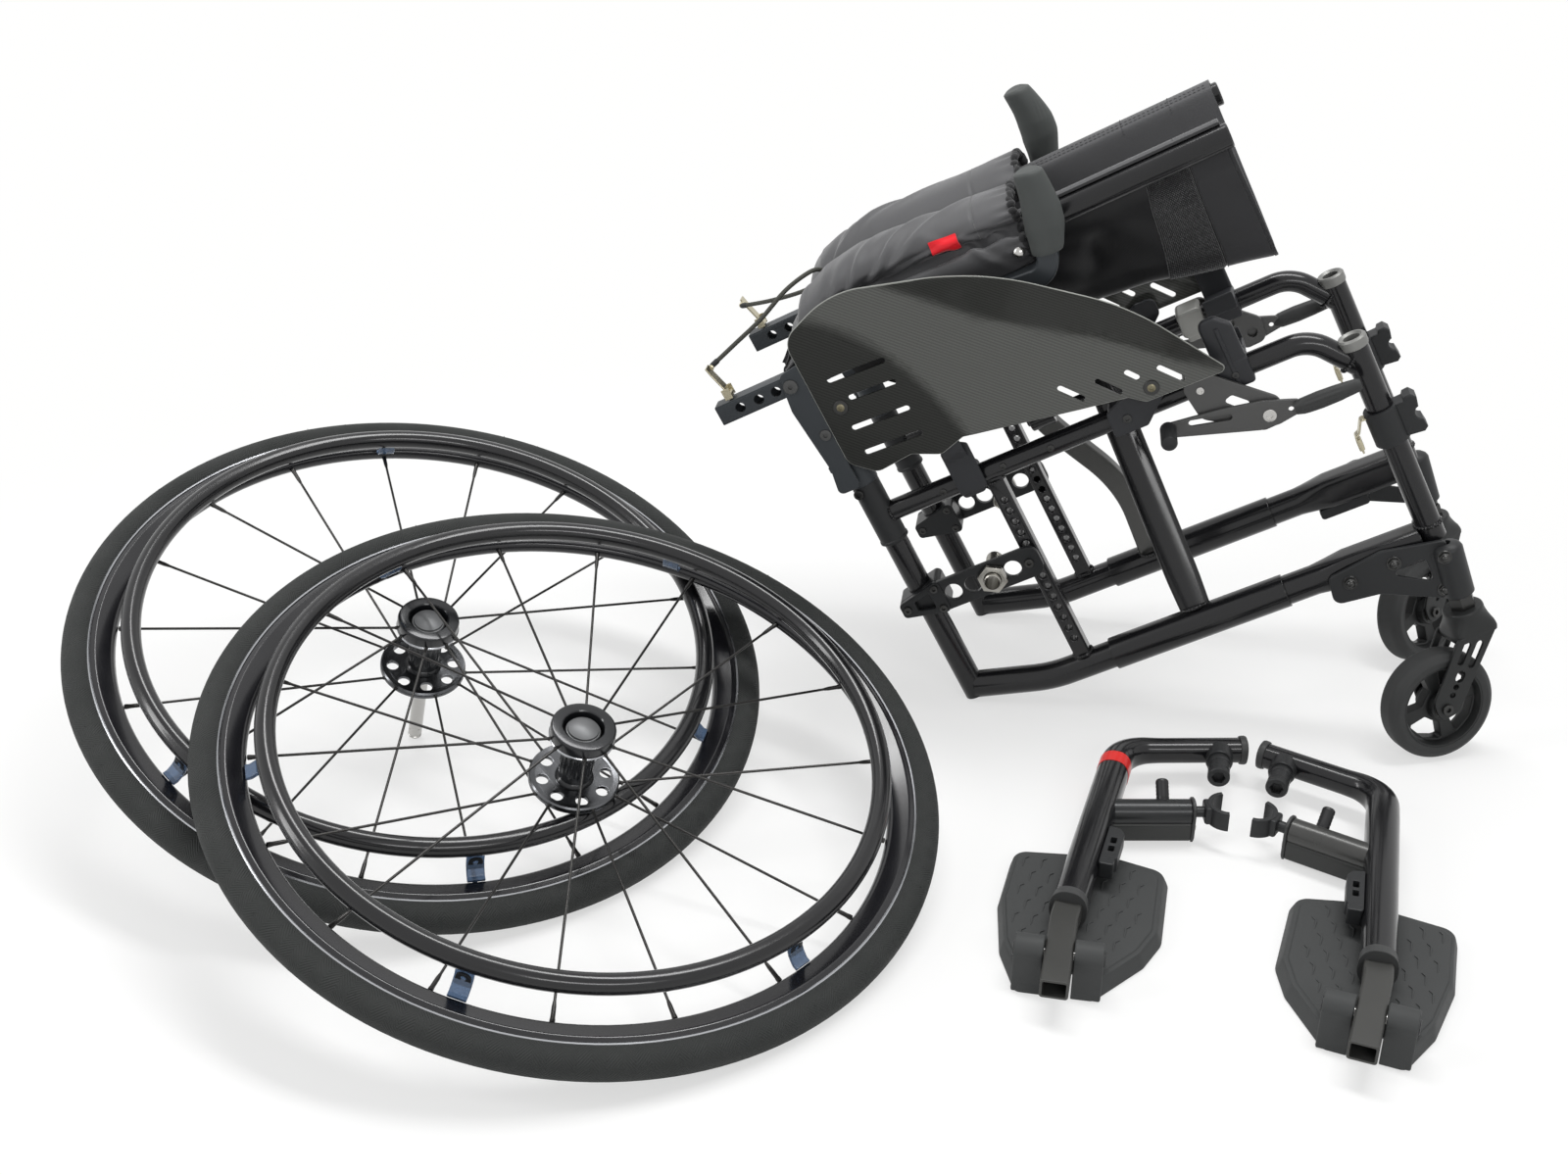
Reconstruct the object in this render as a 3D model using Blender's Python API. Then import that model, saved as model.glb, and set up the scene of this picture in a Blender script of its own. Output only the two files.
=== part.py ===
"""Active wheelchair: the folded frame, its two rear wheels and its two leg rests, laid out on the floor.

The frame is modelled along its own tubes: u runs forward along the lower tube, y points to the
chair's left and w points away from the lower tube. An empty tips that frame back until it stands
on its rear corners and on its castors. Metres throughout.
"""
import math

import bmesh
import bpy
from mathutils import Matrix, Vector

# Layout on the floor
CENTRE_X = -0.0605
CENTRE_Y = 0.0360
FRAME_PLACE = (0.0852, 0.2018)
FRAME_YAW = math.radians(-8.3)
FRAME_TILT = math.radians(27.8)
WHEEL_A_PLACE = (-0.4002, 0.1009)
WHEEL_A_LEAN = (0.2107, -0.2672, 0.9403)
WHEEL_B_PLACE = (-0.2536, -0.0590)
WHEEL_B_LEAN = (0.2040, -0.2261, 0.9525)
LEG_REST_L_PLACE = (0.2015, 0.0640)
LEG_REST_L_TURN = math.radians(0.0)
LEG_REST_R_PLACE = (0.4104, -0.0040)
LEG_REST_R_TURN = math.radians(-35.0)

# Fits
GAP = 0.0003
RUN = 0.0005

# Facets round the large rings, the frame tubes and the small fasteners
RING_SIDES = 40
TUBE_SIDES = 12
BOLT_SIDES = 8

# Frame tubes
FOLDED_WIDTH = 0.164
LOWER_R = 0.0127
LOWER_W = -0.0092
REAR_R = 0.011
REAR_U = 0.0075
REAR_FOOT_W = 0.0019
REAR_TOP_W = 0.262
REAR_SLEEVE_W0 = 0.1765
REAR_SLEEVE_W1 = 0.238
REAR_SLEEVE_T = 0.002
KICK_U = 0.0788
KICK_RISE = 0.0202
BOOT_U0 = 0.3045
BOOT_U1 = 0.334
BOOT_T = 0.0009
UPPER_R = 0.0095
UPPER_W = 0.203
FRONT_R = 0.011
FRONT_U = 0.436
FRONT_TOP_W = 0.1894
ELBOW_U = 0.404
ELBOW_LAND_W = 0.161
COLLAR_R = 0.0127
COLLAR_H = 0.008
SOCKET_R = 0.0088
SOCKET_DEPTH = 0.05

# Axle plate and post
PLATE_W = 0.1134
PLATE_H = 0.030
PLATE_U0 = 0.020
PLATE_U1 = 0.1225
PLATE_OUT = 0.0110
PLATE_T = 0.0055
AXLE_HOLES = 4
AXLE_PITCH = 0.0194
AXLE_U0 = 0.0375
AXLE_HOLE_R = 0.008
AXLE_IN_HOLE = 2
POST_U = 0.115
POST_SIDE = 0.015
POST_HOLES = 14
POST_PITCH = 0.0116
POST_HOLE_R = 0.003

# Castors
STEM_OUT = 0.0140
STEM_TOP = (0.4433, -0.0119)
STEM_LEAN = math.radians(22.0)
HOUSING_R = 0.0130
HOUSING_H = 0.0508
FORK_TRAIL = 0.048
FORK_DROP = 0.0895
FORK_GAP = 0.0300
FORK_LEG_T = 0.003
FORK_TOP = -0.0290
FORK_SHOULDER = -0.0335
FORK_CUP_R = 0.0175
FORK_SLOT = 0.0056
CASTOR_R = 0.050
CASTOR_WIDTH = 0.028
RIGHT_SWIVEL = math.radians(23.5)
LEFT_SWIVEL = math.radians(45.0)
LEFT_STEM_SPACER = 0.0048

# Folding cross and seat
ARM_LENGTH = 0.4249
ARM_CROSSING = 0.532
RAIL_R = 0.0105
RAIL_U0 = 0.020
RAIL_U1 = 0.410
ARM1_U = 0.224
ARM2_U = 0.185
ARM_BAR = 0.020
STRAIGHT_BAR = 0.030
ARM_THICK = 0.012
SLEEVE_R = 0.0150
SLEEVE_U0 = 0.140
SLEEVE_U1 = 0.304
SLING_T = 0.0026

# Back
PIVOT_U = -0.004
PIVOT_W = 0.3526
PIVOT_R = 0.0037
CANE_SIDE = 0.018
CANE_WALL = 0.0022
CANE_OUT = 0.0105
CANE_TAIL = 0.072
CANE_REACH = 0.2433
GRIP_OUT = 0.0215
GRIP_R = 0.0155
GRIP_LENGTH = 0.095
GRIP_WALL = 0.005
GRIP_END = 0.010
GRIP_NARROW = 0.90
GRIP_WIDE = 1.06
GRIP_SHAPE = ((0.92, 0.01), (0.98, 0.09), (0.94, 0.20), (1.02, 0.42), (1.06, 0.62), (1.00, 0.84), (0.96, 0.96), (0.84, 1.0))
GRIP_LEAN = math.radians(14.7)

# Rear wheels
WHEEL_R = 0.295
TYRE_R = 0.0125
TYRE_CENTRE_R = WHEEL_R - TYRE_R
RIM_SEAT = 0.009
RIM_OUT_R = TYRE_CENTRE_R - RIM_SEAT
RIM_DEPTH = 0.0215
RIM_IN_R = RIM_OUT_R - RIM_DEPTH
RIM_SHOULDER = 0.0055
HANDRIM_INSET = 0.012
HANDRIM_R = RIM_IN_R - HANDRIM_INSET
HANDRIM_W = 0.032
HANDRIM_TUBE_R = 0.008
HANDRIM_TABS = 6
SPOKES = 18
SPOKE_R = 0.0012
HUB_CAP_R = 0.026
HUB_CAP_W = 0.038
HUB_BARREL_R = 0.0133
HUB_RECESS = 0.0155
BUTTON_SEAT = 0.012
BUTTON_STEM_R = 0.0024
BUTTON_STEM = 0.012
FLANGE_R = 0.0365
FLANGE_W = -0.0185
FLANGE_T = 0.0065
FLANGE_HOLES = 8
HANDRIM_A_TURN = math.radians(40.0)
HANDRIM_B_TURN = math.radians(4.6)
AXLE_R = 0.006
AXLE_A_REACH = 0.1133
AXLE_B_REACH = 0.034

# Leg rests
LEG_AXIS_Z = 0.028
LEG_ANGLE = math.radians(-108.5)
FOOT_BEND = math.radians(6.0)
LEG_HALF_WIDTH = 0.011
LEG_HALF_HEIGHT = 0.0125
LEG_LENGTH = 0.235
FOOT_LENGTH = 0.098
ARM_REACH = 0.108
PIN_REACH = 0.086
LATCH_DOWN = 0.098
LATCH_END = 0.076
SADDLE_START = 0.083
SADDLE_END = 0.106
INNER_WIDTH = 0.019
INNER_HEIGHT = 0.016
HINGE_DOWN = 0.291
FOOTPLATE_T = 0.014
FOOTPLATE_SLOPE = 0.93
FOOTPLATE_MIDDLE = 0.070
FOOTPLATE_NOTCH = 0.012

BLACK = (0.02, 0.021, 0.023)
COLOURS = {
    "frame": (BLACK, 0.28, 0.6), "trim": ((0.03, 0.031, 0.034), 0.45, 0.3),
    "zinc": ((0.55, 0.53, 0.47), 0.35, 1.0), "steel": ((0.6, 0.6, 0.6), 0.3, 1.0),
    "rubber": ((0.035, 0.036, 0.036), 0.7, 0.0), "grip": ((0.17, 0.18, 0.18), 0.75, 0.0),
    "cloth": ((0.045, 0.047, 0.05), 0.85, 0.0), "sling": ((0.02, 0.02, 0.022), 0.6, 0.0),
    "carbon": ((0.06, 0.062, 0.06), 0.3, 0.1), "plastic": ((0.07, 0.075, 0.078), 0.55, 0.0),
    "alloy": ((0.35, 0.36, 0.37), 0.35, 0.9)}


def clear_scene():
    for thing in list(bpy.data.objects):
        bpy.data.objects.remove(thing, do_unlink=True)


def material(name, key):
    colour, rough, metal = COLOURS[key]
    made = bpy.data.materials.new(name)
    made.use_nodes = True
    shader = made.node_tree.nodes["Principled BSDF"]
    shader.inputs["Base Color"].default_value = (*colour, 1)
    shader.inputs["Roughness"].default_value = rough
    shader.inputs["Metallic"].default_value = metal
    return made


def empty(name, parent=None, matrix=None):
    thing = bpy.data.objects.new(name, None)
    bpy.context.collection.objects.link(thing)
    thing.parent = parent
    if matrix is not None:
        thing.matrix_local = matrix
    return thing


def make(name, bm, parent=None, key="frame", origin=(0, 0, 0), matrix=None):
    """Turns a bmesh into a named object, with its origin at the given point of its parent's frame."""
    if matrix is not None:
        bm.transform(matrix)
        if matrix.determinant() < 0:
            bmesh.ops.reverse_faces(bm, faces=bm.faces[:])
    bmesh.ops.translate(bm, verts=bm.verts[:], vec=-Vector(origin))
    mesh = bpy.data.meshes.new(name)
    bm.to_mesh(mesh)
    bm.free()
    thing = bpy.data.objects.new(name, mesh)
    bpy.context.collection.objects.link(thing)
    thing.parent = parent
    thing.location = origin
    mesh.materials.append(material(name, key))
    mesh.shade_smooth()
    mesh.set_sharp_from_angle(angle=math.radians(35))
    return thing


def boolean(base, others, operation):
    """Joins or cuts plain bmeshes with the exact solver and gives the resulting bmesh."""
    body = temporary("body", base)
    tools = [temporary("tool", other) for other in others]
    for tool in tools:
        step = body.modifiers.new(operation, "BOOLEAN")
        step.operation = operation
        step.solver = "EXACT"
        step.object = tool
    bpy.context.view_layer.update()
    graph = bpy.context.evaluated_depsgraph_get()
    mesh = bpy.data.meshes.new_from_object(body.evaluated_get(graph))
    result = bmesh.new()
    result.from_mesh(mesh)
    for thing in [body, *tools]:
        bpy.data.objects.remove(thing, do_unlink=True)
    bpy.data.meshes.remove(mesh)
    bmesh.ops.remove_doubles(result, verts=result.verts[:], dist=0.000002)
    bmesh.ops.dissolve_degenerate(result, dist=0.000002, edges=result.edges[:])
    return result


def temporary(name, bm):
    mesh = bpy.data.meshes.new(name)
    bm.to_mesh(mesh)
    bm.free()
    thing = bpy.data.objects.new(name, mesh)
    bpy.context.collection.objects.link(thing)
    thing.hide_render = True
    thing.display_type = "WIRE"
    return thing


def fuse(base, *others):
    return boolean(base, others, "UNION")


def cut(base, *others):
    return boolean(base, others, "DIFFERENCE")


def gather(*parts):
    """Puts separate solids into one bmesh; they don't touch each other."""
    result = bmesh.new()
    for part in parts:
        mesh = bpy.data.meshes.new("gather")
        part.to_mesh(mesh)
        part.free()
        result.from_mesh(mesh)
        bpy.data.meshes.remove(mesh)
    return result


def frame_matrix(at, along, side=None):
    """A frame at a point, its z along a direction and its x as near to side as it can be."""
    z = Vector(along).normalized()
    x = Vector(side) if side else Vector((0, 1, 0))
    if abs(z.dot(x)) > 0.99:
        x = Vector((1, 0, 0))
    x = (x - z * x.dot(z)).normalized()
    turn = Matrix((x, z.cross(x), z)).transposed()
    return Matrix.Translation(at) @ turn.to_4x4()


def rod(start, end, radius, sides=16, radius_end=None, turn=0.0):
    start, end = Vector(start), Vector(end)
    bm = bmesh.new()
    place = frame_matrix((start + end) / 2, end - start) @ Matrix.Rotation(turn, 4, "Z")
    bmesh.ops.create_cone(bm, cap_ends=True, segments=sides, radius1=radius,
                          radius2=radius if radius_end is None else radius_end,
                          depth=(end - start).length, matrix=place)
    return bm


def pipe(start, end, outer, inner, sides=20):
    """A straight tube, open at both ends."""
    start, end = Vector(start), Vector(end)
    length = (end - start).length
    profile = [(outer, 0), (outer, length), (inner, length), (inner, 0)]
    bm = turned(profile, sides)
    bm.transform(frame_matrix(start, end - start))
    return bm


def box(low, high):
    bm = bmesh.new()
    low, high = Vector(low), Vector(high)
    bmesh.ops.create_cube(bm, size=1, matrix=Matrix.LocRotScale((low + high) / 2, None, high - low))
    return bm


def turned(profile, sides, closed=True):
    """A closed profile of (radius, height) points turned about z; radius 0 closes at the axis."""
    bm = bmesh.new()
    rings = []
    for radius, height in profile:
        if radius < 1e-7:
            rings.append([bm.verts.new((0, 0, height))])
            continue
        ring = []
        for k in range(sides):
            angle = 2 * math.pi * k / sides
            ring.append(bm.verts.new((radius * math.cos(angle), radius * math.sin(angle), height)))
        rings.append(ring)
    pairs = list(zip(rings, rings[1:]))
    if closed and len(rings[0]) > 1 and len(rings[-1]) > 1:
        pairs.append((rings[-1], rings[0]))
    for first, second in pairs:
        for k in range(sides):
            n = (k + 1) % sides
            if len(first) == 1:
                bm.faces.new((first[0], second[n], second[k]))
            elif len(second) == 1:
                bm.faces.new((first[k], first[n], second[0]))
            else:
                bm.faces.new((first[k], first[n], second[n], second[k]))
    bmesh.ops.recalc_face_normals(bm, faces=bm.faces[:])
    return bm


def plate(outline, low, high, holes=()):
    """An outline in the u-w plane, extruded in y from low to high, with holes through it."""
    bm = bmesh.new()
    edges = []
    for loop in [outline, *holes]:
        ring = [bm.verts.new((u, low, w)) for u, w in loop]
        edges += [bm.edges.new((ring[k - 1], ring[k])) for k in range(len(ring))]
    bmesh.ops.triangle_fill(bm, use_beauty=True, use_dissolve=False, edges=edges)
    sheet = bm.faces[:]
    grown = bmesh.ops.extrude_face_region(bm, geom=sheet)
    moved = [g for g in grown["geom"] if isinstance(g, bmesh.types.BMVert)]
    bmesh.ops.translate(bm, verts=moved, vec=(0, high - low, 0))
    bmesh.ops.recalc_face_normals(bm, faces=bm.faces[:])
    return bm


def circle(u, w, radius, sides=12, turn=0.0):
    return [(u + radius * math.cos(turn + 2 * math.pi * k / sides),
             w + radius * math.sin(turn + 2 * math.pi * k / sides)) for k in range(sides)]


def slot(start, end, width, sides=4):
    """A round-ended slot between two points."""
    (u0, w0), (u1, w1) = start, end
    heading = math.atan2(w1 - w0, u1 - u0)
    points = []
    for (u, w), first in (((u1, w1), heading - math.pi / 2), ((u0, w0), heading + math.pi / 2)):
        for k in range(sides + 1):
            angle = first + math.pi * k / sides
            points.append((u + width / 2 * math.cos(angle), w + width / 2 * math.sin(angle)))
    return points


def rounded(corners, steps=4):
    """A polygon of (u, w, radius) corners with each corner turned into an arc."""
    points = []
    count = len(corners)
    for k in range(count):
        u, w, radius = corners[k]
        here = Vector((u, w))
        back = (Vector(corners[k - 1][:2]) - here)
        ahead = (Vector(corners[(k + 1) % count][:2]) - here)
        limit = 0.48 * min(back.length, ahead.length)
        back.normalize()
        ahead.normalize()
        half = math.acos(max(-1, min(1, back.dot(ahead)))) / 2
        if radius < 1e-6 or half > math.radians(88):
            points.append((u, w))
            continue
        reach = min(radius / math.tan(half), limit)
        radius = reach * math.tan(half)
        centre = here + (back + ahead).normalized() * (radius / math.sin(half))
        first, last = here + back * reach - centre, here + ahead * reach - centre
        for s in range(steps + 1):
            t = s / steps
            arm = (first * math.sin((1 - t) * (math.pi - 2 * half))
                   + last * math.sin(t * (math.pi - 2 * half)))
            arm = arm.normalized() * radius
            points.append((centre.x + arm.x, centre.y + arm.y))
    return points


def bent(points, radii, step=math.radians(12)):
    """Centre line through corner points, each inner corner rounded by its own radius."""
    line = [Vector(points[0])]
    for k in range(1, len(points) - 1):
        here = Vector(points[k])
        back = (Vector(points[k - 1]) - here).normalized()
        ahead = (Vector(points[k + 1]) - here).normalized()
        half = math.acos(max(-1, min(1, back.dot(ahead)))) / 2
        turn = math.pi - 2 * half
        reach = radii[k - 1] / math.tan(half)
        centre = here + (back + ahead).normalized() * (radii[k - 1] / math.sin(half))
        first, last = here + back * reach - centre, here + ahead * reach - centre
        steps = max(2, math.ceil(turn / step))
        for s in range(steps + 1):
            t = s / steps
            line.append(centre + (first * math.sin((1 - t) * turn) + last * math.sin(t * turn))
                        / math.sin(turn))
    line.append(Vector(points[-1]))
    return line


def tangents(line):
    found = []
    for k in range(len(line)):
        ahead = line[min(k + 1, len(line) - 1)] - line[k]
        behind = line[k] - line[max(k - 1, 0)]
        found.append((ahead.normalized() + behind.normalized()).normalized())
    return found


def sweep(line, section, up=(0, 1, 0), scale=None):
    """A section of (side, up) points carried along a line; up stays as near to up as it can."""
    bm = bmesh.new()
    rings = []
    for k, (at, along) in enumerate(zip(line, tangents(line))):
        lift = (Vector(up) - along * along.dot(Vector(up))).normalized()
        side = lift.cross(along)
        grow = scale(k / (len(line) - 1)) if scale else (1, 1)
        rings.append([bm.verts.new(at + side * a * grow[0] + lift * b * grow[1]) for a, b in section])
    for first, second in zip(rings, rings[1:]):
        for k in range(len(section)):
            n = (k + 1) % len(section)
            bm.faces.new((first[k], first[n], second[n], second[k]))
    bm.faces.new(rings[0])
    bm.faces.new(rings[-1][::-1])
    bmesh.ops.recalc_face_normals(bm, faces=bm.faces[:])
    return bm


def oval(half_side, half_up, sides=16):
    return [(half_side * a, half_up * b) for a, b in circle(0, 0, 1, sides)]


def oblong(half_side, half_up, corner, steps=1):
    return rounded([(half_side, -half_up, corner), (half_side, half_up, corner),
                    (-half_side, half_up, corner), (-half_side, -half_up, corner)], steps)


class Side:
    """One side of the frame: out is the distance outboard of its plane of tubes."""

    def __init__(self, name):
        self.name = name
        self.sign = -1 if name == "right" else 1
        self.base = 0.0 if name == "right" else FOLDED_WIDTH
        self.matrix = Matrix.Translation((0, self.base, 0)) @ Matrix.Diagonal((1, self.sign, 1, 1))

    def point(self, u, out, w):
        return Vector((u, self.base + self.sign * out, w))

    def make(self, what, bm, parent, key="frame", origin=None):
        at = (0, 0, 0) if origin is None else self.point(*origin)
        return make(f"{self.name}_{what}", bm, parent, key, at, self.matrix)


FOLD = math.asin(FOLDED_WIDTH / (2 * ARM_CROSSING * ARM_LENGTH))
STEM_SLOPE = FRAME_TILT - STEM_LEAN


def side_tubes(side, parent):
    round_lower = circle(0, 0, LOWER_R, TUBE_SIDES)
    lower = sweep(bent([(REAR_U + 0.002, 0, LOWER_W + KICK_RISE), (KICK_U, 0, LOWER_W),
                        (FRONT_U - 0.008, 0, LOWER_W)], [0.12]), round_lower)
    rear = rod((REAR_U, 0, REAR_FOOT_W), (REAR_U, 0, REAR_TOP_W), REAR_R, TUBE_SIDES)
    sleeve = rod((REAR_U, 0, REAR_SLEEVE_W0), (REAR_U, 0, REAR_SLEEVE_W1), REAR_R + REAR_SLEEVE_T, TUBE_SIDES)
    upper = sweep(bent([(REAR_U, 0, UPPER_W), (ELBOW_U, 0, UPPER_W), (FRONT_U, 0, ELBOW_LAND_W)],
                       [0.034], math.radians(15)), circle(0, 0, UPPER_R, TUBE_SIDES))
    front = rod((FRONT_U, 0, LOWER_W - 0.03), (FRONT_U, 0, FRONT_TOP_W), FRONT_R + GAP, TUBE_SIDES)
    mouth = rod((FRONT_U, 0, FRONT_TOP_W - COLLAR_H - GAP), (FRONT_U, 0, FRONT_TOP_W + 0.03), COLLAR_R + GAP, TUBE_SIDES)
    body = cut(fuse(rear, sleeve, lower, boot_collar(), boot(), upper, axle_post()), front, mouth)
    return side.make("side_frame", body, parent)


def boot_collar():
    """Round collar where the pressed front end slips over the lower tube."""
    return rod((BOOT_U0, 0, LOWER_W), (BOOT_U1, 0, LOWER_W), LOWER_R + BOOT_T, 16)


def boot():
    """Flat-sided front end of the lower tube."""
    line = [Vector((BOOT_U1 - 0.004, 0, LOWER_W)), Vector((FRONT_U - FRONT_R + 0.003, 0, LOWER_W))]
    return sweep(line, oblong(LOWER_R + GAP, LOWER_R, LOWER_R / 2))


def head(u, w, face, radius, thickness):
    """Round bolt head standing on an outward face, its foot sunk a little into what it holds."""
    return rod((u, face - thickness / 2, w), (u, face + thickness, w), radius, BOLT_SIDES)


def axle_plate(side, parent):
    high = PLATE_OUT + PLATE_T
    wedge = plate(rounded([(-0.0145, PLATE_W - 0.007, 0.004), (-0.0145, PLATE_W + 0.007, 0.004),
                           (0.029, PLATE_W + 0.017, 0.005), (0.029, PLATE_W - 0.017, 0.005)], 1), -0.014, high)
    bore = rod((REAR_U, 0, PLATE_W - 0.03), (REAR_U, 0, PLATE_W + 0.03), REAR_R + GAP, TUBE_SIDES)
    holes = [circle(AXLE_U0 + k * AXLE_PITCH, PLATE_W, AXLE_HOLE_R, BOLT_SIDES) for k in range(AXLE_HOLES)]
    half = PLATE_H / 2
    bar = plate(rounded([(PLATE_U0, PLATE_W - half, 0.004), (PLATE_U1, PLATE_W - half, 0.01),
                         (PLATE_U1, PLATE_W + half, 0.01), (PLATE_U0, PLATE_W + half, 0.004)], 2),
                PLATE_OUT, high, holes)
    bolts = [head(u, w, high, 0.0042, 0.0025) for u, w in ((-0.0085, PLATE_W), (0.0225, PLATE_W + 0.0095),
                                                           (0.0225, PLATE_W - 0.0095), (0.1115, PLATE_W))]
    return side.make("axle_plate", fuse(bar, cut(wedge, bore), *bolts), parent)


def axle_post():
    """Square post with its row of holes, welded between the two long tubes."""
    low = LOWER_W + LOWER_R / 2
    top = UPPER_W - UPPER_R / 2
    half = POST_SIDE / 2
    first = (LOWER_W + LOWER_R + UPPER_W - UPPER_R) / 2 - POST_PITCH * (POST_HOLES - 1) / 2
    holes = [circle(POST_U, first + k * POST_PITCH, POST_HOLE_R, 6) for k in range(POST_HOLES)]
    outline = [(POST_U - half, low), (POST_U + half, low), (POST_U + half, top), (POST_U - half, top)]
    return plate(outline, -half, half, holes)


def stem_direction():
    return Vector((math.sin(STEM_SLOPE), 0, math.cos(STEM_SLOPE)))


def stem_foot():
    return Vector((STEM_TOP[0], STEM_OUT, STEM_TOP[1])) - stem_direction() * HOUSING_H


def castor_housing(side, parent):
    top = Vector((STEM_TOP[0], STEM_OUT, STEM_TOP[1]))
    stem = rod(stem_foot(), top, HOUSING_R, 16)
    outline = rounded([(0.338, -0.031, 0.006), (0.342, -0.006, 0.006), (0.391, 0.003, 0.01),
                       (0.444, -0.008, 0.004), (0.440, -0.058, 0.004), (0.424, -0.060, 0.006),
                       (0.378, -0.036, 0.01)], 2)
    window = rounded([(0.388, -0.020, 0.002), (0.424, -0.018, 0.002), (0.424, -0.044, 0.002)], 2)
    cheek = plate(outline, LOWER_R + RUN, LOWER_R + RUN + 0.0045, [window])
    saddle = box((0.345, -0.009, -0.034), (0.392, LOWER_R + 0.002, LOWER_W - LOWER_R - RUN))
    bore = rod(stem_foot() - stem_direction() * 0.01, stem_foot() + stem_direction() * 0.036, 0.0045, 8)
    face = LOWER_R + RUN + 0.0045
    bolts = [head(u, w, face, 0.005, 0.003) for u, w in ((0.359, -0.0162), (0.397, -0.0100), (0.4285, -0.0535))]
    return side.make("castor_housing", cut(fuse(stem, cheek, saddle, *bolts), bore), parent)


def front_tube(side, parent):
    """Front tube: a socket for the leg rest's swing pin at its top, the catch for its latch halfway up."""
    tube = rod((FRONT_U, 0, LOWER_W - GAP), (FRONT_U, 0, FRONT_TOP_W), FRONT_R, TUBE_SIDES)
    collar = rod((FRONT_U, 0, FRONT_TOP_W - COLLAR_H), (FRONT_U, 0, FRONT_TOP_W + 0.001), COLLAR_R, TUBE_SIDES)
    mouth = rod((FRONT_U, 0, FRONT_TOP_W - SOCKET_DEPTH), (FRONT_U, 0, FRONT_TOP_W + 0.01), SOCKET_R, TUBE_SIDES)
    ring = rod((FRONT_U, 0, 0.090), (FRONT_U, 0, 0.122), FRONT_R + 0.004, TUBE_SIDES)
    nose = box((FRONT_U + 0.0135, -0.009, 0.091), (FRONT_U + 0.030, 0.009, 0.125))
    notch = rod((FRONT_U + 0.030, -0.02, 0.108), (FRONT_U + 0.030, 0.02, 0.108), 0.006, 8)
    strike = box((FRONT_U - 0.030, -0.005, 0.089), (FRONT_U - 0.0135, 0.005, 0.119))
    return side.make("front_tube", cut(fuse(tube, collar, ring, nose, strike), mouth, notch), parent)


def rail_cradle(side, parent):
    block = box((0.326, -0.013, UPPER_W - 0.0125), (0.354, 0.013, UPPER_W + 0.0125))
    shelf = box((0.326, -0.0365, UPPER_W + 0.0055), (0.354, -0.011, UPPER_W + 0.0122))
    lip = box((0.326, -0.0365, UPPER_W + 0.011), (0.354, -0.0345, UPPER_W + 0.022))
    horn = plate(rounded([(0.3265, UPPER_W + 0.010, 0), (0.3535, UPPER_W + 0.010, 0),
                          (0.3535, 0.246, 0.004), (0.342, 0.257, 0.004), (0.3265, 0.257, 0.006)], 3),
                 0.004, 0.0125)
    bore = rod((0.32, 0, UPPER_W), (0.36, 0, UPPER_W), UPPER_R + GAP, TUBE_SIDES)
    return side.make("rail_cradle", cut(fuse(block, shelf, lip, horn), bore), parent, "trim")


BRAKE_PIVOT = (0.353, 0.162)
BRAKE_OUT = 0.0155


def brake_clamp(side, parent):
    block = box((0.297, -0.013, UPPER_W - 0.013), (0.321, BRAKE_OUT + 0.001, UPPER_W + 0.013))
    outline = rounded([(0.295, 0.214, 0.004), (0.322, 0.214, 0.006), (0.366, 0.172, 0.008),
                       (0.363, 0.150, 0.008), (0.344, 0.149, 0.008), (0.300, 0.180, 0.01)], 2)
    base = plate(outline, BRAKE_OUT, BRAKE_OUT + 0.004, [circle(*BRAKE_PIVOT, 0.0045, 12)])
    bore = rod((0.29, 0, UPPER_W), (0.33, 0, UPPER_W), UPPER_R + GAP, TUBE_SIDES)
    return side.make("brake_clamp", cut(fuse(block, base), bore), parent, "trim")


def brake_lever(side, parent):
    u, w = BRAKE_PIVOT
    low = BRAKE_OUT + 0.004 + RUN
    outline = rounded([(0.266, 0.178, 0.005), (0.268, 0.190, 0.005), (0.352, 0.174, 0.02),
                       (0.372, 0.167, 0.01), (0.425, 0.164, 0.003), (0.425, 0.154, 0.003),
                       (0.358, 0.151, 0.01), (0.342, 0.152, 0.01)], 2)
    arm = plate(outline, low, low + 0.0035)
    pin = rod((u, BRAKE_OUT - 0.001, w), (u, low + 0.001, w), 0.004, 12)
    shoe = rod((0.272, low + 0.001, 0.184), (0.272, low + 0.034, 0.184), 0.007, 10)
    grip = rod((0.376, low + 0.0045, 0.1595), (0.429, low + 0.0045, 0.1590), 0.008, 10)
    return side.make("brake_lever", fuse(arm, pin, shoe, grip), parent, "trim", (u, low, w))


GUARD_OUT = 0.024
GUARD_T = 0.0028
GUARD_FLARE = 0.35
GUARD_SCREWS = ((0.0274, 0.318), (0.2746, 0.2265))
GUARD_SLOTS_W = (0.3428, 0.3211, 0.2948, 0.2698)


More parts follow.
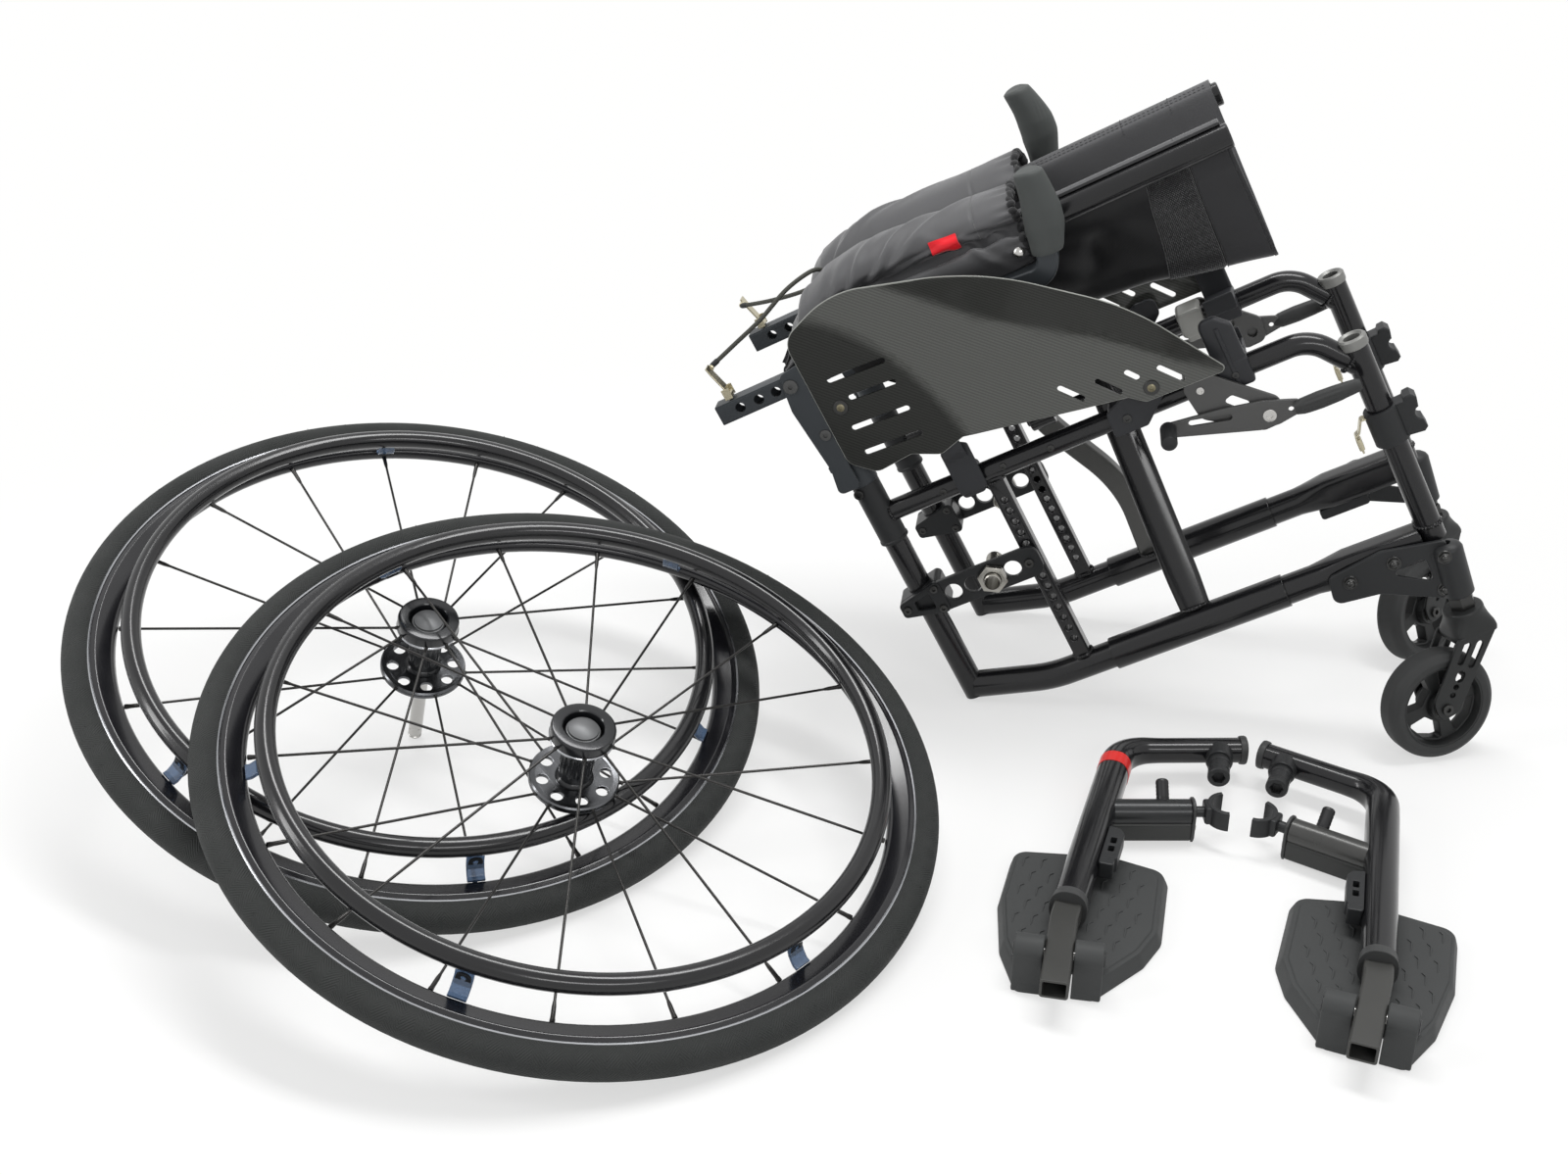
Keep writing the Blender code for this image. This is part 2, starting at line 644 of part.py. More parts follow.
def side_guard(side, parent):
    outline = rounded([(0.010, 0.392, 0.020), (0.062, 0.414, 0.10), (0.190, 0.384, 0.20),
                       (0.288, 0.303, 0.20), (0.338, 0.2155, 0.004), (0.266, 0.2165, 0.005),
                       (0.254, 0.2262, 0.006), (0.212, 0.233, 0.2),
                       (0.112, 0.2505, 0.008), (0.088, 0.243, 0.01), (0.064, 0.254, 0.006),
                       (0.030, 0.2505, 0.012), (0.010, 0.268, 0.014)], 3)
    holes = []
    for w in GUARD_SLOTS_W:
        start = 0.040 if abs(w - GUARD_SCREWS[0][1]) < 0.006 else 0.030
        holes.append(slot((start, w + 0.0012), (0.079, w - 0.0012), 0.0052, 2))
    for u, w in ((0.2120, 0.2489), (0.2427, 0.2417), (0.2680, 0.2388), (0.2940, 0.2316)):
        start = (u - 0.0065, w + 0.0078)
        end = (u + 0.0065, w - 0.0078) if abs(u - 0.268) > 0.001 else (u - 0.001, w + 0.001)
        holes.append(slot(start, end, 0.0052, 2))
    holes.append(circle(*GUARD_SCREWS[1], 0.0027, 8))
    panel = plate(outline, GUARD_OUT, GUARD_OUT + GUARD_T, holes)
    crease, above = Vector((0.060, 0, 0.386)), Vector((0.43, 0, 0.90)).normalized()
    bmesh.ops.bisect_plane(panel, geom=panel.verts[:] + panel.edges[:] + panel.faces[:],
                           plane_co=crease, plane_no=above)
    for vert in panel.verts:
        vert.co.y += GUARD_FLARE * max(0.0, (vert.co - crease).dot(above))
    rear_screw = head(*GUARD_SCREWS[0], GUARD_OUT + GUARD_T, 0.0065, 0.0016)
    return side.make("side_guard", fuse(panel, rear_screw, guard_clip()), parent, "carbon")


CLEVIS_OUT = CANE_OUT + CANE_SIDE / 2 + RUN
CLEVIS_IN = CANE_OUT - CANE_SIDE / 2 - RUN
CLEVIS_T = 0.003


def back_bracket(side, parent):
    outline = rounded([(-0.012, 0.243, 0.004), (-0.008, 0.268, 0.01), (-0.014, 0.331, 0.02),
                       (-0.0095, 0.365, 0.005), (0.0185, 0.3695, 0.005), (0.0090, 0.266, 0.01),
                       (0.0095, 0.243, 0.004)], 1)
    face = CLEVIS_OUT + CLEVIS_T
    outer = plate(outline, CLEVIS_OUT, face)
    inner = plate(outline, CLEVIS_IN - CLEVIS_T, CLEVIS_IN)
    pivot = rod((PIVOT_U, CLEVIS_IN - 0.001, PIVOT_W), (PIVOT_U, CLEVIS_OUT + 0.001, PIVOT_W), PIVOT_R, BOLT_SIDES)
    bolts = [head(PIVOT_U, PIVOT_W, face, 0.0065, 0.002), head(0.0033, 0.300, face, 0.005, 0.002)]
    socket = rod((REAR_U, 0, 0.238 + GAP), (REAR_U, 0, 0.270), REAR_R + 0.002, TUBE_SIDES)
    bridge = box((-0.010, CLEVIS_IN - 0.001, 0.2445), (0.0088, CLEVIS_OUT + 0.001, 0.270))
    bore = rod((REAR_U, 0, 0.22), (REAR_U, 0, REAR_TOP_W + GAP), REAR_R + GAP, TUBE_SIDES)
    return side.make("back_bracket", fuse(cut(fuse(outer, inner, bridge, socket), bore), pivot, *bolts), parent)


def guard_clip():
    """Clip round the upper tube that holds the guard's lower lobe."""
    ring = box((0.084, -0.012, UPPER_W - 0.0125), (POST_U - POST_SIDE / 2 - RUN, 0.0135, UPPER_W + 0.0125))
    tongue = plate(rounded([(0.084, 0.196, 0.003), (0.110, 0.196, 0.003), (0.110, 0.240, 0.003),
                            (0.098, 0.247, 0.004), (0.084, 0.240, 0.004)], 1), 0.0125, 0.0155)
    ledge = box((0.088, 0.0140, 0.236), (0.107, GUARD_OUT + 0.001, 0.2535))
    bore = rod((0.08, 0, UPPER_W), (0.115, 0, UPPER_W), UPPER_R + GAP, TUBE_SIDES)
    return cut(fuse(ring, tongue, ledge), bore)


def guard_mount(side, parent):
    """Bracket from the upper tube to the guard's front screw."""
    ring = box((0.229, -0.012, UPPER_W - 0.012), (0.259, 0.0135, UPPER_W + 0.012))
    ear = plate(rounded([(0.228, 0.192, 0.004), (0.258, 0.192, 0.004), (0.284, 0.216, 0.006),
                         (0.284, 0.232, 0.006), (0.266, 0.233, 0.004), (0.229, 0.215, 0.004)], 2),
                0.0125, 0.0165)
    bore = rod((0.22, 0, UPPER_W), (0.27, 0, UPPER_W), UPPER_R + GAP, TUBE_SIDES)
    u, w = GUARD_SCREWS[1]
    face = GUARD_OUT + GUARD_T + GAP
    spacer = rod((u, 0.0160, w), (u, GUARD_OUT - GAP, w), 0.0045, 12)
    shank = rod((u, GUARD_OUT - 0.001, w), (u, face + 0.001, w), 0.0022, 8)
    button = rod((u, face, w), (u, face + 0.0016, w), 0.0068, BOLT_SIDES)
    body = cut(fuse(ring, ear, spacer, shank, button), bore)
    return side.make("guard_mount", body, parent, "trim")


def axle_sleeve(side, parent):
    """Threaded sleeve and nut in the plate's hole, the seat of the quick-release axle."""
    u = AXLE_U0 + AXLE_IN_HOLE * AXLE_PITCH
    outer = PLATE_OUT + PLATE_T
    tube = rod((u, -0.020, PLATE_W), (u, outer + 0.012, PLATE_W), AXLE_HOLE_R - GAP, BOLT_SIDES)
    nut = rod((u, outer + GAP, PLATE_W), (u, outer + 0.007, PLATE_W), 0.0135, 6)
    bore = rod((u, -0.03, PLATE_W), (u, outer + 0.02, PLATE_W), AXLE_R + RUN, BOLT_SIDES)
    return side.make("axle_sleeve", cut(fuse(tube, nut), bore), parent, "zinc")


def fork_leg(low, high):
    """One leg of the fork: it tapers to the axle and is pierced by two slots, a window and two holes."""
    t, d = FORK_TRAIL, FORK_DROP
    outline = rounded([(-0.019, FORK_SHOULDER, 0.003), (0.021, FORK_SHOULDER, 0.003), (t + 0.010, -d + 0.008, 0.012),
                       (t + 0.008, -d - 0.010, 0.009), (t - 0.010, -d - 0.008, 0.009)], 2)
    start = Vector((0.001, FORK_SHOULDER))
    along = (Vector((t, -d)) - start).normalized()
    across = Vector((-along.y, along.x))
    holes = []
    for sign in (-1, 1):
        first = start + along * 0.010 + across * FORK_SLOT * sign
        holes.append(slot(first, first + along * 0.020, FORK_SLOT, 2))
    holes.append(circle(*(start + along * 0.042), 0.0042, 10))
    holes += [circle(*(start + along * reach), 0.0023, 6) for reach in (0.0515, 0.0595)]
    return plate(outline, low, high, holes)


def castor_fork(side, parent, spacer):
    """Fork about its stem: x trails, y lies along the axle, z climbs the stem."""
    t, d = FORK_TRAIL, FORK_DROP
    half = FORK_GAP / 2
    outer = half + FORK_LEG_T
    legs = [fork_leg(low, low + FORK_LEG_T) for low in (half, -outer)]
    bow = plate([(-outer, FORK_SHOULDER - 0.004), (-outer, FORK_SHOULDER), (-half + 0.003, FORK_TOP), (half - 0.003, FORK_TOP),
                 (outer, FORK_SHOULDER), (outer, FORK_SHOULDER - 0.004), (half, FORK_SHOULDER - 0.004),
                 (half - 0.004, FORK_TOP - 0.005), (-half + 0.004, FORK_TOP - 0.005), (-half, FORK_SHOULDER - 0.004)],
                -0.019, 0.021)
    bow.transform(Matrix(((0, 1, 0, 0), (1, 0, 0, 0), (0, 0, 1, 0), (0, 0, 0, 1))))
    bmesh.ops.reverse_faces(bow, faces=bow.faces[:])
    crown = turned([(0, FORK_TOP - 0.002), (FORK_CUP_R, FORK_TOP - 0.002), (FORK_CUP_R, -0.0155), (FORK_CUP_R - 0.002, -0.0125),
                    (FORK_CUP_R - 0.006, -0.0125), (0.0040, -0.0120), (0.0040, spacer + 0.030), (0, spacer + 0.030)],
                   TUBE_SIDES, False)
    nut = rod((0, 0, -0.0135), (0, 0, -RUN), 0.0108, 6)
    axle = rod((t, -outer - 0.003, -d), (t, outer + 0.003, -d), 0.004, BOLT_SIDES)
    body = fuse(crown, nut, bow, *legs, axle)
    if spacer:
        body = fuse(body, rod((0, 0, -0.001), (0, 0, spacer - RUN), 0.0098, TUBE_SIDES))
    return make(f"{side.name}_castor_fork", body, parent, "trim")


def castor_wheel(side, parent):
    width = CASTOR_WIDTH
    rim_r = 0.0378
    holes = [circle(0, 0, 0.0045, BOLT_SIDES)]
    for k in range(4):
        middle = math.pi / 4 + k * math.pi / 2
        reach = ((0.015, -0.42), (0.032, -0.55), (0.032, 0.55), (0.015, 0.42))
        holes.append([(r * math.cos(middle + a), r * math.sin(middle + a)) for r, a in reach])
    rim = plate(circle(0, 0, rim_r, 24), -0.0115, 0.0115, holes)
    hub = pipe((0, -0.0140, 0), (0, 0.0140, 0), 0.0125, 0.0044, TUBE_SIDES)
    make(f"{side.name}_castor_rim", fuse(rim, hub), parent, "trim")
    half = width / 2
    profile = [(rim_r + GAP, -half + 0.001), (0.044, -half), (0.048, -half + 0.0045), (CASTOR_R, -0.003),
               (CASTOR_R, 0.003), (0.048, half - 0.0045), (0.044, half), (rim_r + GAP, half - 0.001)]
    tyre = turned(profile, 24)
    tyre.transform(Matrix.Rotation(math.pi / 2, 4, "X"))
    make(f"{side.name}_castor_tyre", tyre, parent, "rubber")


def castor(side, parent, swivel, spacer):
    up = stem_direction()
    foot = stem_foot() - up * spacer
    place = side.point(*foot)
    back = Vector((-up.z, 0, up.x))
    trail = back * math.cos(swivel) - Vector((0, 1, 0)) * math.sin(swivel)
    turn = Matrix((trail, up.cross(trail), up)).transposed().to_4x4()
    stem = empty(f"{side.name}_castor_stem", parent, Matrix.Translation(place) @ turn)
    castor_fork(side, stem, spacer)
    hub = empty(f"{side.name}_castor_hub", stem, Matrix.Translation((FORK_TRAIL, 0, -FORK_DROP)))
    castor_wheel(side, hub)


def arm_frame(name, parent, y, lean):
    return empty(name, parent, Matrix.Translation((0, y, LOWER_W)) @ Matrix.Rotation(-lean, 4, "X"))


def arm_common(bar):
    sleeve = pipe((SLEEVE_U0, 0, 0), (SLEEVE_U1, 0, 0), SLEEVE_R, LOWER_R + RUN, TUBE_SIDES)
    rail = rod((RAIL_U0, 0, ARM_LENGTH), (RAIL_U1, 0, ARM_LENGTH), RAIL_R, TUBE_SIDES)
    core = rod((SLEEVE_U0 - 0.01, 0, 0), (SLEEVE_U1 + 0.01, 0, 0), LOWER_R + RUN, TUBE_SIDES)
    return cut(fuse(bar, sleeve, rail), core)


def straight_arm(parent):
    top = ARM_LENGTH - RAIL_R / 2
    line = [Vector((ARM1_U, 0, LOWER_R / 3)), Vector((ARM1_U, 0, top))]
    bar = sweep(line, oblong(ARM_THICK / 2, STRAIGHT_BAR / 2, 0.003), (1, 0, 0))
    bolt = rod((ARM1_U, 0, ARM_CROSSING * ARM_LENGTH), (0.146, 0, ARM_CROSSING * ARM_LENGTH), 0.005, 12)
    return make("cross_arm_straight", arm_common(fuse(bar, bolt)), parent)


def curved_arm(parent):
    top = ARM_LENGTH - RAIL_R / 2
    middle = ARM_CROSSING * ARM_LENGTH
    line = bent([(0.183, 0, LOWER_R / 3), (0.195, 0, 0.110), (0.158, 0, middle), (0.150, 0, top)],
                [0.20, 0.25], math.radians(8))
    bar = sweep(line, oblong(ARM_THICK / 2, ARM_BAR / 2, 0.003), (1, 0, 0))
    boss = rod((0.149, 0, middle), (0.172, 0, middle), 0.0105, 16)
    hole = rod((0.14, 0, middle), (0.18, 0, middle), 0.0055, 12)
    return make("cross_arm_curved", arm_common(cut(fuse(bar, boss), hole)), parent)


def sheet_solid(lines, thickness):
    """A sheet through matching open lines, thickened in the y-w plane; one value or one per point."""
    bm = bmesh.new()
    rings = []
    for line in lines:
        count = len(line)
        near, far = [], []
        for k, at in enumerate(line):
            along = (line[min(k + 1, count - 1)] - line[max(k - 1, 0)])
            normal = Vector((0, -along.z, along.y)).normalized()
            half = (thickness[k] if isinstance(thickness, list) else thickness) / 2
            near.append(bm.verts.new(at + normal * half))
            far.append(bm.verts.new(at - normal * half))
        rings.append(near + far[::-1])
    for first, second in zip(rings, rings[1:]):
        for k in range(len(first)):
            n = (k + 1) % len(first)
            bm.faces.new((first[k], first[n], second[n], second[k]))
    for ring in (rings[0], rings[-1]):
        half = len(ring) // 2
        for k in range(half - 1):
            bm.faces.new((ring[k], ring[k + 1], ring[-2 - k], ring[-1 - k]))
    bmesh.ops.recalc_face_normals(bm, faces=bm.faces[:])
    return bm


def rail_places():
    """The right and left rails as (y, w), folded."""
    w = LOWER_W + ARM_LENGTH * math.cos(FOLD)
    reach = ARM_LENGTH * math.sin(FOLD)
    return (FOLDED_WIDTH - reach, w), (reach, w)


def smooth_line(points, count):
    """Evenly numbered points of a Catmull-Rom curve through the given (y, w) points."""
    ends = [points[0], *points, points[-1]]
    result = []
    for k in range(count):
        place = k / (count - 1) * (len(points) - 1)
        i = min(int(place), len(points) - 2)
        t = place - i
        p0, p1, p2, p3 = (Vector(ends[i + j]) for j in range(4))
        result.append(0.5 * (2 * p1 + (p2 - p0) * t + (2 * p0 - 5 * p1 + 4 * p2 - p3) * t * t
                             + (3 * p1 - p0 - 3 * p2 + p3) * t ** 3))
    return result


def seat_sling(parent):
    """Seat fabric: wrapped over both rails, it hangs in a fold between the two crossed arms."""
    (right, w), (left, _) = rail_places()
    wrap = RAIL_R + 3 * GAP + SLING_T / 2
    middle = (right + left) / 2
    beside = ARM_THICK / 2 / math.cos(FOLD) + SLING_T + GAP
    lines = []
    for u, floor in ((0.035, 0.300), (0.12, 0.298), (0.21, 0.294), (0.30, 0.282), (0.36, 0.268), (0.405, 0.2585)):
        depth = w - floor
        half = [(right - wrap * math.cos(a), w + wrap * math.sin(a))
                for a in (math.radians(v) for v in (52, 78, 104, 130, 165))]
        for s in (0.020, depth * 0.5, depth - 0.020):
            half.append((right + beside + s * math.tan(FOLD), w - s))
        half.append((min(middle - 0.006, half[-1][0] + 0.006), floor + 0.004))
        back = [(2 * middle - y, z) for y, z in reversed(half)]
        lines.append([Vector((u, y, z)) for y, z in [*half, (middle, floor), *back]])
    return make("seat_sling", sheet_solid(lines, SLING_T), parent, "sling")


BACK_T = 0.009


def back_upholstery(parent):
    middle = FOLDED_WIDTH / 2
    start = PIVOT_W + CANE_SIDE / 2 + 2 * GAP
    shape = [(-CANE_OUT, start), (-CANE_OUT - 0.003, 0.388), (-0.006, 0.412), (0.012, 0.432),
             (0.035, 0.4425), (0.056, 0.432), (0.069, 0.414)]
    lines = []
    for u, lift, dip in ((0.030, 0.004, 0.400), (0.055, 0.010, 0.402), (0.09, 0.008, 0.400), (0.13, 0.004, 0.398),
                         (0.18, -0.001, 0.393), (0.224, -0.008, 0.386)):
        half = [(y, w + lift * min(1.0, (w - start) / 0.06)) for y, w in shape]
        whole = half + [(middle, dip + 0.004)] + [(2 * middle - y, w) for y, w in reversed(half)]
        lines.append([Vector((u, p[0], p[1])) for p in smooth_line(whole, 29)])
    thick = [0.003 + (BACK_T - 0.003) * math.sin(math.pi * min(1, k / 8)) if k < 4 else BACK_T
             for k in range(29)]
    thick = [min(thick[k], thick[28 - k]) for k in range(29)]
    return make("back_upholstery", sheet_solid(lines, thick), parent, "cloth")


def back_cane(side, parent):
    rise = Vector((math.sin(GRIP_LEAN), 0, math.cos(GRIP_LEAN)))
    tail = Vector((PIVOT_U - CANE_TAIL, CANE_OUT, PIVOT_W))
    knee = Vector((PIVOT_U + CANE_REACH, GRIP_OUT, PIVOT_W))
    before = Vector((PIVOT_U + CANE_REACH - 0.045, CANE_OUT, PIVOT_W))
    neck = knee + rise * 0.026
    half = CANE_SIDE / 2
    tube = sweep(bent([tail, before, knee, neck], [0.06, 0.018], math.radians(20)), oblong(half, half, 0.003),
                 (0, 1, 0))
    stub = rod(neck - rise * 0.002, neck + rise * (GRIP_LENGTH - GRIP_END - 0.002), GRIP_R - GRIP_WALL, TUBE_SIDES)
    inner = half - CANE_WALL
    hollow = box(tail + Vector((-0.01, -inner, -inner)), tail + Vector((0.062, inner, inner)))
    holes = [rod((u, -0.02, w), (u, 0.05, w), 0.0045, BOLT_SIDES) for u, w in ((-0.0545, PIVOT_W), (-0.036, PIVOT_W),
                                                                       (-0.019, PIVOT_W))]
    pin = rod((PIVOT_U, -0.02, PIVOT_W), (PIVOT_U, 0.05, PIVOT_W), PIVOT_R + RUN, BOLT_SIDES)
    body = cut(fuse(tube, stub), hollow, *holes, pin)
    return side.make("back_cane", body, parent, "frame", (PIVOT_U, CANE_OUT, PIVOT_W)), neck, rise


def push_grip(side, parent, neck, rise):
    """Moulded grip: its round section swells and narrows, then it is pressed oval and bored for its stub."""
    profile = [(GRIP_R * r, GRIP_LENGTH * h) for r, h in GRIP_SHAPE]
    bm = turned([(0, GRIP_LENGTH * GRIP_SHAPE[0][1]), *profile, (0, GRIP_LENGTH)], 16, False)
    bmesh.ops.scale(bm, vec=(GRIP_NARROW, GRIP_WIDE, 1), verts=bm.verts[:])
    bore = rod((0, 0, -0.01), (0, 0, GRIP_LENGTH - GRIP_END), GRIP_R - GRIP_WALL + GAP, TUBE_SIDES)
    body = cut(bm, bore)
    body.transform(frame_matrix(neck, rise))
    return side.make("push_grip", body, parent, "grip", (PIVOT_U, CANE_OUT, PIVOT_W))


LEVER_U = -0.060
LEVER_W = PIVOT_W + CANE_SIDE / 2 + GAP + 0.0035
LEVER_TIP = (-0.0667, 0.3915)


def release_lever(side, parent):
    barrel = rod((LEVER_U, CANE_OUT - 0.006, LEVER_W), (LEVER_U, CANE_OUT + 0.006, LEVER_W), 0.0035, 12)
    tip_u, tip_w = LEVER_TIP
    lean = math.atan2(tip_u - LEVER_U, tip_w - LEVER_W)
    across = Vector((math.cos(lean), 0, -math.sin(lean))) * 0.0012
    foot, tip = Vector((LEVER_U, 0, LEVER_W)), Vector((tip_u, 0, tip_w + 0.004))
    corners = [foot - across, foot + across, tip + across, tip - across]
    strip = plate([(p.x, p.z) for p in corners], CANE_OUT - 0.006, CANE_OUT + 0.006)
    stud = rod((tip_u, CANE_OUT - 0.010, tip_w), (tip_u, CANE_OUT - 0.005, tip_w), 0.0028, 10)
    return side.make("release_lever", fuse(barrel, strip, stud), parent, "zinc", (LEVER_U, CANE_OUT, LEVER_W))


CORD_R = 0.002


def release_cord(parent):
    """One loop of cord between the two levers, along the hem of the back."""
    start = LEVER_TIP[0], -CANE_OUT + 0.0118, LEVER_TIP[1] + 0.0003
    side_points = [start, (-0.062, 0.008, 0.408), (-0.045, 0.016, 0.432), (-0.018, 0.030, 0.449),
                   (0.006, 0.048, 0.455)]
    middle = FOLDED_WIDTH / 2
    whole = side_points + [(0.014, middle, 0.452)] + [(u, 2 * middle - y, w) for u, y, w in reversed(side_points)]
    points = smooth_line(whole, 29)
    curve = bpy.data.curves.new("release_cord", "CURVE")
    curve.dimensions = "3D"
    curve.bevel_depth = CORD_R
    curve.bevel_resolution = 2
    curve.use_fill_caps = True
    spline = curve.splines.new("POLY")
    spline.points.add(len(points) - 1)
    for point, at in zip(spline.points, points):
        point.co = (*at, 1)
    thing = bpy.data.objects.new("release_cord", curve)
    bpy.context.collection.objects.link(thing)
    thing.parent = parent
    curve.materials.append(material("release_cord", "trim"))


def frame_side(side, parent):
    side_tubes(side, parent)
    axle_plate(side, parent)
    axle_sleeve(side, parent)
    castor_housing(side, parent)
    front_tube(side, parent)
    rail_cradle(side, parent)
    brake_clamp(side, parent)
    brake_lever(side, parent)
    side_guard(side, parent)
    back_bracket(side, parent)
    guard_mount(side, parent)


def folded_frame():
    tilt = Matrix.Translation((*FRAME_PLACE, 0)) @ Matrix.Rotation(FRAME_YAW, 4, "Z")
    place = empty("frame_place", None, Matrix.Translation((-CENTRE_X, -CENTRE_Y, 0)) @ tilt
                  @ Matrix.Rotation(-FRAME_TILT, 4, "Y"))
    for name, swivel, spacer in (("right", RIGHT_SWIVEL, 0.0), ("left", LEFT_SWIVEL, LEFT_STEM_SPACER)):
        side = Side(name)
        frame_side(side, place)
        castor(side, place, swivel, spacer)
        _, neck, rise = back_cane(side, place)
        push_grip(side, place, neck, rise)
        release_lever(side, place)
    straight_arm(arm_frame("arm_straight_pivot", place, 0.0, FOLD))
    curved_arm(arm_frame("arm_curved_pivot", place, FOLDED_WIDTH, -FOLD))
    seat_sling(place)
    back_upholstery(place)
    release_cord(place)


def wheel_tyre(name, parent):
    steps = 6
    profile = []
    for k in range(steps):
        angle = math.radians(-132) + math.radians(264) * k / (steps - 1)
        profile.append((TYRE_CENTRE_R + TYRE_R * math.cos(angle), TYRE_R * math.sin(angle)))
    make(f"{name}_tyre", turned(profile, RING_SIDES), parent, "rubber")


def wheel_rim(name, parent):
    shoulder = RIM_OUT_R - RIM_SHOULDER
    profile = [(RIM_OUT_R, -0.0088), (RIM_OUT_R, 0.0088), (shoulder, 0.0105), (RIM_IN_R, 0.0035),
               (RIM_IN_R, -0.0035), (shoulder, -0.0105)]
    make(f"{name}_rim", turned(profile, RING_SIDES), parent, "frame")


def wheel_handrim(name, parent, turn):
    section = [(HANDRIM_R + HANDRIM_TUBE_R * a, HANDRIM_W + HANDRIM_TUBE_R * b) for a, b in circle(0, 0, 1, 6, 0.3)]
    ring = turned(section, RING_SIDES)
    tabs = []
    for k in range(HANDRIM_TABS):
        angle = turn + 2 * math.pi * k / HANDRIM_TABS
        foot = HANDRIM_W - HANDRIM_TUBE_R * 0.6
        inner, outer = HANDRIM_R - 0.0015, HANDRIM_R + 0.0025
        piece = plate([(outer, foot), (inner, foot), (inner, 0.005), (RIM_IN_R + 0.0018, 0.005),
                       (RIM_IN_R + 0.0018, 0.008)], -0.007, 0.007)
        piece.transform(Matrix.Rotation(angle, 4, "Z"))
        tabs.append(piece)
    make(f"{name}_handrim", fuse(ring, *tabs), parent, "trim")


def spoke_ends(k):
    """Spokes leave the two flanges in turn and cross to the rim a little ahead or behind."""
    upper = k % 2 == 0
    angle = 2 * math.pi * k / SPOKES
    swing = math.radians(9) * (1 if (k // 2) % 2 == 0 else -1)
    hub_r = HUB_CAP_R - 0.004 if upper else FLANGE_R - 0.003
    hub_w = HUB_CAP_W - 0.009 if upper else FLANGE_W - FLANGE_T / 2
    start = Vector((hub_r * math.cos(angle + swing), hub_r * math.sin(angle + swing), hub_w))
    facet = 2 * math.pi / RING_SIDES
    flat = RIM_IN_R * math.cos(facet / 2) / math.cos(angle % facet - facet / 2)
    end_r = flat - GAP - SPOKE_R / 4
    end = Vector((end_r * math.cos(angle), end_r * math.sin(angle), 0))
    return start, end


def wheel_hub(name, parent, bore_r):
    b = HUB_BARREL_R
    back = FLANGE_W - FLANGE_T
    profile = [(bore_r, HUB_CAP_W - HUB_RECESS), (0.0155, HUB_CAP_W - HUB_RECESS), (0.0165, HUB_CAP_W),
               (HUB_CAP_R - 0.002, HUB_CAP_W), (HUB_CAP_R, HUB_CAP_W - 0.0025),
               (HUB_CAP_R - 0.0015, HUB_CAP_W - 0.013), (b, HUB_CAP_W - 0.018), (b, FLANGE_W),
               (FLANGE_R, FLANGE_W), (FLANGE_R, back), (0.015, back), (0.014, back - 0.005),
               (bore_r, back - 0.005)]
    hub = turned(profile, 16)
    holes = []
    for k in range(FLANGE_HOLES):
        angle = 2 * math.pi * (k + 0.5) / FLANGE_HOLES
        at = Vector((0.0262 * math.cos(angle), 0.0262 * math.sin(angle), 0))
        holes.append(rod(at + Vector((0, 0, FLANGE_W - 0.02)), at + Vector((0, 0, FLANGE_W + 0.008)), 0.0052, 6))
    hub = cut(hub, gather(*holes))
    spokes = [rod(*spoke_ends(k), SPOKE_R, 4) for k in range(SPOKES)]
    make(f"{name}_hub_spokes", fuse(hub, *spokes), parent, "trim")


def wheel_axle(name, parent, reach):
    top = HUB_CAP_W - HUB_RECESS
    bore = rod((0, 0, top - BUTTON_STEM - 0.005), (0, 0, top + 0.01), BUTTON_STEM_R + RUN, BOLT_SIDES)
    axle = cut(rod((0, 0, -reach), (0, 0, top), AXLE_R, TUBE_SIDES), bore)
    make(f"{name}_axle", axle, parent, "steel")
    seat = HUB_CAP_W - BUTTON_SEAT
    profile = [(0, top - BUTTON_STEM), (BUTTON_STEM_R, top - BUTTON_STEM), (BUTTON_STEM_R, seat),
               (0.0142, seat), (0.0142, seat + 0.006), (0.012, seat + 0.0095), (0, seat + 0.0122)]
    make(f"{name}_axle_button", turned(profile, 20, False), parent, "alloy")


def rear_wheel(name, at, lean, reach, turn):
    sink = math.hypot(lean[0], lean[1]) / Vector(lean).length
    height = TYRE_CENTRE_R * sink + TYRE_R
    place = Vector((at[0] - CENTRE_X, at[1] - CENTRE_Y, height))
    axis = empty(f"{name}_place", None, frame_matrix(place, lean, (0, 0, -1)))
    wheel_tyre(name, axis)
    wheel_rim(name, axis)
    wheel_handrim(name, axis, turn)
    wheel_hub(name, axis, AXLE_R + RUN)
    wheel_axle(name, axis, reach)


def direction(angle):
    return Vector((math.cos(angle), math.sin(angle), 0))


def leg_rest_points():
    down = direction(LEG_ANGLE)
    foot = direction(LEG_ANGLE + FOOT_BEND)
    collar = down * LEG_LENGTH
    return down, foot, collar


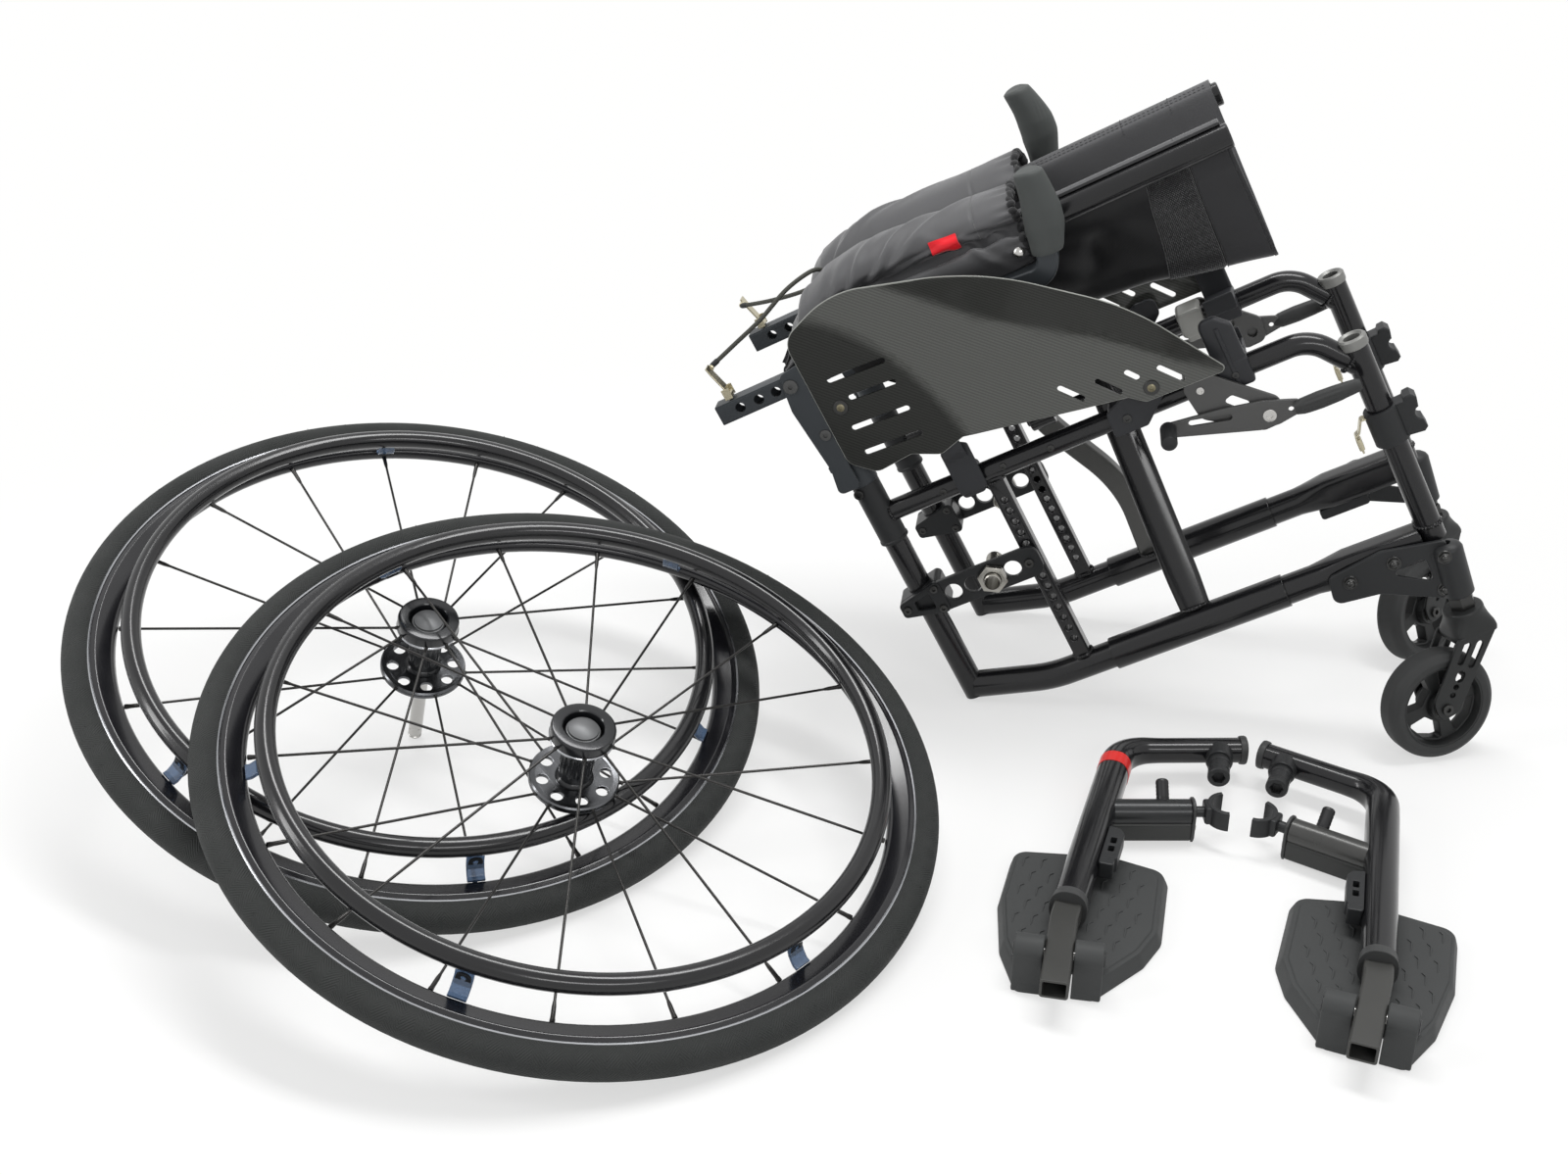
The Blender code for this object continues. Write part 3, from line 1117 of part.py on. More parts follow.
def leg_rest_tube(name, parent):
    down, foot, collar = leg_rest_points()
    z = Vector((0, 0, LEG_AXIS_Z))
    line = bent([collar + z, z, Vector((ARM_REACH, 0.001, LEG_AXIS_Z))], [0.034], math.radians(15))
    def taper(t):
        return (1, 1) if t < 0.6 else (1 - 0.25 * (t - 0.6) / 0.4, 1 - 0.35 * (t - 0.6) / 0.4)
    tube = sweep(line, oval(LEG_HALF_WIDTH, LEG_HALF_HEIGHT, TUBE_SIDES), (0, 0, 1), taper)
    ring = sweep([collar + z - down * 0.006, collar + z + down * 0.0015],
                 oval(LEG_HALF_WIDTH + 0.0018, LEG_HALF_HEIGHT + 0.0012, TUBE_SIDES), (0, 0, 1))
    pin_at = Vector((PIN_REACH, 0, LEG_AXIS_Z))
    boss = rod(pin_at, pin_at + foot * 0.020, 0.0100, TUBE_SIDES)
    neck = rod(pin_at + foot * 0.018, pin_at + foot * 0.036, 0.0085, TUBE_SIDES)
    tip = rod(pin_at + foot * 0.034, pin_at + foot * 0.044, 0.0068, TUBE_SIDES)
    latch_at = down * LATCH_DOWN + z
    body = box((0.004, -0.0100, -0.0235), (LATCH_END, 0.0100, -0.004))
    barrel = rod((0.004, 0, 0), (LATCH_END, 0, 0), 0.0105, TUBE_SIDES)
    bore = rod((0.022, 0, 0), (LATCH_END + 0.01, 0, 0), 0.0045, BOLT_SIDES)
    window = box((0.040, 0.0, -0.0032), (0.058, 0.02, 0.0032))
    housing = cut(fuse(barrel, body), bore, window)
    housing.transform(Matrix.Translation(latch_at))
    calf_at = down * 0.155 + z
    calf = plate([(0, -0.025), (0.012, -0.021), (0.012, 0.021), (0, 0.025)], -0.003, 0.010,
                 [[(0.004, -0.009), (0.0085, -0.008), (0.0085, 0.008), (0.004, 0.009)]])
    side = Vector((-down.y, down.x, 0))
    turn = Matrix((side, Vector((0, 0, 1)), -down)).transposed().to_4x4()
    calf.transform(Matrix.Translation(calf_at + side * (LEG_HALF_WIDTH - 0.001)) @ turn)
    inner = sweep([collar + z - down * 0.125, collar + z + down * 0.01],
                  oblong(INNER_WIDTH / 2 + GAP, INNER_HEIGHT / 2 + GAP, 0.002), (0, 0, 1))
    whole = cut(fuse(tube, ring, boss, neck, tip, housing, calf), inner)
    return name, whole, latch_at


def latch_bolt():
    saddle = box((SADDLE_START, -0.0125, -0.011), (SADDLE_END, 0.0125, 0.011))
    bite = rod((SADDLE_END + 0.0055, 0, -0.02), (SADDLE_END + 0.0055, 0, 0.02), FRONT_R + RUN, TUBE_SIDES)
    shaft = rod((0.030, 0, 0), (SADDLE_START + 0.002, 0, 0), 0.004, BOLT_SIDES)
    stalk = rod((0.052, 0.001, 0), (0.052, 0.018, 0), 0.0026, BOLT_SIDES)
    knob = rod((0.052, 0.016, 0), (0.052, 0.036, 0), 0.0062, TUBE_SIDES)
    return fuse(cut(saddle, bite), shaft, stalk, knob)


def leg_tube():
    """Inner tube from the collar: it slides in the leg and carries the footplate's hinge pin."""
    down, foot, collar = leg_rest_points()
    z = Vector((0, 0, LEG_AXIS_Z))
    knee = collar + down * 0.018
    end = knee + foot * (FOOT_LENGTH - 0.018)
    line = bent([collar - down * 0.085 + z, knee + z, end + z], [0.06])
    section = oblong(INNER_WIDTH / 2, INNER_HEIGHT / 2, 0.002)
    tube = sweep(line, section, (0, 0, 1))
    mouth = sweep([end - foot * 0.030 + z, end + foot * 0.01 + z],
                  oblong(INNER_WIDTH / 2 - 0.0018, INNER_HEIGHT / 2 - 0.0018, 0.001), (0, 0, 1))
    hinge = knee + foot * (HINGE_DOWN - LEG_LENGTH - 0.018) + z
    across = Vector((-foot.y, foot.x, 0))
    pin = rod(hinge - across * 0.030, hinge + across * 0.030, 0.0035, BOLT_SIDES)
    return cut(fuse(tube, pin), mouth), hinge, foot, across


def footplate(hinge, foot, across):
    """Plate under the leg tube: x runs across, y towards the elbow, z up; origin on its hinge."""
    outline = rounded([(-0.050, 0.148, 0.012), (0.030, 0.157, 0.03), (0.076, 0.144, 0.012), (0.074, 0.060, 0.02),
                       (0.062, 0.030, 0.02), (0.028, -0.016, 0.006), (-0.030, -0.017, 0.006),
                       (-0.046, 0.024, 0.02), (-0.054, 0.080, 0.02)], 2)
    slab = plate(outline, 0, FOOTPLATE_T)
    for vert in slab.verts:
        if vert.co.y > FOOTPLATE_T / 2:
            vert.co.x *= FOOTPLATE_SLOPE
            vert.co.z = FOOTPLATE_MIDDLE + (vert.co.z - FOOTPLATE_MIDDLE) * FOOTPLATE_SLOPE
    slab.transform(Matrix(((1, 0, 0, 0), (0, 0, 1, 0), (0, 1, 0, -LEG_AXIS_Z), (0, 0, 0, 1))))
    bmesh.ops.reverse_faces(slab, faces=slab.faces[:])
    gap = INNER_WIDTH / 2 + RUN
    lugs = []
    for side in (-1, 1):
        lugs.append(rod((side * gap, 0, 0), (side * 0.033, 0, 0), 0.012, TUBE_SIDES))
        low = sorted((side * gap, side * 0.033))
        lugs.append(box((low[0], -0.012, -LEG_AXIS_Z + 0.004), (low[1], 0.012, 0)))
    hole = rod((-0.0305, 0, 0), (0.0305, 0, 0), 0.0038, BOLT_SIDES)
    notch = box((-gap, -0.030, -LEG_AXIS_Z - 0.001), (gap, FOOTPLATE_NOTCH, 0))
    body = cut(fuse(slab, *lugs), hole, notch)
    turn = Matrix((across, -foot, Vector((0, 0, 1)))).transposed().to_4x4()
    body.transform(turn)
    return body


def leg_rest(name, at, turn, flip):
    mirror = Matrix.Diagonal((-1 if flip else 1, 1, 1, 1))
    place = empty(f"{name}_leg_rest_place", None,
                  Matrix.Translation((at[0] - CENTRE_X, at[1] - CENTRE_Y, 0)) @ Matrix.Rotation(turn, 4, "Z"))
    _, tube, latch_at = leg_rest_tube(name, place)
    make(f"{name}_hanger_tube", tube, place, "frame", (0, 0, 0), mirror)
    bolt = latch_bolt()
    bolt.transform(Matrix.Translation(latch_at))
    make(f"{name}_hanger_latch", bolt, place, "trim", mirror @ latch_at, mirror)
    inner, hinge, foot, across = leg_tube()
    make(f"{name}_leg_tube", inner, place, "trim", mirror @ hinge, mirror)
    sole = footplate(hinge, foot, across)
    sole.transform(Matrix.Translation(hinge))
    make(f"{name}_footplate", sole, place, "plastic", mirror @ hinge, mirror)


def build():
    clear_scene()
    folded_frame()
    rear_wheel("wheel_a", WHEEL_A_PLACE, WHEEL_A_LEAN, AXLE_A_REACH, HANDRIM_A_TURN)
    rear_wheel("wheel_b", WHEEL_B_PLACE, WHEEL_B_LEAN, AXLE_B_REACH, HANDRIM_B_TURN)
    leg_rest("left", LEG_REST_L_PLACE, LEG_REST_L_TURN, False)
    leg_rest("right", LEG_REST_R_PLACE, LEG_REST_R_TURN, True)


build()
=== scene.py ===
"""Folding active wheelchair, folded together, with its rear wheels and leg rests laid beside it."""
from math import acos, asin, atan2, cos, hypot, pi, radians, sin, tan

import bmesh
import bpy
import numpy as np
from mathutils.geometry import tessellate_polygon
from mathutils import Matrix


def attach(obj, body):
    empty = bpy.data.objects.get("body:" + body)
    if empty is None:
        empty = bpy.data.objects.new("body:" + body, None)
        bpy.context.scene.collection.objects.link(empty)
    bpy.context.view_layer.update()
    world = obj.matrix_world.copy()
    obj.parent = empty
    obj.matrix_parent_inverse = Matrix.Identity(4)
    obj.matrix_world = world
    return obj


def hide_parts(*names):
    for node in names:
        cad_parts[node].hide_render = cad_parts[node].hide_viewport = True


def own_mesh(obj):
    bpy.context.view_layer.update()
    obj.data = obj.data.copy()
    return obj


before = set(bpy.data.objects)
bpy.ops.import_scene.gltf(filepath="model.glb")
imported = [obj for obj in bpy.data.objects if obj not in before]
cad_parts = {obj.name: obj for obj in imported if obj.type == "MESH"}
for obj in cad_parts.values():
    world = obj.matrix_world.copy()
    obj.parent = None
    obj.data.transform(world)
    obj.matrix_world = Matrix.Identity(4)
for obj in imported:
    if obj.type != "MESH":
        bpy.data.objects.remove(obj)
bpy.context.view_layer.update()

# The studio: a pale floor that keeps the soft shadows, and the photographer's place.
# The camera stands 0.92 m up and looks down on the parts as they lie.
CAMERA_AT = (-0.0295, -1.366, 0.918)
CAMERA_TILT = radians(62.35)
CAMERA_LENS = 43.65
SENSOR = 36.0
FLOOR_SIZE = 18.0
FLOOR_COLOUR = (0.93, 0.93, 0.925, 1)
SKY_LIGHT = (0.93, 0.94, 0.95, 1)
SKY_STRENGTH = 0.42
# The floor's own white glow: its share near the parts, and the distances between which it grows to 1.
GLOW_NEAR, GLOW_FROM, GLOW_TO = 0.58, 0.55, 1.15
# Soft boxes: place, the point each faces, its two sides in metres and its power in watts.
LAMPS = {"top_box": ((0.3, 0.5, 2.6), (0, 0, 0.1), (2.4, 0.5), 50),
         "left_box": ((-2.6, -0.4, 1.5), (0, 0, 0.15), (0.45, 2.0), 26),
         "front_box": ((0.9, -2.8, 1.9), (0.1, 0, 0.15), (1.8, 0.4), 20)}


def feed(tree, step, inputs):
    """Gives each input of a shader node its value, or a link from the socket that feeds it."""
    for name, value in inputs.items():
        if isinstance(value, bpy.types.NodeSocket):
            tree.links.new(value, step.inputs[name])
        else:
            step.inputs[name].default_value = value
    return step


def added(tree, kind, inputs, **settings):
    """A new shader node with its settings and its inputs."""
    step = tree.nodes.new("ShaderNode" + kind)
    for name, value in settings.items():
        setattr(step, name, value)
    return feed(tree, step, inputs)


def maths(tree, kind, *values):
    return added(tree, "Math", dict(enumerate(values)), operation=kind).outputs[0]


def seen(tree, share):
    """The share of a white glow that camera, glossy and transmission rays see: their largest flag x share."""
    ray = added(tree, "LightPath", {}).outputs
    either = maths(tree, "MAXIMUM", ray["Is Camera Ray"], ray["Is Glossy Ray"])
    either = maths(tree, "MAXIMUM", either, ray["Is Transmission Ray"])
    return maths(tree, "MULTIPLY", either, share)


def stage_floor():
    """A matt floor whose white glow grows with the distance from the parts, for glossy rays as well."""
    half = FLOOR_SIZE / 2
    mesh = bpy.data.meshes.new("floor")
    corners = [(-half, -half, 0), (half, -half, 0), (half, half, 0), (-half, half, 0)]
    mesh.from_pydata(corners, [], [(0, 1, 2, 3)])
    floor = bpy.data.objects.new("floor", mesh)
    bpy.context.scene.collection.objects.link(floor)
    paint = bpy.data.materials.new("floor_paint")
    paint.use_nodes = True
    tree = paint.node_tree
    shader = feed(tree, tree.nodes["Principled BSDF"],
                  {"Base Color": FLOOR_COLOUR, "Roughness": 0.75, "Specular IOR Level": 0.25})
    glow = added(tree, "Emission", {"Color": (1, 1, 0.995, 1)})
    place = added(tree, "TexCoord", {}).outputs["Object"]
    reach = added(tree, "VectorMath", {0: place}, operation="LENGTH").outputs["Value"]
    fade = added(tree, "MapRange", {"Value": reach, "From Min": GLOW_FROM, "From Max": GLOW_TO,
                                    "To Min": GLOW_NEAR, "To Max": 1.0})
    share = seen(tree, fade.outputs["Result"])
    mix = added(tree, "MixShader", {0: share, 1: shader.outputs[0], 2: glow.outputs[0]})
    feed(tree, tree.nodes["Material Output"], {"Surface": mix.outputs[0]})
    mesh.materials.append(paint)


def soft_box(name, at, target, size, power):
    """A rectangular area light at a point, facing another."""
    lamp = bpy.data.lights.new(name, "AREA")
    lamp.shape = "RECTANGLE"
    lamp.size, lamp.size_y = size
    lamp.energy = power
    thing = bpy.data.objects.new(name, lamp)
    bpy.context.scene.collection.objects.link(thing)
    thing.location = at
    way = np.array(target, float) - np.array(at, float)
    thing.rotation_euler = (atan2(hypot(way[0], way[1]), -way[2]), 0, atan2(way[1], way[0]) - pi / 2)


def studio():
    camera = bpy.data.objects.new("camera", bpy.data.cameras.new("camera"))
    camera.data.sensor_width = SENSOR
    camera.data.lens = CAMERA_LENS
    camera.location = CAMERA_AT
    camera.rotation_euler = (CAMERA_TILT, 0, 0)
    bpy.context.scene.collection.objects.link(camera)
    bpy.context.scene.camera = camera
    world = bpy.data.worlds.new("studio")
    bpy.context.scene.world = world
    world.use_nodes = True
    tree = world.node_tree
    sky = feed(tree, tree.nodes["Background"], {"Color": SKY_LIGHT, "Strength": SKY_STRENGTH})
    backdrop = added(tree, "Background", {"Color": (1, 1, 1, 1)})
    mix = added(tree, "MixShader", {0: seen(tree, 1.0), 1: sky.outputs[0], 2: backdrop.outputs[0]})
    feed(tree, tree.nodes["World Output"], {"Surface": mix.outputs[0]})
    for name, lamp in LAMPS.items():
        soft_box(name, *lamp)
    bpy.context.scene.view_settings.view_transform = "Standard"


stage_floor()
studio()

# Side frames: welded and powder-coated aluminium tube. A rear tube, a lower tube that kicks up at
# the back, an upper tube with an elbow and a front tube, with a drilled square post between them.
FRAME_AT = (0.1457, 0.1658)
FRAME_YAW = radians(-8.3)
FRAME_TILT = radians(27.8)
FOLDED_WIDTH = 0.164
LOWER_R, LOWER_W = 0.0127, -0.0092
REAR_R, REAR_U, REAR_FOOT_W, REAR_TOP_W = 0.011, 0.0075, 0.0019, 0.262
KICK_U, KICK_RISE = 0.0788, 0.0202
UPPER_R, UPPER_W = 0.0095, 0.203
FRONT_R, FRONT_U, FRONT_TOP_W = 0.011, 0.436, 0.1894
ELBOW_U, ELBOW_LAND_W = 0.404, 0.161
POST_U, POST_SIDE = 0.115, 0.015
POST_HOLES, POST_PITCH, POST_HOLE_R = 14, 0.0116, 0.003
SIDES = {"right": (-1, 0.0), "left": (1, FOLDED_WIDTH)}
X, Y, Z = np.eye(3)
ORIGIN = np.zeros(3)


class Form:
    """One closed surface: its points, its faces, and the UV of each face corner in metres."""

    def __init__(self, points, faces, uv):
        self.points = np.asarray(points, float).reshape(-1, 3)
        self.faces = faces
        self.uv = np.asarray(uv, float).reshape(-1, 2)

    def moved(self, matrix):
        matrix = np.asarray(matrix, float)
        return Form(self.points @ matrix[:3, :3].T + matrix[:3, 3], self.faces, self.uv)


def put(forms, place):
    """One form or several, moved by one matrix."""
    return [form.moved(place) for form in ([forms] if isinstance(forms, Form) else forms)]


def basis(x, y, z, at=ORIGIN):
    """The matrix whose axes are x, y and z and whose origin is at."""
    matrix = np.eye(4)
    matrix[:3, :3] = np.stack([x, y, z], 1)
    matrix[:3, 3] = at
    return matrix


def full_turn(count):
    return np.linspace(0, 2 * pi, count, endpoint=False)


def unit(vector):
    vector = np.asarray(vector, float)
    return vector / np.maximum(np.linalg.norm(vector, axis=-1, keepdims=True), 1e-12)


def shell(rings, close=False, caps=True):
    """Quads between neighbouring rings of points. U is the distance walked from ring to ring at each
    ring's middle, V the distance walked round the widest ring; the end rings are closed by one face."""
    rings = np.asarray(rings, float)
    rows, columns = rings.shape[:2]
    steps = np.linalg.norm(np.diff(np.concatenate([rings, rings[:1]]), axis=0), axis=2).mean(1)
    along = np.concatenate([[0], np.cumsum(steps)])
    walks = np.linalg.norm(np.roll(rings, -1, 1) - rings, axis=2)
    around = np.concatenate([[0], np.cumsum(walks[walks.sum(1).argmax()])])
    r, c = np.meshgrid(np.arange(rows if close else rows - 1), np.arange(columns), indexing="ij")
    after, above = (c + 1) % columns, (r + 1) % rows
    quads = np.stack([r * columns + c, r * columns + after, above * columns + after,
                      above * columns + c], -1).reshape(-1, 4)
    u = np.stack([along[r], along[r], along[r + 1], along[r + 1]], -1)
    v = np.stack([around[c], around[c + 1], around[c + 1], around[c]], -1)
    faces, uv = quads.tolist(), np.stack([u, v], -1).reshape(-1, 2)
    if caps and not close:
        for row in (0, rows - 1):
            faces.append((np.arange(columns) + row * columns).tolist())
            uv = np.concatenate([uv, rings[row, :, :2]])
    return Form(rings, faces, uv)


def carry(path, section, up=Y, scale=1.0, close=False, caps=True):
    """A section of (side, lift) points carried along a path: point = station + side a + lift b, where
    lift is up made square to the path and side is lift x path."""
    path = np.asarray(path, float)
    if close:
        along = unit(np.roll(path, -1, 0) - np.roll(path, 1, 0))
    else:
        along = unit(np.gradient(path, axis=0))
    up = np.broadcast_to(np.asarray(up, float), path.shape)
    lift = unit(up - along * (along * up).sum(1, keepdims=True))
    side = np.cross(lift, along)
    section = np.broadcast_to(section, (len(path), *np.shape(section)[-2:]))
    scale = np.broadcast_to(np.asarray(scale, float).reshape(-1, 1, 1), (len(path), 1, 1))
    sized = section * scale
    rings = path[:, None] + side[:, None] * sized[..., :1] + lift[:, None] * sized[..., 1:]
    return shell(rings, close, caps)


def ring(radius, count=32, flat=1.0):
    angle = full_turn(count)
    return np.stack([radius * np.cos(angle), radius * flat * np.sin(angle)], 1)


def rounded(corners, steps=6):
    """A polygon of (a, b, radius) corners, each corner turned into an arc tangent to its two sides."""
    corners = np.asarray(corners, float)
    points = []
    for k, (a, b, radius) in enumerate(corners):
        here = np.array([a, b])
        back, ahead = corners[k - 1][:2] - here, corners[(k + 1) % len(corners)][:2] - here
        limit = 0.48 * min(np.linalg.norm(back), np.linalg.norm(ahead))
        back, ahead = unit(back), unit(ahead)
        half = acos(np.clip(back @ ahead, -1, 1)) / 2
        if radius < 1e-6 or half > radians(88):
            points.append(here[None])
            continue
        reach = min(radius / tan(half), limit)
        centre = here + unit(back + ahead) * reach / cos(half)
        turn = pi - 2 * half
        t = np.linspace(0, 1, steps + 1)[:, None]
        arms = ((here + back * reach - centre) * np.sin((1 - t) * turn)
                + (here + ahead * reach - centre) * np.sin(t * turn)) / sin(turn)
        points.append(centre + arms)
    return np.concatenate(points)


def oblong(half_side, half_lift, corner, steps=4):
    return rounded([(half_side, -half_lift, corner), (half_side, half_lift, corner),
                    (-half_side, half_lift, corner), (-half_side, -half_lift, corner)], steps)


def bent(points, radii, steps=10, straight=6):
    """A path through corner points, each inner corner an arc of its own radius."""
    points = np.asarray(points, float)
    line = [points[:1]]
    for k in range(1, len(points) - 1):
        back, ahead = unit(points[k - 1] - points[k]), unit(points[k + 1] - points[k])
        half = acos(np.clip(back @ ahead, -1, 1)) / 2
        reach, turn = radii[k - 1] / tan(half), pi - 2 * half
        centre = points[k] + unit(back + ahead) * radii[k - 1] / sin(half)
        t = np.linspace(0, 1, steps + 1)[:, None]
        arc = centre + ((points[k] + back * reach - centre) * np.sin((1 - t) * turn)
                        + (points[k] + ahead * reach - centre) * np.sin(t * turn)) / sin(turn)
        line.append(arc)
    line.append(points[-1:])
    line = np.concatenate(line)
    filled = [line[:1]]
    for a, b in zip(line, line[1:]):
        extra = straight if np.linalg.norm(b - a) > 0.03 else 1
        filled.append(a + (b - a) * np.linspace(0, 1, extra + 1)[1:, None])
    return np.concatenate(filled)


def tube(start, end, radius, count=32, edge=0.0008):
    """A straight round bar with softened ends."""
    start, end = np.asarray(start, float), np.asarray(end, float)
    length = np.linalg.norm(end - start)
    way = (end - start) / length
    heights = np.array([0, edge * 0.3, edge, length - edge, length - edge * 0.3, length])
    radii = np.array([radius - edge, radius - edge * 0.3, radius, radius, radius - edge * 0.3, radius - edge])
    side = X if abs(way[0]) < 0.9 else Y
    return carry(start + heights[:, None] * way, ring(1.0, count), side, radii)


def turned(profile, count=48, close=False, place=None):
    """A profile of (radius, height) points turned about z: (r cos a, r sin a, h)."""
    profile = np.asarray(profile, float)
    angle = full_turn(count)
    rings = np.stack([profile[:, :1] * np.cos(angle), profile[:, :1] * np.sin(angle),
                      np.broadcast_to(profile[:, 1:], (len(profile), count))], -1)
    form = shell(rings, close)
    return form if place is None else form.moved(place)


def standing(at, along, side=Y):
    """A frame at a point: z along a direction, x as near to side as it can be, y = z x x."""
    z = unit(along)
    x = np.asarray(side, float)
    if abs(z @ x) > 0.99:
        x = X
    x = unit(x - z * (z @ x))
    return basis(x, np.cross(z, x), z, at)


def circle(a, b, radius, count=28, turn=0.0):
    angle = turn + full_turn(count)
    return np.stack([a + radius * np.cos(angle), b + radius * np.sin(angle)], 1)


def slot(start, end, width, steps=8):
    """A round-ended slot between two points."""
    start, end = np.asarray(start, float), np.asarray(end, float)
    heading = atan2(*(end - start)[::-1])
    t = np.linspace(0, pi, steps + 1)
    loops = []
    for at, first in ((end, heading - pi / 2), (start, heading + pi / 2)):
        loops.append(at + width / 2 * np.stack([np.cos(first + t), np.sin(first + t)], 1))
    return np.concatenate(loops)


def plate(outline, low, high, holes=(), edge=0.0005, steps=2):
    """A flat outline with holes, extruded across from low to high. Every loop is walked with the metal
    on its left, and its edge is a quarter round: inset e (1 - cos a), height e sin a."""
    points, faces, uv, start = [], [], [], 0
    caps = {0: [], 1: []}
    quarter = np.linspace(0, pi / 2, steps + 1)
    insets = np.concatenate([edge * (1 - np.sin(quarter)), edge * (1 - np.cos(quarter))])
    heights = np.concatenate([low + edge * (1 - np.cos(quarter)), high - edge * (1 - np.sin(quarter))])
    for number, loop in enumerate([outline, *holes]):
        loop = np.asarray(loop, float)
        ahead = np.roll(loop, -1, 0)
        area = (loop[:, 0] * ahead[:, 1] - ahead[:, 0] * loop[:, 1]).sum()
        if (area > 0) != (number == 0):
            loop = loop[::-1]
        way = unit(np.roll(loop, -1, 0) - loop)
        left = np.stack([-way[:, 1], way[:, 0]], 1)
        inward = unit(left + np.roll(left, 1, 0))
        inward /= np.maximum((inward * left).sum(1, keepdims=True), 0.5)
        size = len(loop)
        flat = loop[None] + inward[None] * insets[:, None, None]
        tall = np.broadcast_to(heights[:, None, None], (len(heights), size, 1))
        points.append(np.concatenate([flat[..., :1], tall, flat[..., 1:]], -1).reshape(-1, 3))
        r, c = np.meshgrid(np.arange(len(heights) - 1), np.arange(size), indexing="ij")
        quads = np.stack([r * size + c, r * size + (c + 1) % size, (r + 1) * size + (c + 1) % size,
                          (r + 1) * size + c], -1).reshape(-1, 4) + start
        walk = np.concatenate([[0], np.cumsum(np.linalg.norm(np.roll(loop, -1, 0) - loop, axis=1))])
        faces += quads.tolist()
        uv.append(np.stack([np.stack([walk[c], walk[c + 1], walk[c + 1], walk[c]], -1),
                            np.stack([heights[r], heights[r], heights[r + 1], heights[r + 1]], -1)],
                           -1).reshape(-1, 2))
        for top in (0, 1):
            row = (len(heights) - 1) * top
            caps[top].append((flat[row], start + row * size))
        start += len(heights) * size
    for top in (0, 1):
        loops = [[(1000 * a, 1000 * b, 0) for a, b in flat] for flat, _ in caps[top]]
        index = np.concatenate([np.arange(len(flat)) + first for flat, first in caps[top]])
        spots = np.concatenate([flat for flat, _ in caps[top]])
        triangles = np.array(tessellate_polygon(loops))
        faces += index[triangles].tolist()
        uv.append(spots[triangles].reshape(-1, 2))
    return Form(np.concatenate(points), faces, np.concatenate(uv))


def block(low, high, edge=0.0008):
    """A box with rounded edges, its long way across."""
    (a0, c0, b0), (a1, c1, b1) = low, high
    corner = min(edge * 1.5, (a1 - a0) / 3, (b1 - b0) / 3)
    outline = rounded([(a0, b0, corner), (a1, b0, corner), (a1, b1, corner), (a0, b1, corner)], 3)
    return plate(outline, c0, c1, (), min(edge, (c1 - c0) / 3))


def collars(rows, count):
    """Rings about z from rows of (radius, height, six-sided). A six-sided ring has its corners at the
    radius: r cos 30 / cos(a - 30)."""
    angle = full_turn(count)
    hexed = cos(pi / 6) / np.cos(np.mod(angle, pi / 3) - pi / 6)
    reach = np.array([r * (hexed if six else np.ones(count)) for r, _, six in rows])
    height = np.array([[h] * count for _, h, _ in rows])
    return np.stack([reach * np.cos(angle), reach * np.sin(angle), height], -1)


def screw(at, along, radius, height, key=0.5, dome=False):
    """A screw head with a hexagon socket: six-sided rings inside round ones."""
    edge = radius * (0.45 if dome else 0.15)
    rows = [(radius, 0, False), (radius, height - edge, False),
            (radius - edge * 0.3, height - edge * 0.3, False), (radius - edge, height, False),
            (radius * key, height, True), (radius * key, height * 0.3, True)]
    return shell(collars(rows, 36)).moved(standing(at, along, Z))


def piece(name, forms, paint, body, nodes=(), sharp=38):
    """Joins forms into one named mesh that rides on a body and stands for CAD nodes."""
    forms = [forms] if isinstance(forms, Form) else list(forms)
    faces, shift = [], 0
    for form in forms:
        faces += [[index + shift for index in face] for face in form.faces]
        shift += len(form.points)
    mesh = bpy.data.meshes.new(name)
    mesh.from_pydata(np.concatenate([form.points for form in forms]), [], faces)
    layer = mesh.uv_layers.new(name="metres")
    layer.data.foreach_set("uv", np.concatenate([form.uv for form in forms]).astype(np.float32).ravel())
    shaped = bmesh.new()
    shaped.from_mesh(mesh)
    bmesh.ops.recalc_face_normals(shaped, faces=shaped.faces[:])
    shaped.to_mesh(mesh)
    shaped.free()
    mesh.shade_smooth()
    mesh.set_sharp_from_angle(angle=radians(sharp))
    thing = bpy.data.objects.new(name, mesh)
    bpy.context.scene.collection.objects.link(thing)
    mesh.materials.append(paint)
    even = thing.modifiers.new("even", "WEIGHTED_NORMAL")
    even.keep_sharp = True
    if body:
        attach(thing, body)
    if nodes:
        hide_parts(*nodes)
    return thing


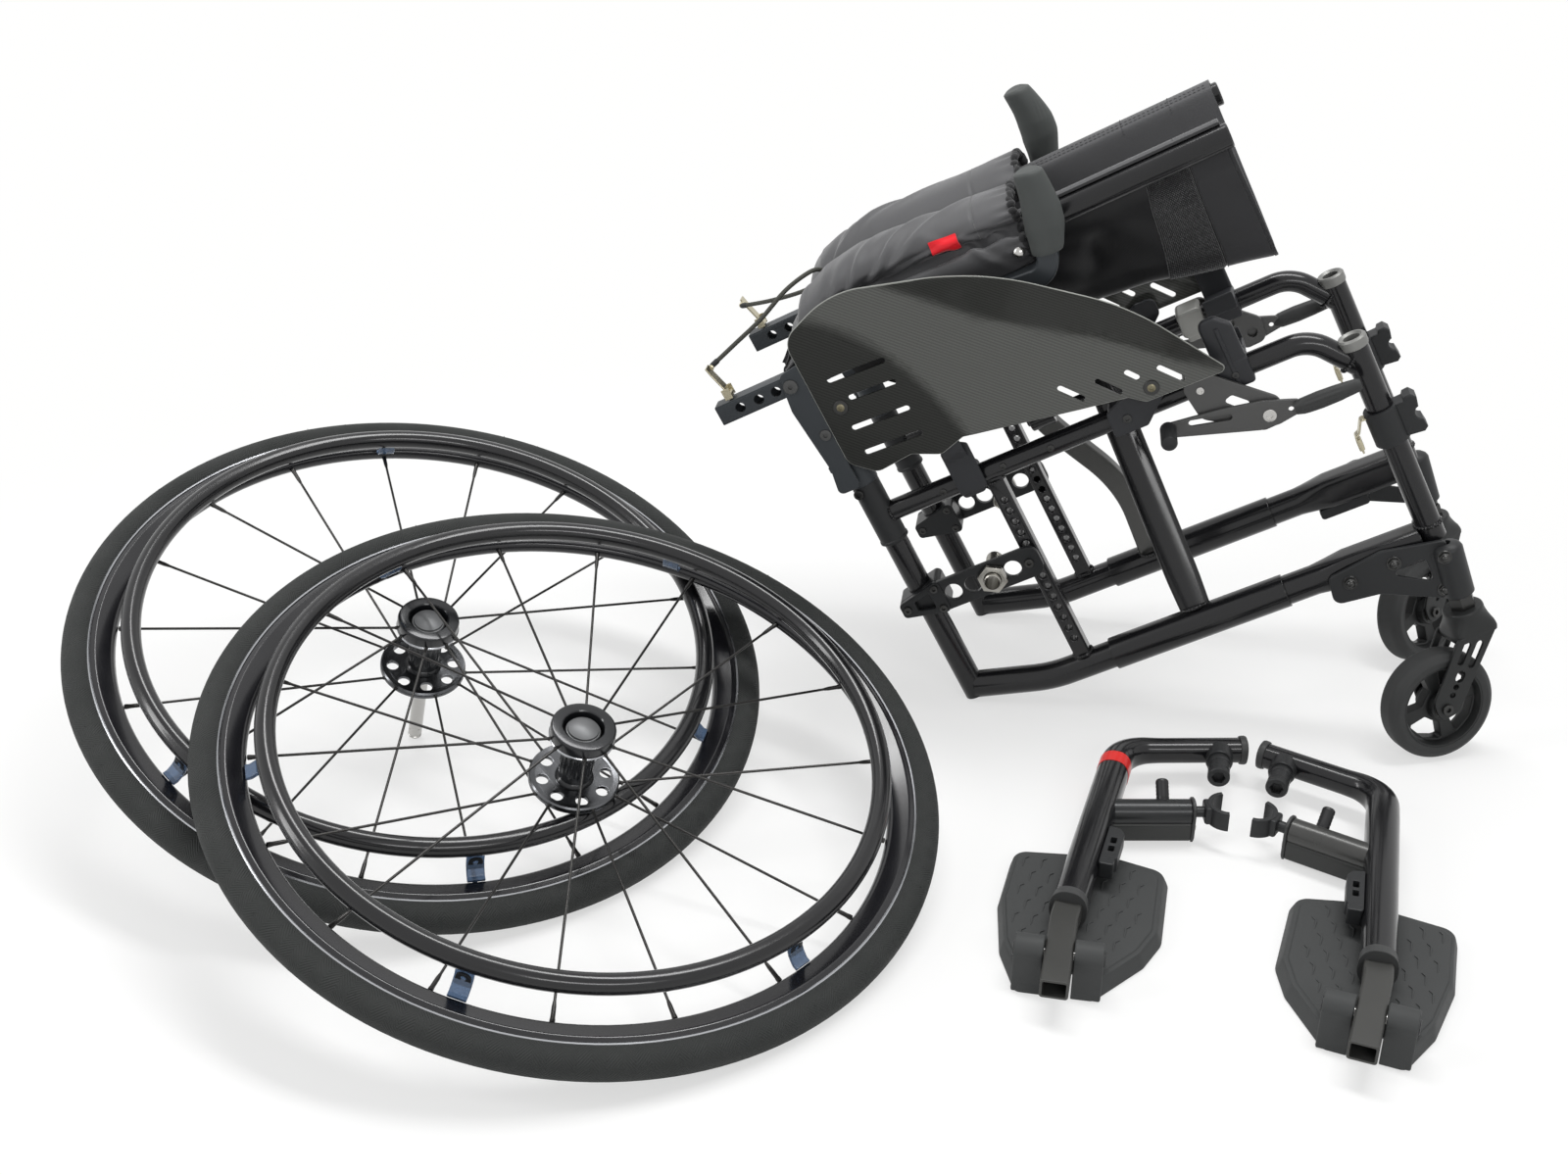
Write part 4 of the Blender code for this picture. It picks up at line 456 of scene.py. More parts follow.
def finish(name, colour, roughness, metallic=0.0, coat=0.0, mottle=0.1, drift=18.0, grain=1400.0,
           relief=0.00003, wear=0.06):
    """Principled surface: slow noise drifts its colour and roughness, and a fine grain is bumped."""
    paint = bpy.data.materials.new(name)
    paint.use_nodes = True
    tree = paint.node_tree
    place = added(tree, "TexCoord", {}).outputs["Object"]
    slow = added(tree, "TexNoise", {"Vector": place, "Scale": drift, "Detail": 5}).outputs["Fac"]
    dark, pale = ((*[min(1, c * (1 + change)) for c in colour], 1) for change in (-mottle, mottle))
    tone = added(tree, "Mix", {"Factor": slow, "A": dark, "B": pale}, data_type="RGBA")
    rough = added(tree, "MapRange", {"Value": slow, "From Min": 0.3, "From Max": 0.7,
                                     "To Min": max(0.02, roughness - wear), "To Max": roughness + wear})
    fine = added(tree, "TexNoise", {"Vector": place, "Scale": grain, "Detail": 2})
    bump = added(tree, "Bump", {"Height": fine.outputs["Fac"], "Strength": 1.0, "Distance": relief})
    feed(tree, tree.nodes["Principled BSDF"],
         {"Base Color": tone.outputs["Result"], "Metallic": metallic, "Roughness": rough.outputs["Result"],
          "Specular IOR Level": 0.5 if metallic > 0.4 else 0.28, "Coat Weight": coat,
          "Coat Roughness": 0.12, "Normal": bump.outputs["Normal"]})
    return paint


FRAME = (basis(X, Y, Z, (*FRAME_AT, 0))
         @ basis((cos(FRAME_YAW), sin(FRAME_YAW), 0), (-sin(FRAME_YAW), cos(FRAME_YAW), 0), Z)
         @ basis((cos(FRAME_TILT), 0, sin(FRAME_TILT)), Y, (-sin(FRAME_TILT), 0, cos(FRAME_TILT))))


def side_piece(side, name, forms, paint, node, body="frame", place=None, sharp=38):
    """A piece of one side, that rides a body of that side and stands for one of its nodes or none. Its
    forms are drawn as (u, out, w) and put on the folded frame, y = base + sign x out, or put in place."""
    if place is None:
        sign, base = SIDES[side]
        place = FRAME @ basis(X, sign * Y, Z, base * Y)
    nodes = [f"{side}_{node}"] if node else []
    return piece(f"{side}_{name}", put(forms, place), paint, f"{side}_{body}", nodes, sharp)


def weld(centre, axis, radius, bead=0.0016, ripples=26, side=Y):
    """A rippled bead laid round a joint: a ring whose own radius swells by bead sin(n a) / 3."""
    angle = full_turn(96)
    place = standing(centre, axis, side)
    around = np.stack([radius * np.cos(angle), radius * np.sin(angle), 0 * angle], 1)
    return carry(around, ring(1.0, 8), Z, bead * (1 + 0.3 * np.sin(ripples * angle)), True).moved(place)


FRAME_BLACK = finish("powder_black", (0.008, 0.008, 0.009), 0.22, 0.0, 0.25, grain=2600, relief=0.000012)
TRIM_BLACK = finish("satin_black", (0.02, 0.021, 0.022), 0.48, grain=1800)
STEEL = finish("bright_steel", (0.496, 0.488, 0.472), 0.26, 1.0, grain=2400, relief=0.00001)
BUSH = finish("socket_bush", (0.22, 0.22, 0.21), 0.46, 0.5, grain=1200)
DARK_STEEL = finish("dark_screws", (0.054, 0.054, 0.053), 0.32, 0.9, grain=2400, relief=0.00001)


def side_tubes():
    lower = carry(bent([(REAR_U + 0.002, 0, LOWER_W + KICK_RISE), (KICK_U, 0, LOWER_W),
                        (FRONT_U - 0.012, 0, LOWER_W)], [0.12]), ring(LOWER_R, 40))
    rear = tube((REAR_U, 0, REAR_FOOT_W), (REAR_U, 0, REAR_TOP_W), REAR_R, 40)
    upper_path = bent([(REAR_U, 0, UPPER_W), (ELBOW_U, 0, UPPER_W), (FRONT_U, 0, ELBOW_LAND_W)], [0.034])
    upper = carry(upper_path, ring(UPPER_R, 40))
    wall, deep = 0.0022, 0.05
    front = turned([(FRONT_R - wall, FRONT_TOP_W), (FRONT_R - 0.0006, FRONT_TOP_W + 0.0008),
                    (FRONT_R, FRONT_TOP_W), (FRONT_R, LOWER_W), (FRONT_R - wall, LOWER_W),
                    (FRONT_R - wall, FRONT_TOP_W - deep), (FRONT_R - wall, FRONT_TOP_W - 0.01)], 40, True)
    front.points[:, 0] += FRONT_U
    return [lower, rear, upper, front]


def axle_post():
    half = POST_SIDE / 2
    first = (LOWER_W + LOWER_R + UPPER_W - UPPER_R) / 2 - POST_PITCH * (POST_HOLES - 1) / 2
    holes = [circle(POST_U, first + k * POST_PITCH, POST_HOLE_R, 18) for k in range(POST_HOLES)]
    low, top = LOWER_W + LOWER_R / 2, UPPER_W - UPPER_R / 2
    outline = [(POST_U - half, low), (POST_U + half, low), (POST_U + half, top), (POST_U - half, top)]
    return plate(outline, -half, half, holes, 0.0016, 3)


def front_boot():
    """The lower tube's front end, pressed from a round tube to a flat-sided one: sections blend over u."""
    stations = np.array([0.3045, 0.305, 0.33, 0.34, 0.35, 0.36, 0.395, 0.4255, 0.4265])
    blend = np.clip((stations - 0.33) / 0.03, 0, 1)[:, None, None]
    count = 40
    round_one = ring(0.01335, count)
    angle = np.arctan2(round_one[:, 1], round_one[:, 0])
    reach = 1 / (np.abs(np.cos(angle)) ** 6 + np.abs(np.sin(angle)) ** 6) ** (1 / 6)
    flat_one = np.stack([0.015 * reach * np.cos(angle), 0.0128 * reach * np.sin(angle)], 1)
    section = round_one * (1 - blend) + flat_one * blend
    section[[0, -1]] *= 0.93
    path = np.stack([stations, 0 * stations, LOWER_W + 0 * stations], 1)
    return carry(path, section, Y)


for side in SIDES:
    tubes = side_tubes() + [axle_post(), front_boot(),
                            weld((POST_U, 0, LOWER_W + LOWER_R), Z, 0.0088, 0.0014),
                            weld((POST_U, 0, UPPER_W - UPPER_R), Z, 0.0086, 0.0012),
                            weld((REAR_U + REAR_R - 0.001, 0, UPPER_W), X, UPPER_R, 0.0013),
                            weld((FRONT_U, 0, LOWER_W + LOWER_R + 0.002), (0.1, 0, 1), FRONT_R, 0.0016),
                            weld((FRONT_U - FRONT_R + 0.003, 0, ELBOW_LAND_W + 0.011), (0.6, 0, -0.8),
                                 UPPER_R + 0.001, 0.0014)]
    side_piece(side, "frame_tubes", tubes, FRAME_BLACK, "side_frame")
    sleeve = turned([(REAR_R - 0.001, 0.1765), (REAR_R + 0.0012, 0.176), (REAR_R + 0.0026, 0.1772),
                     (REAR_R + 0.0026, 0.1792), (REAR_R + 0.0019, 0.18), (REAR_R + 0.0019, 0.244),
                     (REAR_R - 0.001, 0.2445)], 40, True)
    sleeve.points[:, 0] += REAR_U
    side_piece(side, "rear_sleeve", [sleeve], TRIM_BLACK, "")
    collar = turned([(FRONT_R - 0.0022, -0.0075), (FRONT_R + 0.0008, -0.0075), (FRONT_R + 0.0012, -0.006),
                     (FRONT_R + 0.0012, 0.0004), (FRONT_R, 0.0018), (FRONT_R - 0.0016, 0.002),
                     (FRONT_R - 0.004, 0.0004), (FRONT_R - 0.004, -0.012), (FRONT_R - 0.0022, -0.012)], 40,
                    True)
    collar.points += (FRONT_U, 0, FRONT_TOP_W)
    side_piece(side, "socket_bush", [collar], BUSH, "")
    holes = [(0.0697, UPPER_W + 0.001), (0.1279, UPPER_W + 0.002), (0.1726, UPPER_W + 0.001)]
    heads = [screw((u, UPPER_R - 0.0004, w), Y, 0.0032, 0.0014, 0.5) for u, w in holes]
    heads.append(screw((0.001, REAR_R + 0.0012, 0.233), (-0.2, 1, 0), 0.0048, 0.0018, 0.5))
    heads.append(screw((0.385, LOWER_R + 0.0002, LOWER_W - 0.001), Y, 0.0036, 0.001, 0.5))
    side_piece(side, "frame_screws", heads, DARK_STEEL, "")

# Rear wheels: a tyre on a deep black rim, eighteen spokes from two flanges, a push rim on six tabs.
# Each wheel lies on the floor, tipped by its own quick-release axle or by the wheel under it.
# Each wheel's place, the way its axle leans, its axle's reach below it and the turn of its push rim's tabs.
WHEELS = {"wheel_a": ((-0.3397, 0.0649), (0.2107, -0.2672, 0.9403), 0.1133, 40.0),
          "wheel_b": ((-0.1931, -0.095), (0.204, -0.2261, 0.9525), 0.034, 4.6)}
WHEEL_R, TYRE_R, RIM_SEAT, RIM_DEPTH = 0.295, 0.0125, 0.009, 0.0215
TYRE_CENTRE_R = WHEEL_R - TYRE_R
RIM_OUT_R = TYRE_CENTRE_R - RIM_SEAT
RIM_IN_R = RIM_OUT_R - RIM_DEPTH
HANDRIM_R, HANDRIM_W, HANDRIM_TUBE_R, HANDRIM_TABS = RIM_IN_R - 0.012, 0.032, 0.008, 6
SPOKES, SPOKE_R = 18, 0.0011
HUB_CAP_R, HUB_CAP_W, HUB_RECESS, BUTTON_SEAT = 0.026, 0.038, 0.0155, 0.012
BARREL_R, FLANGE_R, FLANGE_W, FLANGE_T, FLANGE_HOLES = 0.0133, 0.0365, -0.0185, 0.0065, 8
AXLE_R = 0.006


def wheel_place(at, lean):
    lean = np.array(lean) / np.linalg.norm(lean)
    sink = hypot(lean[0], lean[1])
    return standing((*at, TYRE_CENTRE_R * sink + TYRE_R), lean, -Z)


def emboss(paint, height, distance, strength):
    """Lays one more bump over a finish's own grain."""
    tree = paint.node_tree
    shader = tree.nodes["Principled BSDF"]
    grain = shader.inputs["Normal"].links[0].from_socket
    bump = added(tree, "Bump", {"Height": height, "Distance": distance, "Strength": strength,
                                "Normal": grain})
    feed(tree, shader, {"Normal": bump.outputs["Normal"]})
    return paint


def uv_of(tree):
    return added(tree, "UVMap", {}).outputs["UV"]


def rubber(name, colour, files, scale):
    """Tyre rubber: dull, dusty, with patches of fine diagonal file lines along its UV."""
    paint = finish(name, colour, 0.72, 0, 0, 0.16, 26, 900, 0.00006, 0.1)
    tree = paint.node_tree
    u, v = added(tree, "SeparateXYZ", {0: uv_of(tree)}).outputs[:2]
    flip = maths(tree, "SIGN", maths(tree, "SINE", maths(tree, "MULTIPLY", v, scale / 3)))
    lean = maths(tree, "ADD", v, maths(tree, "MULTIPLY", u, maths(tree, "MULTIPLY", flip, 0.9)))
    lines = maths(tree, "SINE", maths(tree, "MULTIPLY", lean, files))
    return emboss(paint, lines, 0.00025, 0.75)


TYRE = rubber("tyre_rubber", (0.028, 0.03, 0.029), 2600.0, 900.0)
RIM_BLACK = finish("rim_black", (0.008, 0.008, 0.01), 0.22, 0.0, 0.5, grain=3000, relief=0.000008)
RIM_EDGE = finish("rim_edge", (0.425, 0.433, 0.451), 0.24, 1.0, grain=3000, relief=0.000008)
PUSH_BLACK = finish("push_rim_black", (0.006, 0.006, 0.007), 0.2, 0.0, 0.4, grain=2200, relief=0.00002)
SPOKE_DARK = finish("spoke_dark", (0.033, 0.032, 0.031), 0.3, 0.85, grain=2600, relief=0.00001)
HUB_BLACK = finish("hub_black", (0.013, 0.014, 0.016), 0.24, 0.25, 0.4, grain=2600, relief=0.00001)
HUB_CHROME = finish("hub_chrome", (0.12, 0.123, 0.129), 0.22, 1.0, grain=2000, relief=0.00001)
BUTTON_GREY = finish("button_grey", (0.144, 0.147, 0.15), 0.42, 0.35, grain=1500, relief=0.00002)
TAB_BLUE = finish("tab_blue", (0.128, 0.204, 0.34), 0.22, 0.0, 0.3, grain=800, relief=0.00002)
TAB_BLUE.node_tree.nodes["Principled BSDF"].inputs["Transmission Weight"].default_value = 0.55
TAB_TAG = finish("tab_tag", (0.027, 0.028, 0.03), 0.38, 0.3)


def wheel_tyre():
    """A round tyre: radius R + r cos a, height r sin a, a little flattened where it would roll."""
    a = np.radians(np.linspace(-138, 138, 34))
    reach = TYRE_R * (1 - 0.018 * np.exp(-(a / 0.3) ** 2))
    beads = np.where(np.abs(a) > 2.1, 0.0004, 0)
    return turned(np.stack([TYRE_CENTRE_R + (reach + beads) * np.cos(a), (reach + beads) * np.sin(a)], 1),
                  160, True)


def tyre_hairs():
    """Short moulding hairs along the tyre's two sides, leaning one way."""
    hairs = []
    for k in range(44):
        turn = 2 * pi * k / 44 + 0.05 * sin(k * 7.3)
        lift = radians((52 if k % 2 else 66) * (1 if k % 4 < 2 else -1))
        out = np.array([cos(turn), sin(turn), 0])
        root = out * (TYRE_CENTRE_R + TYRE_R * cos(lift) * 0.97) + np.array([0, 0, TYRE_R * sin(lift) * 0.97])
        way = unit(out * cos(lift) + np.array([0, 0, sin(lift)]))
        hairs.append(tube(root, root + way * 0.0011, 0.00032, 5, 0.0001))
    return hairs


def wheel_rim():
    shoulder = RIM_OUT_R - 0.0055
    corners = [(RIM_OUT_R, -0.0088, 0.0012), (RIM_OUT_R, 0.0088, 0.0012), (shoulder, 0.0105, 0.003),
               (RIM_IN_R + 0.002, 0.0052, 0.006), (RIM_IN_R, 0, 0.006), (RIM_IN_R + 0.002, -0.0052, 0.006),
               (shoulder, -0.0105, 0.003)]
    return turned(rounded(corners, 6), 160, True)


def rim_edges():
    """The bright machined edge between rim and tyre, on both sides."""
    rings = []
    for sign in (-1, 1):
        profile = [(RIM_OUT_R + 0.0004, sign * 0.0088), (RIM_OUT_R + 0.0009, sign * 0.0098),
                   (RIM_OUT_R - 0.0002, sign * 0.0104), (RIM_OUT_R - 0.0012, sign * 0.0098),
                   (RIM_OUT_R - 0.001, sign * 0.0088)]
        rings.append(turned(profile, 160, True))
    return rings


def push_tab(angle):
    """One tab: a leaf that leaves the rim's inner wall and climbs to the push rim."""
    foot = HANDRIM_W - HANDRIM_TUBE_R * 0.8
    rows = np.array([(RIM_IN_R + 0.0016, 0.0055), (RIM_IN_R - 0.002, 0.0062), (HANDRIM_R + 0.0052, 0.0105),
                     (HANDRIM_R + 0.002, 0.015), (HANDRIM_R + 0.0006, foot)])
    path = np.stack([rows[:, 0], 0 * rows[:, 0], rows[:, 1]], 1)
    leaf = carry(bent(path, [0.004, 0.008, 0.008], 4, 1), oblong(0.0072, 0.0016, 0.0012), (1, 0, 0.6))
    return leaf.moved(standing(ORIGIN, Z, (cos(angle), sin(angle), 0)))


def tag_plate(angle):
    """The dark plate under each tab, with its round hole."""
    outline = rounded([(-0.0068, 0.0085, 0.0022), (0.0068, 0.0085, 0.0022), (0.0052, 0.0215, 0.0045),
                       (-0.0052, 0.0215, 0.0045)], 5)
    flat = plate(outline, -0.0009, 0.0009, [circle(0, 0.0165, 0.0022, 16)], 0.0004)
    turn = standing(ORIGIN, Z, (cos(angle), sin(angle), 0))
    return flat.moved(turn @ basis(Y, X, Z, (HANDRIM_R + 0.0035, 0, 0)))


def spoke_line(k):
    upper = k % 2 == 0
    angle = 2 * pi * k / SPOKES
    swing = radians(9) * (1 if (k // 2) % 2 == 0 else -1)
    hub_r = HUB_CAP_R - 0.003 if upper else FLANGE_R - 0.003
    hub_w = HUB_CAP_W - 0.0105 if upper else FLANGE_W - FLANGE_T / 2
    start = np.array([hub_r * cos(angle + swing), hub_r * sin(angle + swing), hub_w])
    return start, np.array([(RIM_IN_R - 0.0002) * cos(angle), (RIM_IN_R - 0.0002) * sin(angle), 0])


def wheel_spokes():
    """Straight drawn spokes, their rim ends in long tapered ferrules and their hub ends in nipples."""
    forms = []
    for k in range(SPOKES):
        start, end = spoke_line(k)
        way = unit(end - start)
        forms.append(tube(start - way * 0.004, end - way * 0.01, SPOKE_R, 12, 0.0002))
        ferrule = turned([(0.0009, 0), (0.00125, 0.0002), (0.0017, 0.0045), (0.0018, 0.013), (0.0021, 0.015),
                          (0.0021, 0.017), (0.001, 0.0175)], 16)
        forms.append(ferrule.moved(standing(end - way * 0.0172, way)))
        nipple = turned([(0.0008, 0), (0.0021, 0.0002), (0.0021, 0.0042), (0.0013, 0.0068),
                         (0.0008, 0.0072)], 14)
        forms.append(nipple.moved(standing(start - way * 0.002, way)))
    return forms


def hub_shell():
    """The hub's cap, neck and fluted barrel: the flutes are grooves r (1 - d cos^8) round the barrel."""
    top, count = HUB_CAP_W, 144
    profile = np.array([(AXLE_R + 0.0005, top - HUB_RECESS), (0.015, top - HUB_RECESS),
                        (0.0158, top - 0.012), (0.0165, top - 0.0008), (0.0174, top),
                        (HUB_CAP_R - 0.0022, top), (HUB_CAP_R - 0.0005, top - 0.0009),
                        (HUB_CAP_R, top - 0.0024), (HUB_CAP_R - 0.0002, top - 0.01),
                        (HUB_CAP_R - 0.0012, top - 0.0128), (HUB_CAP_R - 0.007, top - 0.015),
                        (BARREL_R + 0.0012, top - 0.0185), (BARREL_R, top - 0.0215),
                        (BARREL_R, top - 0.026), (BARREL_R + 0.0006, top - 0.0266),
                        (BARREL_R + 0.0006, top - 0.047), (BARREL_R, top - 0.0476),
                        (BARREL_R, FLANGE_W + 0.0022), (BARREL_R + 0.002, FLANGE_W + 0.0004),
                        (BARREL_R + 0.0026, FLANGE_W - 0.002), (AXLE_R + 0.0005, FLANGE_W - 0.002)])
    angle = full_turn(count)
    flute = 0.075 * np.abs(np.cos(angle * 9)) ** 6
    shared = np.where((profile[:, 1] < top - 0.0262) & (profile[:, 1] > top - 0.0474), 1.0, 0.0)[:, None]
    reach = profile[:, :1] * (1 - shared * flute)
    rings = np.stack([reach * np.cos(angle), reach * np.sin(angle),
                      np.broadcast_to(profile[:, 1:], reach.shape)], -1)
    return shell(rings, True)


def hub_flange():
    """The lower flange: a disc with eight round holes and a spoke rim, and its boss below."""
    holes = [circle(0.0262 * cos(a), 0.0262 * sin(a), 0.005, 24)
             for a in 2 * pi * (np.arange(FLANGE_HOLES) + 0.5) / FLANGE_HOLES]
    disc = plate(circle(0, 0, FLANGE_R, 96), 0, 0.0032, [circle(0, 0, BARREL_R - 0.001, 40), *holes], 0.0006)
    flat = basis(X, Z, Y, (0, 0, FLANGE_W - 0.0042))
    rim = turned([(FLANGE_R - 0.0052, FLANGE_W - 0.0006), (FLANGE_R - 0.0012, FLANGE_W),
                  (FLANGE_R, FLANGE_W - 0.0012), (FLANGE_R, FLANGE_W - FLANGE_T + 0.001),
                  (FLANGE_R - 0.001, FLANGE_W - FLANGE_T),
                  (FLANGE_R - 0.0052, FLANGE_W - FLANGE_T + 0.0006)], 96, True)
    back = FLANGE_W - FLANGE_T
    boss = turned([(AXLE_R + 0.0005, FLANGE_W - 0.002), (0.0172, FLANGE_W - 0.002), (0.0168, back),
                   (0.015, back - 0.001), (0.014, back - 0.005), (AXLE_R + 0.0005, back - 0.005)], 48, True)
    return [disc.moved(flat), rim, boss]


def axle_pin(reach):
    top = HUB_CAP_W - HUB_RECESS
    pin = turned([(0.0029, top), (AXLE_R - 0.0006, top), (AXLE_R, top - 0.0006), (AXLE_R, -reach + 0.0052),
                  (AXLE_R - 0.0005, -reach + 0.0048), (AXLE_R - 0.0005, -reach + 0.0036),
                  (AXLE_R, -reach + 0.0032), (AXLE_R - 0.0001, -reach + 0.0016), (AXLE_R - 0.0016, -reach),
                  (0.0026, -reach), (0.0022, -reach + 0.004), (0.002, top - 0.017), (0.0029, top - 0.017)],
                 36, True)
    balls = []
    for turn in (0.0, pi / 2, pi, 1.5 * pi):
        lift = np.linspace(0, pi, 9)
        dot = turned(np.stack([0.0013 * np.sin(lift) + 1e-5, -0.0013 * np.cos(lift)], 1), 12)
        balls.append(dot.moved(standing(((AXLE_R - 0.0004) * cos(turn), (AXLE_R - 0.0004) * sin(turn),
                                         -reach + 0.012), Z)))
    return [pin, *balls]


def hub_button():
    seat = HUB_CAP_W - BUTTON_SEAT
    r = np.linspace(0.0122, 0.0002, 10)
    dome = seat + 0.0094 + 0.0028 * (1 - (r / 0.0122) ** 2)
    base = [(0.0002, seat - 0.0155), (0.0024, seat - 0.0155), (0.0024, seat), (0.0136, seat),
            (0.0142, seat + 0.0006), (0.0142, seat + 0.0064), (0.0134, seat + 0.0078),
            (0.0126, seat + 0.008), (0.0124, seat + 0.0088)]
    return turned(base + list(zip(r, dome)), 64)


for wheel, (at, lean, reach, turn) in WHEELS.items():
    place = wheel_place(at, lean)
    angles = [radians(turn) + 2 * pi * k / HANDRIM_TABS for k in range(HANDRIM_TABS)]
    push_rim = turned(circle(HANDRIM_R, HANDRIM_W, HANDRIM_TUBE_R), 160, True)
    hub_ring = turned([(HUB_CAP_R - 0.0002, HUB_CAP_W - 0.01), (HUB_CAP_R + 0.0004, HUB_CAP_W - 0.0106),
                       (HUB_CAP_R + 0.0002, HUB_CAP_W - 0.012), (HUB_CAP_R - 0.0014, HUB_CAP_W - 0.013)],
                      96, True)
    for name, forms, paint, node, slot_name in (
            ("tyre", wheel_tyre(), TYRE, "tyre", "tyre"),
            ("tyre_hairs", tyre_hairs(), TYRE, "", "tyre"),
            ("rim", wheel_rim(), RIM_BLACK, "rim", "frame_black"),
            ("rim_edges", rim_edges(), RIM_EDGE, "", "alloy"),
            ("push_rim", push_rim, PUSH_BLACK, "handrim", "trim_black"),
            ("push_tabs", [push_tab(angle) for angle in angles], TAB_BLUE, "", "plastic"),
            ("push_tags", [tag_plate(angle) for angle in angles], TAB_TAG, "", "trim_black"),
            ("spokes", wheel_spokes(), SPOKE_DARK, "hub_spokes", "trim_black"),
            ("hub", hub_shell(), HUB_BLACK, "", "frame_black"),
            ("hub_flange", hub_flange(), HUB_CHROME, "", "alloy"),
            ("hub_ring", hub_ring, RIM_EDGE, "", "alloy")):
        nodes = [f"{wheel}_{node}"] if node else []
        piece(f"{wheel}_{name}", put(forms, place), paint, wheel, nodes)
    side_piece(wheel, "axle_pin", axle_pin(reach), STEEL, "axle", "axle", place)
    side_piece(wheel, "button", hub_button(), BUTTON_GREY, "axle_button", "button", place)

# Axle plates and sleeves: a drilled alloy bar clamps to the rear tube and the post by small socket
# screws, and a zinc-plated threaded sleeve with its lock nut sits in one hole to take the axle.
PLATE_W, PLATE_H, PLATE_U0, PLATE_U1, PLATE_OUT, PLATE_T = 0.1134, 0.03, 0.02, 0.1225, 0.011, 0.0055
AXLE_HOLES, AXLE_PITCH, AXLE_U0, AXLE_HOLE_R, AXLE_IN_HOLE = 4, 0.0194, 0.0375, 0.008, 2
NICKEL = finish("pale_nickel", (0.36, 0.35, 0.32), 0.3, 1.0, mottle=0.12, drift=60, grain=2000,
                relief=0.00002)
PLATE_BLACK = finish("plate_black", (0.014, 0.015, 0.016), 0.38, 0.25, 0.1, grain=2400, relief=0.00002)
ZINC = finish("yellow_zinc", (0.48, 0.44, 0.32), 0.3, 1.0, mottle=0.16, drift=60, grain=2000, relief=0.00002)


def axle_plate():
    high = PLATE_OUT + PLATE_T
    holes = [circle(AXLE_U0 + k * AXLE_PITCH, PLATE_W, AXLE_HOLE_R, 36) for k in range(AXLE_HOLES)]
    half = PLATE_H / 2
    bar = plate(rounded([(PLATE_U0, PLATE_W - half, 0.004), (PLATE_U1, PLATE_W - half, 0.01),
                         (PLATE_U1, PLATE_W + half, 0.01), (PLATE_U0, PLATE_W + half, 0.004)]), PLATE_OUT,
                high, holes, 0.0008)
    outline = rounded([(-0.0145, PLATE_W - 0.007, 0.004), (-0.0145, PLATE_W + 0.007, 0.004),
                       (0.029, PLATE_W + 0.017, 0.005), (0.029, PLATE_W - 0.017, 0.005)])
    window = rounded([(0.0005, PLATE_W - 0.0045, 0.0015), (0.0005, PLATE_W + 0.0045, 0.0015),
                      (0.0165, PLATE_W + 0.0085, 0.002), (0.0165, PLATE_W - 0.0085, 0.002)])
    back = plate(outline, -0.014, REAR_R + 0.0006, (), 0.0008)
    front = plate(outline, REAR_R + 0.0008, high + 0.0012, [window], 0.001)
    return [bar, back, front]


def axle_seat():
    """Threaded sleeve with fine rings of thread at its inner end, a collar, and a six-sided lock nut."""
    outer = PLATE_OUT + PLATE_T
    steps = np.arange(-0.02, -0.001, 0.0005)
    thread = [(AXLE_HOLE_R - 0.0005 + 0.0003 * (k % 2), float(h)) for k, h in enumerate(steps)]
    body = [(AXLE_R + 0.0012, -0.0205), *thread, (AXLE_HOLE_R - 0.0003, -0.0005),
            (AXLE_HOLE_R - 0.0003, outer + 0.0112), (AXLE_HOLE_R - 0.001, outer + 0.012),
            (AXLE_R + 0.0008, outer + 0.012), (AXLE_R + 0.0005, outer + 0.011), (AXLE_R + 0.0005, -0.02)]
    sleeve = turned(body, 48, True)
    nut = shell(collars([(0.0083, outer + 0.0003, False), (0.0108, outer + 0.0003, False),
                         (0.0138, outer + 0.001, True), (0.0138, outer + 0.0062, True),
                         (0.0108, outer + 0.007, False), (0.0083, outer + 0.007, False)], 72), True)
    place = standing((AXLE_U0 + AXLE_IN_HOLE * AXLE_PITCH, 0, PLATE_W), Y, Z)
    return put([sleeve, nut], place)


for side in SIDES:
    side_piece(side, "axle_bar", axle_plate(), PLATE_BLACK, "axle_plate")
    side_piece(side, "axle_seat", axle_seat(), NICKEL, "axle_sleeve")
    high = PLATE_OUT + PLATE_T
    spots = ((-0.0085, PLATE_W), (0.0225, PLATE_W + 0.0105), (0.0225, PLATE_W - 0.0105))
    bolts = [screw((u, high + 0.001, w), Y, 0.0037, 0.0022) for u, w in spots]
    bolts.append(screw((0.1115, high - 0.0002, PLATE_W), Y, 0.0042, 0.0024))
    bolts += [screw((u, -0.0136, w), -Y, 0.0036, 0.0016) for u, w in spots]
    side_piece(side, "axle_bar_screws", bolts, DARK_STEEL, "")

# Hanger catch, castor housing and front fittings: pressed and machined black parts bolted or clamped
# to the front tube, with a gold-zinc strike clip behind it and an inclined housing for the stem.
STEM_OUT, STEM_TOP, STEM_SLOPE = 0.014, (0.4433, -0.0119), FRAME_TILT - radians(22.0)
HOUSING_R, HOUSING_H = 0.013, 0.0508
STEM_UP = np.array([sin(STEM_SLOPE), 0, cos(STEM_SLOPE)])
STEM_FOOT = np.array([STEM_TOP[0], STEM_OUT, STEM_TOP[1]]) - STEM_UP * HOUSING_H


